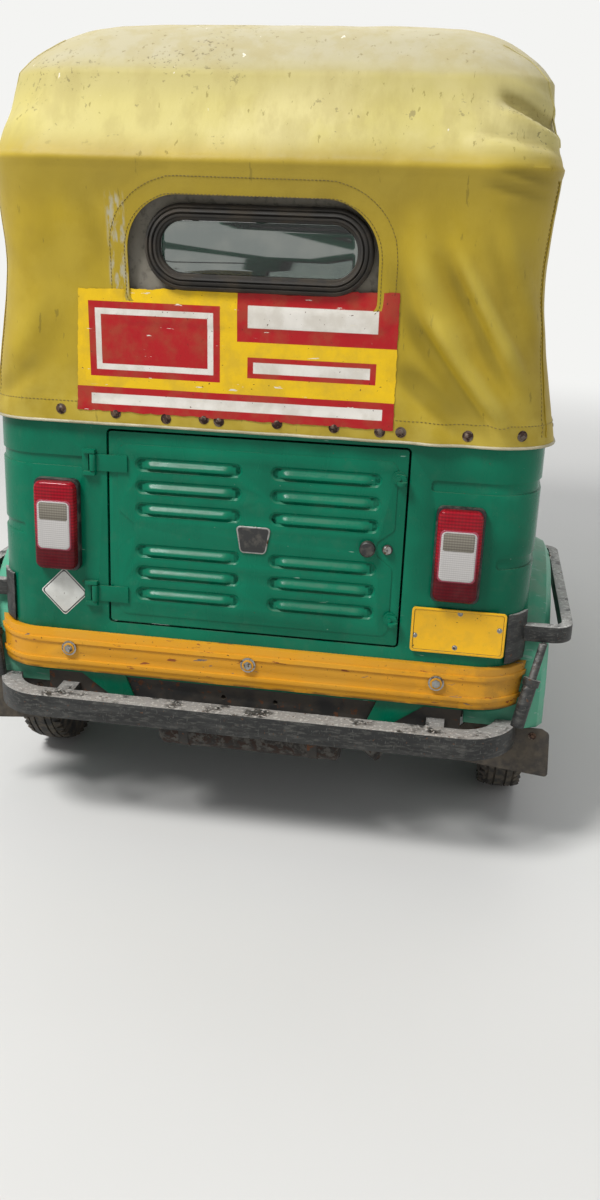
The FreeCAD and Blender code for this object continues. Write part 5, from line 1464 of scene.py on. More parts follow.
    def stitch(self, name: str, path: Sequence[Point], gap: float = 0.0085) -> None:
        """Sews a row of stitches along a line on the cloth.

        Args:
            name: Name of the piece.
            path: Points near the cloth.
            gap: Distance from stitch to stitch.
        """
        pts, ways = spaced([self.beside_cloth(p, 0.0)[0] for p in path], gap)
        seats = []
        for p, way in zip(pts, ways):
            at, normal = self.beside_cloth(p, 0.0003)
            seats.append(Seat(tuple(at), tuple(normal), tuple(way)))
        self.seams.append(fittings(name, Fitting.STITCH, seats, THREAD, 0.0008, 0.0008, 0.0062))

    def sew(self) -> None:
        """Adds the piping, the seams, the stitches and the rivets."""
        cols = self.grid.shape[1]
        half = cols // 2
        hem = self.grid[0]
        order = list(range(half, cols)) + list(range(half))
        edge = [hem[j] + np.array([0, 0, -0.001]) for j in order if self.door_gap(*hem[j][1:]) > 0.004]
        self.seams.append(tube_along("hem_piping", edge, 0.0032, PIPING, sides=8))
        self.stitch("hem_stitches", [p + np.array([0, 0, 0.044]) for p in edge])
        for off, word in ((0.006, "inner"), (self.binding - 0.006, "outer")):
            self.stitch(f"window_stitches_{word}", self.window_line(off), 0.0075)
        for side, word in SIDES:
            line = [(side * (0.560 + 0.004 * math.sin(9 * z)), -1.175, z) for z in np.linspace(0.945, 1.438, 60)]
            self.ridge(f"corner_seam_{word}", line, 0.0035)
            self.stitch(f"corner_stitches_{word}", [(x - side * 0.009, y - 0.006, z) for x, y, z in line])
            line = [(side * (0.455 + 0.12 * math.sin(t * math.pi / 2)), -1.10 - 0.03 * t, 1.718 - 0.218 * t ** 1.35)
                    for t in np.linspace(0, 1, 50)]
            self.ridge(f"roof_seam_{word}", line, 0.0035)
        seats = []
        for x in self.rivets:
            at, normal = self.on_cloth(x, 0.953 + 0.010 * abs(x) + 0.003 * math.sin(40 * x))
            seats.append(Seat(tuple(at), tuple(normal)))
        for side in (-1, 1):
            for y in np.arange(-1.07, -0.46, 0.118):
                at, normal = self.beside_cloth((side * 0.61, y, 0.954), 0.0)
                seats.append(Seat(tuple(at), tuple(normal)))
        self.seams.append(fittings("hem_rivets", Fitting.RIVET, seats, RUSTY, 0.0078, 0.0050))

    def ridge(self, name: str, path: Sequence[Point], radius: float) -> None:
        """Lays a flat welt along a line on the cloth."""
        pts = [self.beside_cloth(p, 0.0002)[0] for p in path]
        self.seams.append(tube_along(name, pts, radius, HOOD, sides=8, flat=0.5))

    def window_line(self, off: float) -> list[Point]:
        """Line round the window's cut-out at a distance from it, open at the lower edge's middle.

        Args:
            off: The distance.

        Returns:
            Points of the line.
        """
        x0, x1, z0, z1 = self.window
        low, high = self.window_radii[0] + off, self.window_radii[1] + off
        x0, x1, z0, z1 = x0 - off, x1 + off, z0 - off, z1 + off
        out: list[Point] = []
        for cx, cz, r, start in ((x1 - low, z0 + low, low, -90), (x1 - high, z1 - high, high, 0),
                                 (x0 + high, z1 - high, high, 90), (x0 + low, z0 + low, low, 180)):
            for a in np.linspace(start, start + 90, 12):
                out.append((cx + r * math.cos(math.radians(a)), -1.262, cz + r * math.sin(math.radians(a))))
        return out


LEAN = 0.055


def rear_y(z: float) -> float:
    """Outer face of the leaning rear panel at a height."""
    return -1.275 + LEAN * (z - 0.340)


def on_panel(x: float, z: float, out: float) -> Point:
    """Point over the leaning rear panel."""
    return x, rear_y(z) - out, z + LEAN * out


def oblong(x0: float, x1: float, z0: float, z1: float, radius: float, inset: float = 0.0,
           steps: int = 6) -> list[tuple[float, float]]:
    """Closed outline of a rounded oblong, anticlockwise.

    Args:
        x0: Left edge.
        x1: Right edge.
        z0: Lower edge.
        z1: Upper edge.
        radius: Radius of its corners.
        inset: How far it is drawn in all round.
        steps: Points on each corner.

    Returns:
        Its points.
    """
    x0, x1, z0, z1 = x0 + inset, x1 - inset, z0 + inset, z1 - inset
    r = max(min(radius - inset, (x1 - x0) / 2, (z1 - z0) / 2), 0.2 * MM)
    out = []
    for cx, cz, start in ((x1 - r, z0 + r, -90), (x1 - r, z1 - r, 0), (x0 + r, z1 - r, 90), (x0 + r, z0 + r, 180)):
        for i in range(steps):
            a = math.radians(start + 90 * i / (steps - 1))
            out.append((cx + r * math.cos(a), cz + r * math.sin(a)))
    return out


def disc(radius: float, points: int, middle: tuple[float, float] = (0.0, 0.0), squeeze: float = 1.0) -> Outline:
    """Round outline that can be drawn in.

    Args:
        radius: Its radius.
        points: Points round it.
        middle: Its middle.
        squeeze: Its width over its height.

    Returns:
        The function that gives its points for an inset.
    """
    turns = np.linspace(0, 2 * math.pi, points, endpoint=False)
    return lambda inset: [(middle[0] + squeeze * (radius - inset) * math.cos(t),
                           middle[1] + (radius - inset) * math.sin(t)) for t in turns]


def divided(outline: Sequence[tuple[float, float]], step: float) -> list[tuple[float, float]]:
    """Closed outline with points added on each run that is longer than a step.

    Args:
        outline: Points of the outline.
        step: Longest run that is left whole.

    Returns:
        Its points with those added.
    """
    out = []
    for (ax, az), (bx, bz) in zip(outline, list(outline[1:]) + list(outline[:1])):
        steps = max(1, int(math.hypot(bx - ax, bz - az) / step))
        out += [(ax + (bx - ax) * i / steps, az + (bz - az) * i / steps) for i in range(steps)]
    return out


def stacked(name: str, outline: Outline, levels: Sequence[tuple[float, float]],
            place: Callable[[float, float, float], Point], finish: Finish, **dress: Any) -> None:
    """Solid of one outline drawn in by steps, such as a lens, a plate or a knob.

    Args:
        name: Name of the piece.
        outline: Gives the outline's points for an inset.
        levels: Inset and height of each step, from the foot to the face.
        place: Turns two flat places and a height into a point.
        finish: Its finish.
        dress: Its body, sharp angle and replaced nodes, as finished takes them.
    """
    rings = [[place(a, b, out) for a, b in outline(inset)] for inset, out in levels]
    faces = ring_faces(len(rings), len(rings[0]), capped=True)
    obj = outward(new_object(name, [p for ring in rings for p in ring], faces))
    finished(obj, finish, **{"sharp": 40.0, **dress})


def lathe(name: str, profile: Sequence[tuple[float, float]], centre: Point, axis: Axis, finish: Finish,
          segments: int = 48, closed: bool = False, **dress: Any) -> bpy.types.Object:
    """Turned piece.

    Args:
        name: Name of the piece.
        profile: Radius and place along the axis of each point.
        centre: Where its axis starts.
        axis: The way that its axis runs.
        finish: Its finish.
        segments: Faces round it.
        closed: Whether the profile is a loop, as a ring's is; otherwise it starts and ends on the axis.
        dress: Its body, sharp angle and replaced nodes, as finished takes them.

    Returns:
        The piece.
    """
    order = {Axis.X: (1, 2, 0), Axis.Y: (2, 0, 1), Axis.Z: (0, 1, 2)}[axis]
    verts = []
    for r, t in profile:
        for a in np.arange(segments) * 2 * math.pi / segments:
            p = list(centre)
            for way, far in zip(order, (r * math.cos(a), r * math.sin(a), t)):
                p[way] += far
            verts.append(p)
    obj = new_object(name, verts, ring_faces(len(profile), segments, looped=closed))
    bm = bmesh.new()
    bm.from_mesh(obj.data)
    bmesh.ops.remove_doubles(bm, verts=bm.verts, dist=0.01 * MM)
    rim = [e for e in bm.edges if e.is_boundary]
    if rim:
        bmesh.ops.holes_fill(bm, edges=rim, sides=0)
    bmesh.ops.recalc_face_normals(bm, faces=bm.faces)
    bm.to_mesh(obj.data)
    bm.free()
    return finished(obj, finish, **{"sharp": 35.0, **dress})


def prism(name: str, outline: Sequence[tuple[float, float]], low: float, high: float, axis: Axis, finish: Finish,
          rounding: float, **dress: Any) -> None:
    """Prism with rounded edges.

    Args:
        name: Name of the piece.
        outline: Points across the axis: y and z for X, x and z for Y, x and y for Z.
        low: Where it starts along the axis.
        high: Where it ends.
        axis: The way that it runs.
        finish: Its finish.
        rounding: Width of its edge rounding.
        dress: Its body, sharp angle and replaced nodes, as finished takes them.
    """
    verts = [[a, b] for _ in (low, high) for a, b in outline]
    for number, p in enumerate(verts):
        p.insert(axis.value, low if number < len(outline) else high)
    obj = outward(new_object(name, verts, ring_faces(2, len(outline), capped=True)))
    bevel(obj, rounding)
    finished(obj, finish, **dress)


@dataclass(frozen=True)
class BannerPrint(Finish):
    """Screen-printed flex banner with plain fields of colour, scuffed, creased and torn at its edges."""

    def coat(self) -> Coating:
        """Yellow ground, plain red and white fields, scuffs down to the white base and dirt."""
        c = Coating(self.name, "#e3b90f", 0.40, IOR=1.48, Specular_IOR_Level=0.3, Coat_Weight=0.05, Coat_Roughness=0.3)
        white, red, soft = "#ddd8cf", "#a80d15", 0.8 * MM
        for x0, x1, z0, z1, colour in (
                (-0.400, 0.300, 0.900, 1.012, red), (-0.352, 0.262, 0.976, 0.998, white),
                (-0.352, -0.075, 1.034, 1.186, red), (-0.338, -0.089, 1.048, 1.172, white),
                (-0.326, -0.101, 1.060, 1.160, red), (-0.040, 0.300, 1.118, 1.300, red),
                (-0.018, 0.245, 1.146, 1.190, white), (-0.018, 0.245, 1.046, 1.088, red),
                (-0.006, 0.233, 1.056, 1.078, white)):
            c.lay(c.both(c.band(Axis.X, x0 - soft, x0 + soft), c.band(Axis.X, x1 + soft, x1 - soft),
                         c.band(Axis.Z, z0 - soft, z0 + soft), c.band(Axis.Z, z1 + soft, z1 - soft)), colour)
        c.lay(c.both(c.patches(0.06, 0.4, 0.12), 0.22), "#7c6a40", 0.6)
        c.lay(c.patches(0.010, 0.012, 0.012, (6, 1, 1)), "#d9d2c4", 0.6)
        c.lay(c.patches(0.007, 0.010, 0.010), "#4a2a1a", 0.8)
        c.lay(c.noise(0.03, (1, 1, 2), 3), rise=1.4 * MM)
        c.lay(c.noise(0.0025, detail=1), rise=0.05 * MM)
        return c


BANNER = BannerPrint("printed_flex_banner", "hood_vinyl")


@dataclass
class Banner:
    """Banner glued to the back of the hood, with torn edges."""

    hood: Hood
    corners: Sequence[tuple[float, float]] = ((-0.384, 0.962), (0.286, 0.957), (0.283, 1.227), (-0.372, 1.209))
    cell: float = 5.0 * MM
    off: float = 1.4 * MM
    tear: float = 1.8 * MM
    # half width of the window rubber, its end radius and its middle height
    rubber: Sequence[float] = (0.228, 0.081, 1.296)

    def build(self) -> None:
        """Lays a fine grid on the cloth, tears its edge and gives it thickness."""
        (ax, az), (bx, bz), (cx, cz), (dx, dz) = self.corners
        width, height = math.hypot(bx - ax, bz - az), math.hypot(dx - ax, dz - az)
        cols, rows = int(width / self.cell), int(height / self.cell)
        verts = []
        window = self.hood.window
        for j in range(rows + 1):
            for i in range(cols + 1):
                s, t = i / cols, j / rows
                # torn outline, coarse and fine
                ragged = self.tear * noise.noise(Vector((s * 31, t * 31, 0.7)))
                ragged += 0.5 * self.tear * noise.noise(Vector((s * 90, t * 90, 4.1)))
                s = s + (ragged / width if i in (0, cols) else 0)
                t = t + (1.4 * ragged / height if j in (0, rows) else 0)
                x = (ax + (bx - ax) * s) * (1 - t) + (dx + (cx - dx) * s) * t
                z = (az + (bz - az) * s) * (1 - t) + (dz + (cz - dz) * s) * t
                low = window[2] - 0.005 if window[0] - 0.010 < x < window[1] + 0.010 else 9.0
                at, normal = self.hood.on_cloth(x, min(z, low))
                if z > low:  # it bends forwards into the window's opening, up to the rubber
                    z = min(z, self.under_rubber(x))
                    at = Vector((x, at.y + 0.12 * (z - low), z))
                # the last three cells curl off the cloth here and there
                edge = max(0.0, 1 - min(i, cols - i, j, rows - j) / 3)
                lift = self.off + 0.0018 * edge * max(0.0, noise.noise(Vector((x * 22, 3.0, z * 22))))
                verts.append(at + normal * lift)
        faces = [(j * (cols + 1) + i, j * (cols + 1) + i + 1, (j + 1) * (cols + 1) + i + 1, (j + 1) * (cols + 1) + i)
                 for j in range(rows) for i in range(cols)]
        obj = new_object("banner", verts, faces)
        wall = obj.modifiers.new("banner thickness", "SOLIDIFY")
        wall.thickness = 0.5 * MM
        wall.offset = -1.0
        applied(obj)
        finished(obj, BANNER, sharp=60.0)

    def under_rubber(self, x: float) -> float:
        """Height just under the window rubber's lower edge."""
        over = min(max(abs(x) - (self.rubber[0] - self.rubber[1]), 0.0), self.rubber[1])
        return self.rubber[2] - math.sqrt(self.rubber[1] ** 2 - over ** 2) - 0.002


@dataclass
class RearWindow:
    """Oval rear window: ribbed rubber, stiff panel and pane."""

    middle_z: float = 1.296
    half: float = 0.228
    half_height: float = 0.081
    # of the rubber: how far in from the outline, and the place along the vehicle
    section: Sequence[tuple[float, float]] = (
        (0.0, -1.226), (-0.001, -1.256), (0.002, -1.263), (0.006, -1.266), (0.0085, -1.2615), (0.011, -1.2665),
        (0.015, -1.268), (0.0175, -1.262), (0.020, -1.267), (0.0235, -1.266), (0.0255, -1.2595), (0.029, -1.259),
        (0.031, -1.254), (0.031, -1.240), (0.026, -1.228))

    def oval(self, inset: float, steps: int = 16) -> list[tuple[float, float]]:
        """The window's outline, drawn in by inset."""
        return oblong(-self.half, self.half, self.middle_z - self.half_height, self.middle_z + self.half_height,
                      self.half_height - 3 * MM, inset, steps)

    def build(self) -> None:
        """Makes the rubber and dresses the rest."""
        rings = [[(x, y, z) for x, z in self.oval(inset)] for inset, y in self.section]
        faces = ring_faces(len(rings), len(rings[0]), looped=True)
        obj = outward(new_object("window_rubber_ribbed", [p for ring in rings for p in ring], faces))
        finished(obj, SEAL, sharp=48.0, replaces=["window_rubber"])
        dressed("window_panel", PANEL, rounding=0.8 * MM)
        dressed("window_glass", PANE, rounding=0.5 * MM)
        seats = [Seat((x, -1.241, z), (0, -1, 0)) for x in (-0.268, 0.268) for z in (1.185, 1.400)]
        fittings("panel_screws", Fitting.RIVET, seats, ZINC, 0.005, 0.002)


@dataclass
class RearBody:
    """Pressed rear body with its door, strip, lamps, plate and sign."""

    # inner and outer edge, foot and top of the right lamp
    lamp: Sequence[float] = (0.387, 0.489, 0.603, 0.808)
    louvre_x: Sequence[float] = (-0.1455, 0.1515)
    louvre_z: Sequence[float] = (0.849, 0.800, 0.751, 0.658, 0.609, 0.560)
    louvre_long: float = 0.1195
    louvre_high: float = 0.0165
    bolts: Sequence[float] = (-0.415, 0.0, 0.415)
    sign: tuple[float, float] = (-0.430, 0.548)
    sign_size: float = 0.056
    badge: tuple[float, float] = (0.0, 0.700)

    def build(self) -> None:
        """Dresses the pressings, then sets the small pieces on them."""
        dressed("rear_body", BODY, rounding=1.6 * MM)
        dressed("rear_door", BODY, rounding=1.3 * MM)
        dressed("door_lock", PLASTIC, rounding=0.8 * MM)
        self.louvres()
        self.key_barrel()
        seats = [Seat(on_panel(0.3045, z, 0.004), (0, -1, LEAN), (0.5, 0, 0.8)) for z in (0.858, 0.552)]
        fittings("latch_nuts", Fitting.STUD, seats, BODY, 0.0105, 0.014, body=BODY_OF["rear_door"])
        dressed("bumper_strip", STRIP, rounding=2.2 * MM)
        seats = [Seat(on_panel(x, 0.4215, 0.0215), (0, -1, LEAN), (0.8, 0, 0.6)) for x in self.bolts]
        fittings("strip_bolts", Fitting.BOLT, seats, ZINC, 0.0098, 0.0066)
        for side, word in SIDES:
            self.tail_lamp(side, word)
        dressed("number_plate", PLATE, rounding=0.9 * MM)
        seats = [Seat(on_panel(x, z, 0.0072), (0, -1, LEAN), (0.9, 0, 0.4))
                 for x, z in ((0.454, 0.578), (0.539, 0.548), (0.361, 0.522), (0.448, 0.501))]
        fittings("plate_screws", Fitting.RIVET, seats, ZINC, 0.0040, 0.0024)
        line = [on_panel(a, b, 0.0073) for a, b in oblong(0.3575, 0.5465, 0.4912, 0.5808, 0.005, 0.0, 6)]
        tube_along("plate_rim", line, 1.1 * MM, INK, sides=6, closed=True, flat=0.5)
        self.sign_plate()
        self.badge_plate()

    def louvres(self) -> None:
        """Presses the twelve louvres: a sloped oblong recess, and in it a blade that rises to an open lip."""
        straight = self.louvre_long - self.louvre_high
        top = np.linspace(straight, -straight, 31)
        turn = np.radians(np.linspace(90, 270, 13))[1:-1]
        verts, count = [], 2 * (len(top) + len(turn))
        # the edge of each ring in millimetres from the rim: a foot behind the sheet, the slope, then the floor
        insets = (-0.6, -0.6, 0.0, 0.7, 1.5, 2.4, 3.3, 4.3, 5.5, 6.8, 8.0, 9.2, 10.4, 11.6, 12.8, 14.2, 15.6)
        for row, inset in enumerate(insets):
            r = self.louvre_high - inset * MM
            x = np.concatenate([top, -straight + r * np.cos(turn), top[::-1], straight - r * np.cos(turn)])
            z = np.concatenate([np.full(len(top), r), r * np.sin(turn), np.full(len(top), -r), -r * np.sin(turn)])
            # the blade is full at its lip, 5 mm under the middle, and falls off fast below it and slowly above
            up = z + 0.0050
            long_way = np.maximum(abs(x) - 0.0845, 0) / 0.016
            across = np.where(up < 0, (np.clip(-up, 0, 1) / 0.0060) ** 2.5, up / 0.0155)
            blade = 0.0086 * (1 - smooth_step(np.hypot(long_way, across), 0.0, 1.0))
            out = 0.00012 - 0.00412 * smooth_step(np.full(len(x), inset * MM), 0.0, 0.0055) + blade
            verts += [(a, b, c if row else -0.0046) for a, b, c in zip(x, z, out)]
        faces = [tuple(range(count))] + ring_faces(len(insets), count)
        first, far = (len(insets) - 1) * count, 2 * len(top) + len(turn) - 1
        for k in range(len(top) - 1):
            faces.append((first + k, first + k + 1, first + far - k - 1, first + far - k))
        faces.append(tuple(range(first + len(top) - 1, first + len(top) + len(turn) + 1)))
        faces.append(tuple(range(first + far, first + count)) + (first,))
        shape = outward(new_object("louvre_shape", verts, faces))
        seats = [Seat(on_panel(x, z, 0.0), (0, -1, LEAN), (1, 0, 0)) for x in self.louvre_x for z in self.louvre_z]
        fittings("louvres", Fitting.SHAPE, seats, BODY, 1.0, 1.0, body=BODY_OF["rear_door"], shape=shape)
        bpy.data.objects.remove(shape)

    def tail_lamp(self, side: int, word: str) -> None:
        """Black housing and red lens with a frosted rim, a clear block and a reflector set in it.

        Args:
            side: -1 for left and 1 for right.
            word: The side's name.
        """
        x0, x1, z0, z1 = self.lamp
        if side < 0:
            x0, x1 = -x1, -x0
        # finish, inset at the sides, below and above, corner radius and its points, then inset and height of each step
        for name, finish, beside, below, above, radius, points, levels in (
                ("lamp_housing", PLASTIC, 0.0, 0.0, 0.0, 0.015, 8,
                 ((0.0, 0.0003), (0.0, 0.013), (0.0012, 0.015), (0.006, 0.015))),
                ("lamp_lens", LENS_RED, 0.004, 0.004, 0.004, 0.017, 8,
                 ((0.0, 0.011), (0.0005, 0.024), (0.0016, 0.029), (0.0040, 0.0320), (0.0085, 0.0335), (0.022, 0.0342))),
                ("lamp_window_rim", LENS_PINK, 0.0112, 0.0492, 0.0442, 0.011, 8,
                 ((0.0, 0.031), (0.0003, 0.0338), (0.0010, 0.0348), (0.0040, 0.0352))),
                ("lamp_clear", LENS_CLEAR, 0.014, 0.052, 0.047, 0.011, 8,
                 ((0.0, 0.031), (0.0003, 0.0348), (0.0010, 0.0358), (0.0040, 0.0362))),
                ("lamp_reflector", LENS_SMOKE, 0.019, 0.117, 0.050, 0.004, 4,
                 ((0.0, 0.0350), (0.0, 0.0364), (0.0004, 0.0367)))):
            dress = {"replaces": ["tail_lamps"]} if finish is PLASTIC else {"sharp": 60.0}
            edges = (x0 + beside, x1 - beside, z0 + below, z1 - above, radius)
            stacked(f"{name}_{word}", lambda inset: oblong(*edges, inset, points), levels, on_panel, finish, **dress)

    def key_barrel(self) -> None:
        """Bright face of the key barrel, with a black oblong on it as painted shade for its slot."""
        x, z = 0.290, 0.7035
        out = -(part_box("door_lock")[0][1] - rear_y(z))
        # the slot is a black oblong standing proud of the face: painted shade where the real slot is a hole
        for name, radius, squeeze, low, high, finish in (("key_face", 0.0092, 1.0, 0.35, 0.46, ZINC),
                                                         ("key_slot", 0.0034, 0.45, 0.45, 0.475, INK)):
            stacked(name, disc(radius, 28, (x, z), squeeze),
                    [(0, low * out), (0, high * out), (0.0008, high * out + 0.0008)], on_panel, finish,
                    body=BODY_OF["rear_door"])

    def sign_plate(self) -> None:
        """Blank diamond of white sheeting with a thin dark line inside its edge."""
        cx, cz = self.sign
        for name, size, out, finish in (("sign_sheet", self.sign_size, 0.0007, WHITE),
                                        ("sign_line", 0.0532, 0.00085, INK), ("sign_field", 0.0497, 0.0010, WHITE)):
            flat = size / math.sqrt(2)
            stacked(name, lambda inset: [(cx + (a - b) / math.sqrt(2), cz + (a + b) / math.sqrt(2))
                                         for a, b in oblong(-flat, flat, -flat, flat, 0.006, inset, 4)],
                    [(0.0, 0.0001), (0.0, out - 0.0001), (0.0002, out)], on_panel, finish)

    def badge_plate(self) -> None:
        """Small blank badge on the door: a dark field in a bright rim."""
        cx, cz = self.badge

        def outline(inset: float) -> list[tuple[float, float]]:
            """Oblong whose foot is a little narrower than its top."""
            pts = oblong(-0.033, 0.033, -0.028, 0.031, 0.009, inset, 6)
            return [(cx + a * (1 + 5.5 * b), cz + b) for a, b in pts]
        for name, finish, levels in (
                ("badge_rim", ZINC, ((0.0, 0.0), (0.0, 0.0028), (0.0008, 0.0034), (0.0022, 0.0034))),
                ("badge_field", INK, ((0.0030, 0.0030), (0.0032, 0.0040), (0.007, 0.0044)))):
            stacked(name, outline, levels, on_panel, finish, body=BODY_OF["rear_door"])


@dataclass
class Guards:
    """Crash bar, side guards, wheel arches and mudflaps."""

    def build(self) -> None:
        """Dresses the bars and sheets and adds their fastenings."""
        dressed("rear_guard", GUARD, rounding=3.0 * MM)
        dressed("side_guards", GUARD, rounding=3.0 * MM)
        dressed("fenders", FENDER, rounding=2.0 * MM)
        dressed("mudflaps", FLAP, rounding=1.6 * MM)
        seats = [Seat((side * x, -1.2375, z), (0, -1, 0), (0.7, 0, 0.7))
                 for side in (-1, 1) for x, z in ((0.515, 0.292), (0.635, 0.292))]
        fittings("flap_bolts", Fitting.BOLT, seats, RUSTY, 0.0050, 0.0050)
        seats = [Seat((side * 0.6545, -1.110, 0.445), (side, -0.3, 0), (0, 0, 1)) for side in (-1, 1)]
        seats += [Seat((side * 0.656, y, z), (side, 0, 0), (0, 0, 1)) for side in (-1, 1)
                  for y, z in ((-0.905, 0.608), (-0.665, 0.490))]
        fittings("arch_bolts", Fitting.RIVET, seats, ZINC, 0.007, 0.004)
        for side, word in SIDES:
            foot, top = np.array((side * 0.597, -1.268, 0.326)), np.array((side * 0.640, -1.211, 0.515))
            a, b = foot + 0.47 * (top - foot), foot + 0.55 * (top - foot)
            tube_along(f"strut_collar_{word}", [a, b], 0.0185, GUARD, sides=18)


@dataclass
class Wheel:
    """One wheel: tyre with its tread, and rim with nuts."""

    prefix: str
    centre: Point
    outside: int
    rows: int = 44
    hub_face: float = 12.0 * MM
    # radius and distance from the middle plane, from the bead over the side and the tread's grooves
    section: Sequence[tuple[float, float]] = (
        (0.1085, 0.034), (0.1165, 0.0375), (0.119, 0.042), (0.123, 0.044), (0.132, 0.0488), (0.146, 0.0515),
        (0.149, 0.0523), (0.152, 0.0515), (0.165, 0.0508), (0.170, 0.0514), (0.173, 0.0503), (0.186, 0.0470),
        (0.194, 0.0435), (0.1995, 0.0375), (0.2015, 0.0330), (0.1990, 0.0320), (0.1988, 0.0290),
        (0.2028, 0.0280), (0.2042, 0.0160), (0.1998, 0.0150), (0.1998, 0.0120), (0.2046, 0.0110))

    def build(self) -> None:
        """Makes the tyre, dresses the rim and adds the small pieces."""
        x, y, z = self.centre
        body = BODY_OF[self.prefix + "_tyre"]
        loop = [*self.section, *((r, -t) for r, t in reversed(self.section)), (0.104, -0.033), (0.104, 0.033)]
        lathe(self.prefix + "_tyre_moulded", loop, self.centre, Axis.X, TYRE, 72, True, body=body, sharp=30.0,
              replaces=[self.prefix + "_tyre"])
        seats = []
        for k in range(self.rows):
            for side in (-1, 1):
                turn = (2 * k + (1 if side > 0 else 0)) * math.pi / self.rows
                c, s = math.cos(turn), math.sin(turn)
                seats.append(Seat((x + side * 0.0400, y + 0.1945 * c, z + 0.1945 * s), (0.35 * side, c, s),
                                  (side * 0.95, -0.35 * s, 0.35 * c)))
        fittings(self.prefix + "_tread", Fitting.BLOCK, seats, TYRE, 0.0068, 0.0055, 0.0150, body)
        dressed(self.prefix + "_rim", RIM, rounding=1.0 * MM)
        turns = math.pi / 4 + np.arange(4) * math.pi / 2
        seats = [Seat((x + self.outside * self.hub_face, y + 0.055 * math.cos(a), z + 0.055 * math.sin(a)),
                      (self.outside, 0, 0), (0, math.cos(a), math.sin(a))) for a in turns]
        fittings(self.prefix + "_nuts", Fitting.STUD, seats, ZINC, 0.0095, 0.016, body=body)


SCREEN_FOOT = (1.045, 0.980)
SCREEN_LEAN = math.atan2(0.185, 0.625)


def on_screen(x: float, y: float, z: float) -> Point:
    """Point given across, out of and up the leaning windscreen, from the middle of its foot."""
    c, s = math.cos(SCREEN_LEAN), math.sin(SCREEN_LEAN)
    return x, SCREEN_FOOT[0] + y * c - z * s, SCREEN_FOOT[1] + y * s + z * c


def moved(obj: bpy.types.Object, matrix: Matrix) -> None:
    """Moves a piece's mesh, with its object left at the origin."""
    obj.data.transform(matrix)
    obj.data.update()


def spring(name: str, foot: Point, top: Point, radius: float, wire: float, turns: float, finish: Finish,
           body: str = "body") -> None:
    """Coil spring between two points, wound by Geometry Nodes.

    Args:
        name: Name of the piece.
        foot: Middle of its lower end.
        top: Middle of its upper end.
        radius: Radius of its turns, to the middle of the wire.
        wire: Radius of the wire.
        turns: Number of turns.
        finish: Its finish.
        body: The body that it moves with.
    """
    way = Vector(top) - Vector(foot)
    sizes = {"Radius": radius, "Wire": wire, "Height": way.length, "Turns": turns}
    obj = new_object(name, [(0, 0, 0)], [])
    tree, group = new_tree("wind_spring", sizes)
    line = add(tree, "GeometryNodeCurveSpiral", inputs={
        "Resolution": 28, "Rotations": group.outputs["Turns"], "Start Radius": group.outputs["Radius"],
        "End Radius": group.outputs["Radius"], "Height": group.outputs["Height"]})
    ring = add(tree, "GeometryNodeCurvePrimitiveCircle", inputs={"Resolution": 10, "Radius": group.outputs["Wire"]})
    coil = add(tree, "GeometryNodeCurveToMesh", inputs={
        "Curve": line.outputs[0], "Profile Curve": ring.outputs[0], "Fill Caps": True})
    run_tree(obj, tree, coil.outputs[0], finish.material(), sizes)
    moved(obj, Matrix.Translation(foot) @ way.to_track_quat("Z", "Y").to_matrix().to_4x4())
    finished(outward(obj), finish, body, 50.0)


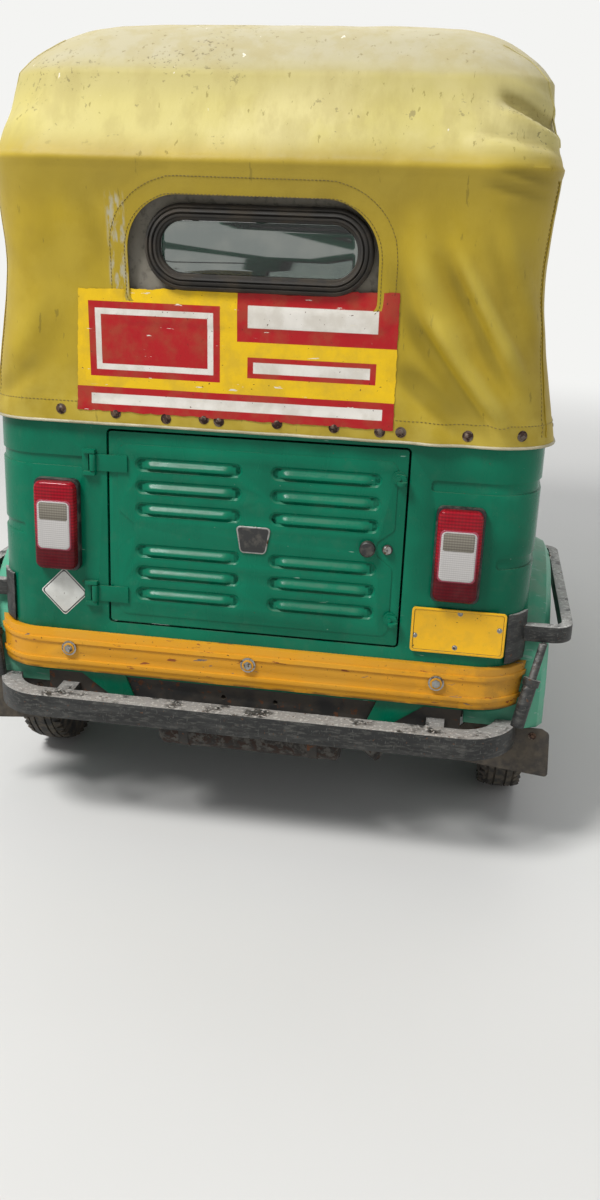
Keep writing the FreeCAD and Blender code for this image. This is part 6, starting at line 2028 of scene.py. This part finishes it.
@dataclass
class Pad:
    """Foam pad in sewn vinyl: swollen by cloth simulation, drawn in along its channels, piped and stitched."""

    name: str
    half: float
    # outline across the vehicle, y and z, and the piece's own face: up for a cushion, forwards for a back
    outline: Sequence[tuple[float, float]]
    facing: Point
    channels: Sequence[float]
    body: str = "body"
    voxel: float = 8.0 * MM
    inset: float = 9.0 * MM
    swell: float = 16.0 * MM
    pressure: float = 4.0
    groove: float = 5.5 * MM
    groove_width: float = 9.0 * MM
    crown: float = 3.5 * MM
    frames: int = 20
    fill: float = 0.8

    def build(self) -> bpy.types.Object:
        """Makes the pad; sew adds its seams."""
        ys, zs = [p[0] for p in self.outline], [p[1] for p in self.outline]
        my, mz = (min(ys) + max(ys)) / 2, (min(zs) + max(zs)) / 2
        shrink_y = 1 - 2 * self.inset / (max(ys) - min(ys))
        shrink_z = 1 - 2 * self.inset / (max(zs) - min(zs))
        small = [(my + (y - my) * shrink_y, mz + (z - mz) * shrink_z) for y, z in self.outline]
        half = self.half - self.inset
        verts = [(x, y, z) for x in (-half, half) for y, z in small]
        obj = outward(new_object(self.name, verts, ring_faces(2, len(small), capped=True)))
        bevel(obj, 18.0 * MM, 4, 30.0)
        net = obj.modifiers.new("even net", "REMESH")
        net.mode = "VOXEL"
        net.voxel_size = self.voxel
        applied(obj)
        self.inflate(obj)
        self.draw_in(obj)
        finer = obj.modifiers.new("finer", "SUBSURF")
        finer.levels = finer.render_levels = 1
        applied(obj)
        return finished(obj, SEAT, self.body, 80.0)

    def inflate(self, obj: bpy.types.Object) -> None:
        """Blows the cover up against itself and keeps every point within the swell.

        Args:
            obj: The pad, whose mesh is changed.
        """
        start = np.empty(len(obj.data.vertices) * 3)
        obj.data.vertices.foreach_get("co", start)
        cloth = obj.modifiers.new("cloth", "CLOTH")
        cloth.settings.quality = 5
        cloth.settings.use_pressure = True
        cloth.settings.uniform_pressure_force = self.pressure
        cloth.settings.effector_weights.gravity = 0.0
        cloth.point_cache.frame_start = 1
        cloth.point_cache.frame_end = self.frames
        for frame_number in range(1, self.frames + 1):
            bpy.context.scene.frame_set(frame_number)
        applied(obj)
        bpy.context.scene.frame_set(1)
        end = np.empty_like(start)
        obj.data.vertices.foreach_get("co", end)
        step = (end - start).reshape(-1, 3)
        far = np.linalg.norm(step, axis=1, keepdims=True)
        step *= np.minimum(1.0, self.swell / np.maximum(far, 1e-9))
        obj.data.vertices.foreach_set("co", (start.reshape(-1, 3) + step).ravel())
        obj.data.update()
        LOG.info("%s: swollen by up to %.1f mm", obj.name, min(far.max(), self.swell) / MM)

    def draw_in(self, obj: bpy.types.Object) -> None:
        """Pulls the cover in along the sewn channels and lets it crown between them.

        Args:
            obj: The pad, whose mesh is changed.
        """
        bm = bmesh.new()
        bm.from_mesh(obj.data)
        bm.normal_update()
        face = Vector(self.facing).normalized()
        moves = []
        for v in bm.verts:
            share = max(0.0, v.normal.dot(face)) ** 0.5
            near = min([abs(v.co.x - x) for x in self.channels], default=1.0)
            deep = self.groove * math.exp(-(near / self.groove_width) ** 2)
            crown = self.crown * min(1.0, near / 0.06)
            grain = 0.0012 * noise.noise(v.co * 14) + 0.0006 * noise.noise(v.co * 45)
            moves.append(v.normal * (share * (crown - deep) + grain))
        for v, move in zip(bm.verts, moves):
            v.co += move
        bm.to_mesh(obj.data)
        bm.free()

    def sew(self, obj: bpy.types.Object, loops: Sequence[Sequence[Point]]) -> None:
        """Lays piping round the pad and stitches along its channels.

        Args:
            obj: The pad.
            loops: Closed lines near its surface.
        """
        tree = BVHTree.FromPolygons([v.co[:] for v in obj.data.vertices], [p.vertices[:] for p in obj.data.polygons])
        for number, loop in enumerate(loops):
            line = []
            for p in loop:
                hit, normal, _, _ = tree.find_nearest(Vector(p))
                line.append(tuple(hit + normal * 0.8 * MM))
            for _ in range(3):
                pts = np.array(line)
                line = [tuple(p) for p in (0.25 * np.roll(pts, 1, 0) + 0.5 * pts + 0.25 * np.roll(pts, -1, 0))]
            tube_along(f"{self.name}_piping_{number + 1}", line, 3.4 * MM, SEAT_PIPING, self.body, 8, True)
        face = Vector(self.facing).normalized()
        across = Vector((0, 1, 0)) if abs(face.z) > 0.7 else Vector((0, 0, 1))
        middle = Vector((0, sum(p[0] for p in self.outline) / len(self.outline),
                         sum(p[1] for p in self.outline) / len(self.outline)))
        seats = []
        for x in self.channels:
            for t in np.arange(-0.20, 0.20, 8.5 * MM):
                start = Vector((x, 0, 0)) + middle + across * t + face * 0.3
                hit, normal, _, _ = tree.ray_cast(start, -face)
                if hit is not None and normal.dot(face) > 0.8:
                    seats.append(Seat(tuple(hit + normal * 0.3 * MM), tuple(normal), tuple(across)))
        fittings(self.name + "_stitches", Fitting.STITCH, seats, SEAT_THREAD, 0.9 * MM, 0.8 * MM, 6.0 * MM, self.body)


def flat_loop(x: float, low: float, high: float, radius: float, place: Callable[[float, float], Point]) -> list[Point]:
    """Rounded oblong line on a plane, finely divided.

    Args:
        x: Its half width.
        low: Its lower or rear edge.
        high: Its upper or front edge.
        radius: Radius of its corners.
        place: Turns its two flat places into a point.

    Returns:
        The points.
    """
    return [place(a, b) for a, b in divided(oblong(-x, x, low, high, radius, 0.0, 7), 12 * MM)]


@dataclass
class Cabin:
    """Floor with its mat, seats, partitions, dashboard and handlebar."""

    # a cushion or back is its half width, then its rear and front edge, foot and top
    bench_half: float = 0.472
    bench: Sequence[float] = (-0.800, -0.480, 0.575, 0.695)
    back: Sequence[tuple[float, float]] = ((-0.900, 0.655), (-0.802, 0.655), (-0.802, 0.705), (-0.840, 1.010),
                                           (-0.900, 1.010))
    back_half: float = 0.560
    driver: Sequence[float] = (0.232, 0.580, 0.590, 0.672)
    driver_half: float = 0.228
    driver_back: Sequence[float] = (0.170, 0.228, 0.678, 0.888)
    driver_back_half: float = 0.205
    mat: Sequence[float] = (0.47, -0.34, 0.14)

    def build(self) -> None:
        """Makes the seats and dresses the sheets round them."""
        for node in ("floor_pan", "passenger_seat_base", "engine_bulkhead", "driver_bulkhead"):
            dressed(node, BODY, rounding=1.5 * MM)
        self.seats()
        self.floor_mat()
        self.controls()

    def seats(self) -> None:
        """The rear bench and the driver's seat."""
        y0, y1, z0, z1 = self.bench
        cushion = Pad("bench_cushion", self.bench_half, [(y0, z0), (y1, z0), (y1, z1), (y0, z1)], (0, 0, 1),
                      (-0.315, -0.158, 0.0, 0.158, 0.315))
        self.upholster(cushion, "passenger_seat", [
            flat_loop(self.bench_half - 0.006, y0 + 0.006, y1 - 0.004, 0.030, lambda x, y: (x, y, level))
            for level in (z1 - 0.026, z0 + 0.022)])
        low, high = self.back[1][1], self.back[3][1]
        back = Pad("bench_back", self.back_half, self.back, (0, 0.99, 0.12), (-0.40, -0.24, -0.08, 0.08, 0.24, 0.40))
        self.upholster(back, "passenger_seat", [
            flat_loop(self.back_half - 0.006, low + 0.008, high - 0.006, 0.030,
                      lambda x, z: (x, y + slope * (z - 0.70), z)) for y, slope in ((-0.822, -0.10), (-0.885, 0.0))])
        y0, y1, z0, z1 = self.driver
        cushion = Pad("driver_cushion", self.driver_half, [(y0, z0), (y1, z0), (y1, z1), (y0, z1)], (0, 0, 1),
                      (-0.075, 0.075), voxel=6 * MM, inset=8 * MM, swell=12 * MM)
        self.upholster(cushion, "driver_seat", [
            flat_loop(self.driver_half - 0.005, y0 + 0.005, y1 - 0.005, 0.028, lambda x, y: (x, y, z1 - 0.022))])
        y0, y1, z0, z1 = self.driver_back
        back = Pad("driver_back", self.driver_back_half, [(y0, z0), (y1, z0), (y1, z1), (y0, z1)], (0, 1, 0),
                   (-0.068, 0.068), voxel=6 * MM, inset=7 * MM, swell=10 * MM)
        self.upholster(back, "driver_seat", [
            flat_loop(self.driver_back_half - 0.005, z0 + 0.005, z1 - 0.005, 0.026, lambda x, z: (x, y1 - 0.018, z))])

    def upholster(self, pad: Pad, node: str, loops: Sequence[Sequence[Point]]) -> None:
        """Args:
            pad: The pad.
            node: CAD node that it stands for.
            loops: Lines of its piping.
        """
        obj = pad.build()
        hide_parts(node)
        pad.sew(obj, loops)

    def floor_mat(self) -> None:
        """Ribbed rubber mat in front of the bench."""
        x, y0, y1 = self.mat
        stacked("floor_mat", lambda inset: oblong(-x, x, y0, y1, 0.03, inset, 5),
                [(0.0, 0.0002), (0.0, 0.0030), (0.0008, 0.0036)], lambda a, b, out: (a, b, 0.340 + out), MAT)
        seats = [Seat((0, y, 0.3440), (0, 0, 1), (1, 0, 0)) for y in np.arange(y0 + 0.03, y1 - 0.02, 0.0125)]
        fittings("floor_mat_ribs", Fitting.BLOCK, seats, MAT, 2.2 * MM, 1.2 * MM, 2 * x - 0.07)

    def controls(self) -> None:
        """Dashboard with its meter, and the handlebar with ribbed grips and levers."""
        dressed("dashboard", PLASTIC, rounding=2.0 * MM)
        lean = math.atan2(0.020, 0.052)
        c, s = math.cos(lean), math.sin(lean)

        def on_meter(a: float, b: float, out: float) -> Point:
            """Point on the meter's slanting face."""
            return a, 0.9672 + b * s - out * c, 0.9590 + b * c + out * s

        bezel = [(0, -0.001), (0, 0.004), (0.001, 0.005), (0.0025, 0.005)]
        stacked("meter_bezel", disc(0.0225, 32), bezel, on_meter, ZINC)
        stacked("meter_dial", disc(0.0200, 32), [(0, 0.003), (0.0001, 0.0052), (0.0006, 0.0055)], on_meter, WHITE)
        seats = []
        for t in np.linspace(math.radians(-40), math.radians(220), 14):
            way = (math.cos(t), s * math.sin(t), c * math.sin(t))
            seats.append(Seat(on_meter(0.0160 * math.cos(t), 0.0160 * math.sin(t), 0.0055), (0, -c, s), way))
        fittings("meter_marks", Fitting.BLOCK, seats, INK, 0.25 * MM, 0.25 * MM, 3.0 * MM)
        needle = [(-0.0008, -0.003), (0.0008, -0.003), (0.0002, 0.0130), (-0.0002, 0.0130)]
        stacked("meter_needle", lambda inset: [(a * c + b * s, b * c - a * s) for a, b in needle],
                [(0, 0.0052), (0, 0.0062)], on_meter, NEEDLE)
        dressed("handlebar", BAR_PAINT, rounding=0.8 * MM)
        for side, word in SIDES:
            a, b = np.array((side * 0.194, 0.7955, 0.985)), np.array((side * 0.280, 0.7650, 0.985))
            body = BODY_OF["handlebar"]
            axis = (b - a) / np.linalg.norm(b - a)
            across = np.cross(axis, (0, 0, 1))
            tube_along(f"grip_{word}", [a, a + 0.08 * (b - a), b], 0.0178, GRIP, body, 24)
            seats = []
            for t in np.linspace(0, 2 * math.pi, 26, endpoint=False):
                way = math.cos(t) * across + math.sin(t) * np.array((0, 0, 1))
                seats.append(Seat(tuple((a + b) / 2 + way * 0.0178), tuple(way), tuple(axis)))
            fittings(f"grip_ribs_{word}", Fitting.BLOCK, seats, GRIP, 1.1 * MM, 0.9 * MM, 0.076, body)


@dataclass
class Front:
    """Cowl, headlamp, indicators, windscreen with its rubber and wiper, mirrors and front mudguard."""

    lamp: Point = (0.0, 1.161, 0.800)
    lamp_radius: float = 0.082
    screen_low: float = 0.428
    screen_high: float = 0.414
    screen_foot: float = 0.034
    screen_top: float = 0.6178
    mirror: Point = (0.628, -0.027, 0.478)

    def build(self) -> None:
        """Makes the lamps and the glass and dresses the sheets."""
        dressed("front_cowl", BODY, rounding=1.5 * MM)
        dressed("windscreen_frame", BODY, rounding=3.0 * MM)
        dressed("windscreen_glass", GLASS, rounding=0.8 * MM)
        dressed("wiper", PLASTIC)
        dressed("front_mudguard", FENDER, rounding=1.5 * MM)
        self.headlamp()
        self.indicators()
        self.screen_rubber()
        self.mirrors()

    def headlamp(self) -> None:
        """Black moulded bowl, plated bezel and fluted lens."""
        r = self.lamp_radius
        lathe("headlamp_bowl", [(0, -0.070), (0.5 * r, -0.062), (0.97 * r, -0.016), (r - 0.001, -0.012),
                                (r - 0.001, 0.010), (0.9 * r, 0.014), (0, 0.010)], self.lamp, Axis.Y, PLASTIC,
              replaces=["headlamp"])
        lathe("headlamp_bezel", [(0.070, 0.0180), (0.0745, 0.0245), (0.080, 0.0262), (0.0865, 0.0245), (0.0900, 0.0200),
                                 (0.0900, 0.0130), (0.0860, 0.0105), (0.0780, 0.0105), (0.0720, 0.0140)],
              self.lamp, Axis.Y, ZINC, closed=True, sharp=50.0)
        lathe("headlamp_lens", [(0, 0.0375), (0.020, 0.0368), (0.042, 0.0340), (0.060, 0.0292), (0.0725, 0.0235),
                                (0.0740, 0.0200), (0.0700, 0.0160), (0, 0.0150)], self.lamp, Axis.Y, LENS_LAMP,
              segments=64, sharp=60.0)

    def indicators(self) -> None:
        """Amber lenses on black bases that follow the cowl."""
        dressed("front_indicators", LENS_AMBER, rounding=1.5 * MM)
        base = merged_copy("front_indicators", "indicator_bases")
        for v in base.data.vertices:
            side = math.copysign(1.0, v.co.x)
            v.co.x = side * 0.370 + (v.co.x - side * 0.370) * 1.07
            v.co.z = 0.7925 + (v.co.z - 0.7925) * 1.12
            v.co.y = min(v.co.y, 1.134)
        finished(outward(base), PLASTIC)

    def screen_rubber(self) -> None:
        """Rubber strip round the windscreen, inside the frame, on its outer and inner face."""
        low, high, foot, top = self.screen_low, self.screen_high, self.screen_foot, self.screen_top
        line = divided(oblong(-low, low, foot, top, 0.040, 0.002, 10), 30 * MM)
        for out, word in ((0.0065, "outer"), (-0.0065, "inner")):
            pts = []
            for a, b in line:
                share = (b - foot) / (top - foot)
                pts.append(on_screen(a * (1 - share + share * high / low), out, b))
            tube_along(f"screen_rubber_{word}", pts, 0.0060, SEAL, sides=10, closed=True)

    def mirrors(self) -> None:
        """Black mirrors with silvered discs that face the driver."""
        dressed("mirrors", PLASTIC, rounding=1.0 * MM)
        x, y, z = self.mirror
        for side, word in SIDES:
            stacked(f"mirror_glass_{word}", disc(0.0585, 48),
                    [(0, -0.001), (0, 0.0008), (0.0015, 0.0014), (0.02, 0.0022)],
                    lambda a, b, out: on_screen(side * x + a, y - out, z + b), MIRROR, sharp=60.0)


@dataclass
class RunningGear:
    """Chassis, suspension, engine, silencer and steering parts."""

    damper: tuple[float, float] = (0.420, -0.835)
    damper_foot: float = 0.2593
    front_foot: Point = (-0.119, 1.061, 0.215)
    front_top: Point = (-0.119, 1.033, 0.462)

    def build(self) -> None:
        """Dresses the frames and makes the springs and the engine."""
        for node in ("hood_frame", "chassis", "trailing_arms", "steering_column", "front_link"):
            dressed(node, TUBE, rounding=0.0 if node == "hood_frame" else 0.8 * MM)
        self.suspension()
        self.silencer()
        self.engine()

    def suspension(self) -> None:
        """Rear and front coil-over dampers."""
        x, y = self.damper
        z = self.damper_foot
        profile = [(0, 0.0), (0.016, 0.0), (0.0165, 0.016), (0.0385, 0.018), (0.040, 0.021), (0.0385, 0.025),
                   (0.023, 0.028), (0.0225, 0.148), (0.019, 0.154), (0.0095, 0.156), (0.0095, 0.268), (0.0385, 0.271),
                   (0.040, 0.275), (0.0385, 0.279), (0.016, 0.283), (0.0155, 0.3037), (0, 0.3037)]
        for side, word in SIDES:
            lathe(f"damper_{word}", profile, (side * x, y, z), Axis.Z, SPRING, segments=32, replaces=["dampers"])
            spring(f"damper_spring_{word}", (side * x, y, z + 0.031), (side * x, y, z + 0.265), 0.0325, 0.0052, 7.5,
                   SPRING)
        foot, top = Vector(self.front_foot), Vector(self.front_top)
        way = top - foot
        body = BODY_OF["front_damper"]
        turn = Matrix.Translation(foot) @ way.to_track_quat("Z", "Y").to_matrix().to_4x4()
        tall = way.length
        profile = [(0, 0.006), (0.009, 0.008), (0.009, 0.029), (0.018, 0.030), (0.018, 0.036), (0.0105, 0.038),
                   (0.0105, 0.120), (0.006, 0.124), (0.006, tall - 0.034), (0.018, tall - 0.032),
                   (0.018, tall - 0.026), (0.009, tall - 0.024), (0.009, tall - 0.006), (0, tall - 0.006)]
        moved(lathe("front_damper_body", profile, (0, 0, 0), Axis.Z, SPRING, 28, body=body,
                    replaces=["front_damper"]), turn)
        lathe("front_damper_eye", [(0.0075, -0.007), (0.0130, -0.007), (0.0130, 0.007), (0.0075, 0.007)],
              self.front_foot, Axis.X, SPRING, 28, True, body=body)
        a, b = foot + way * (0.040 / tall), foot + way * ((tall - 0.036) / tall)
        spring("front_damper_spring", tuple(a), tuple(b), 0.0138, 0.0026, 11.0, SPRING, body)

    def silencer(self) -> None:
        """Rusty silencer with its straps."""
        dressed("silencer", SILENCER, rounding=1.5 * MM)
        for x, word in ((-0.150, "left"), (0.150, "right")):
            lathe(f"silencer_strap_{word}", [(0.0458, -0.011), (0.0478, -0.011), (0.0478, 0.011), (0.0458, 0.011)],
                  (x, -1.245, 0.235), Axis.X, TUBE, segments=40, closed=True)

    def engine(self) -> None:
        """Rear engine: crankcase and gearbox, finned cylinder, fan cowl, air cleaner, flanges and pipes."""
        case = [(-1.080, 0.232), (-1.035, 0.202), (-0.960, 0.196), (-0.850, 0.196), (-0.800, 0.222), (-0.796, 0.290),
                (-0.870, 0.330), (-0.940, 0.368), (-1.080, 0.375), (-1.110, 0.300)]
        prism("engine_crankcase", case, -0.105, 0.110, Axis.X, ENGINE, rounding=9.0 * MM, replaces=["engine"])
        lid = [(0.93 * y - 0.066, 0.93 * z + 0.020) for y, z in case]
        for low, high, word in ((-0.132, -0.102, "left"), (0.107, 0.142, "right")):
            prism(f"engine_cover_{word}", lid, low, high, Axis.X, ENGINE, rounding=7.0 * MM)
        seats = []
        for (ay, az), (by, bz) in zip(lid, lid[1:] + lid[:1]):
            for t in (0.25, 0.75):
                y, z = ay + (by - ay) * t, az + (bz - az) * t
                y, z = y + 0.10 * (-0.955 - y), z + 0.10 * (0.285 - z)
                seats += [Seat((-0.1318, y, z), (-1, 0, 0)), Seat((0.1418, y, z), (1, 0, 0))]
        fittings("engine_screws", Fitting.STUD, seats, ZINC, 0.0055, 0.006)
        for side, word in SIDES:
            flange = ((0, 0.10), (0.062, 0.10), (0.058, 0.155), (0.042, 0.172), (0.038, 0.225), (0.048, 0.228),
                      (0.048, 0.2495), (0, 0.2495))
            lathe(f"drive_flange_{word}", [(r, side * t) for r, t in flange], (0, -0.905, 0.205), Axis.X, ENGINE,
                  segments=40)
            seats = [Seat((side * 0.229, -0.905 + 0.0405 * math.cos(a), 0.205 + 0.0405 * math.sin(a)), (-side, 0, 0))
                     for a in np.linspace(0, 2 * math.pi, 6, endpoint=False)]
            fittings(f"drive_bolts_{word}", Fitting.STUD, seats, ZINC, 0.0050, 0.007)
        self.cylinder()
        self.fan_and_pipes()

    def cylinder(self) -> None:
        """Upright barrel and head with cooling fins and nuts."""
        y0, low = -1.000, 0.362
        lathe("cylinder_barrel", [(0, 0.0), (0.040, 0.0), (0.040, 0.118), (0, 0.118)], (0.0, y0, low), Axis.Z, ENGINE)
        seats = [Seat((0.0, y0, low + 0.009 + 0.0095 * k), (0, 0, 1), (1, 0, 0)) for k in range(12)]
        bevel(fittings("cylinder_fins", Fitting.BLOCK, seats, ENGINE, 0.058, 1.5 * MM, 0.132), 0.5 * MM, 1)
        prism("cylinder_head", [(-0.052, y0 - 0.046), (0.052, y0 - 0.046), (0.052, y0 + 0.046), (-0.052, y0 + 0.046)],
              low + 0.116, low + 0.148, Axis.Z, ENGINE, rounding=8.0 * MM)
        seats = [Seat((sx * 0.036, y0 + sy * 0.031, low + 0.1475), (0, 0, 1)) for sx in (-1, 1) for sy in (-1, 1)]
        fittings("head_nuts", Fitting.STUD, seats, ZINC, 0.0075, 0.010)

    def fan_and_pipes(self) -> None:
        """Round fan cowl, air cleaner, intake and exhaust pipes, and the mounting lugs."""
        fan = (0, -1.035, 0.345)
        lathe("fan_cowl", [(0.030, -0.240), (0.070, -0.240), (0.105, -0.232), (0.118, -0.205), (0.120, -0.135),
                           (0.112, -0.122), (0.030, -0.122)], fan, Axis.X, PLASTIC, 64, True)
        lathe("fan_screen", [(0, -0.246), (0.020, -0.244), (0.032, -0.238), (0.032, -0.150), (0, -0.150)], fan, Axis.X,
              ZINC, 40)
        ways = [(0.0, math.cos(a), math.sin(a)) for a in np.arange(18) * math.pi / 9]
        seats = [Seat((-0.2395, fan[1] + 0.052 * way[1], fan[2] + 0.052 * way[2]), (-1, 0, 0), way) for way in ways]
        fittings("fan_ribs", Fitting.BLOCK, seats, PLASTIC, 1.6 * MM, 2.0 * MM, 0.038)
        lathe("air_cleaner", [(0, 0.0), (0.056, 0.0), (0.062, 0.005), (0.062, 0.012), (0.058, 0.015), (0.058, 0.092),
                              (0.062, 0.095), (0.062, 0.102), (0.054, 0.108), (0, 0.108)], (0.160, -1.050, 0.392),
              Axis.Z, PLASTIC)
        intake = self.arc((0.045, -0.975, 0.450), (0.120, -0.930, 0.462), (0.158, -1.020, 0.445))
        tube_along("intake_pipe", intake, 0.019, PLASTIC, sides=18)
        exhaust = self.arc((0.0, -1.035, 0.440), (0.010, -1.175, 0.420), (0.150, -1.166, 0.260))
        tube_along("exhaust_pipe", exhaust, 0.0165, SILENCER, sides=18)
        rubber = ((0, 0.205), (0.023, 0.205), (0.0245, 0.215), (0.0245, 0.232), (0.023, 0.242), (0, 0.242))
        for y, word in ((-1.145, "rear"), (-0.825, "front")):
            bar = [(y - 0.018, 0.268), (y + 0.018, 0.268), (y + 0.018, 0.312), (y - 0.018, 0.312)]
            prism(f"engine_mount_{word}", bar, -0.2545, 0.2545, Axis.X, TUBE, rounding=4.0 * MM)
            for side, end in SIDES:
                lathe(f"mount_rubber_{word}_{end}", [(r, side * t) for r, t in rubber], (0, y, 0.290), Axis.X, SEAL, 28)

    def arc(self, a: Point, b: Point, c: Point) -> list[np.ndarray]:
        """Smooth line from a to c that is drawn towards b."""
        a, b, c = np.array((a, b, c), float)
        return [(1 - t) ** 2 * a + 2 * t * (1 - t) * b + t * t * c for t in np.linspace(0, 1, 24)]


def main() -> None:
    """Builds the vehicle."""
    logging.basicConfig(level=logging.INFO, format="%(name)s: %(message)s")
    Studio().build()
    hood = Hood()
    for part in (hood, Banner(hood), RearWindow(), RearBody(), Guards(), Cabin(), Front(), RunningGear(),
                 Wheel("front", (0, 1.095, 0.205), 1), Wheel("rear_left", (-0.585, -0.905, 0.205), -1),
                 Wheel("rear_right", (0.585, -0.905, 0.205), 1)):
        LOG.info("building %s", type(part).__name__)
        part.build()


if __name__ == "__main__":
    main()
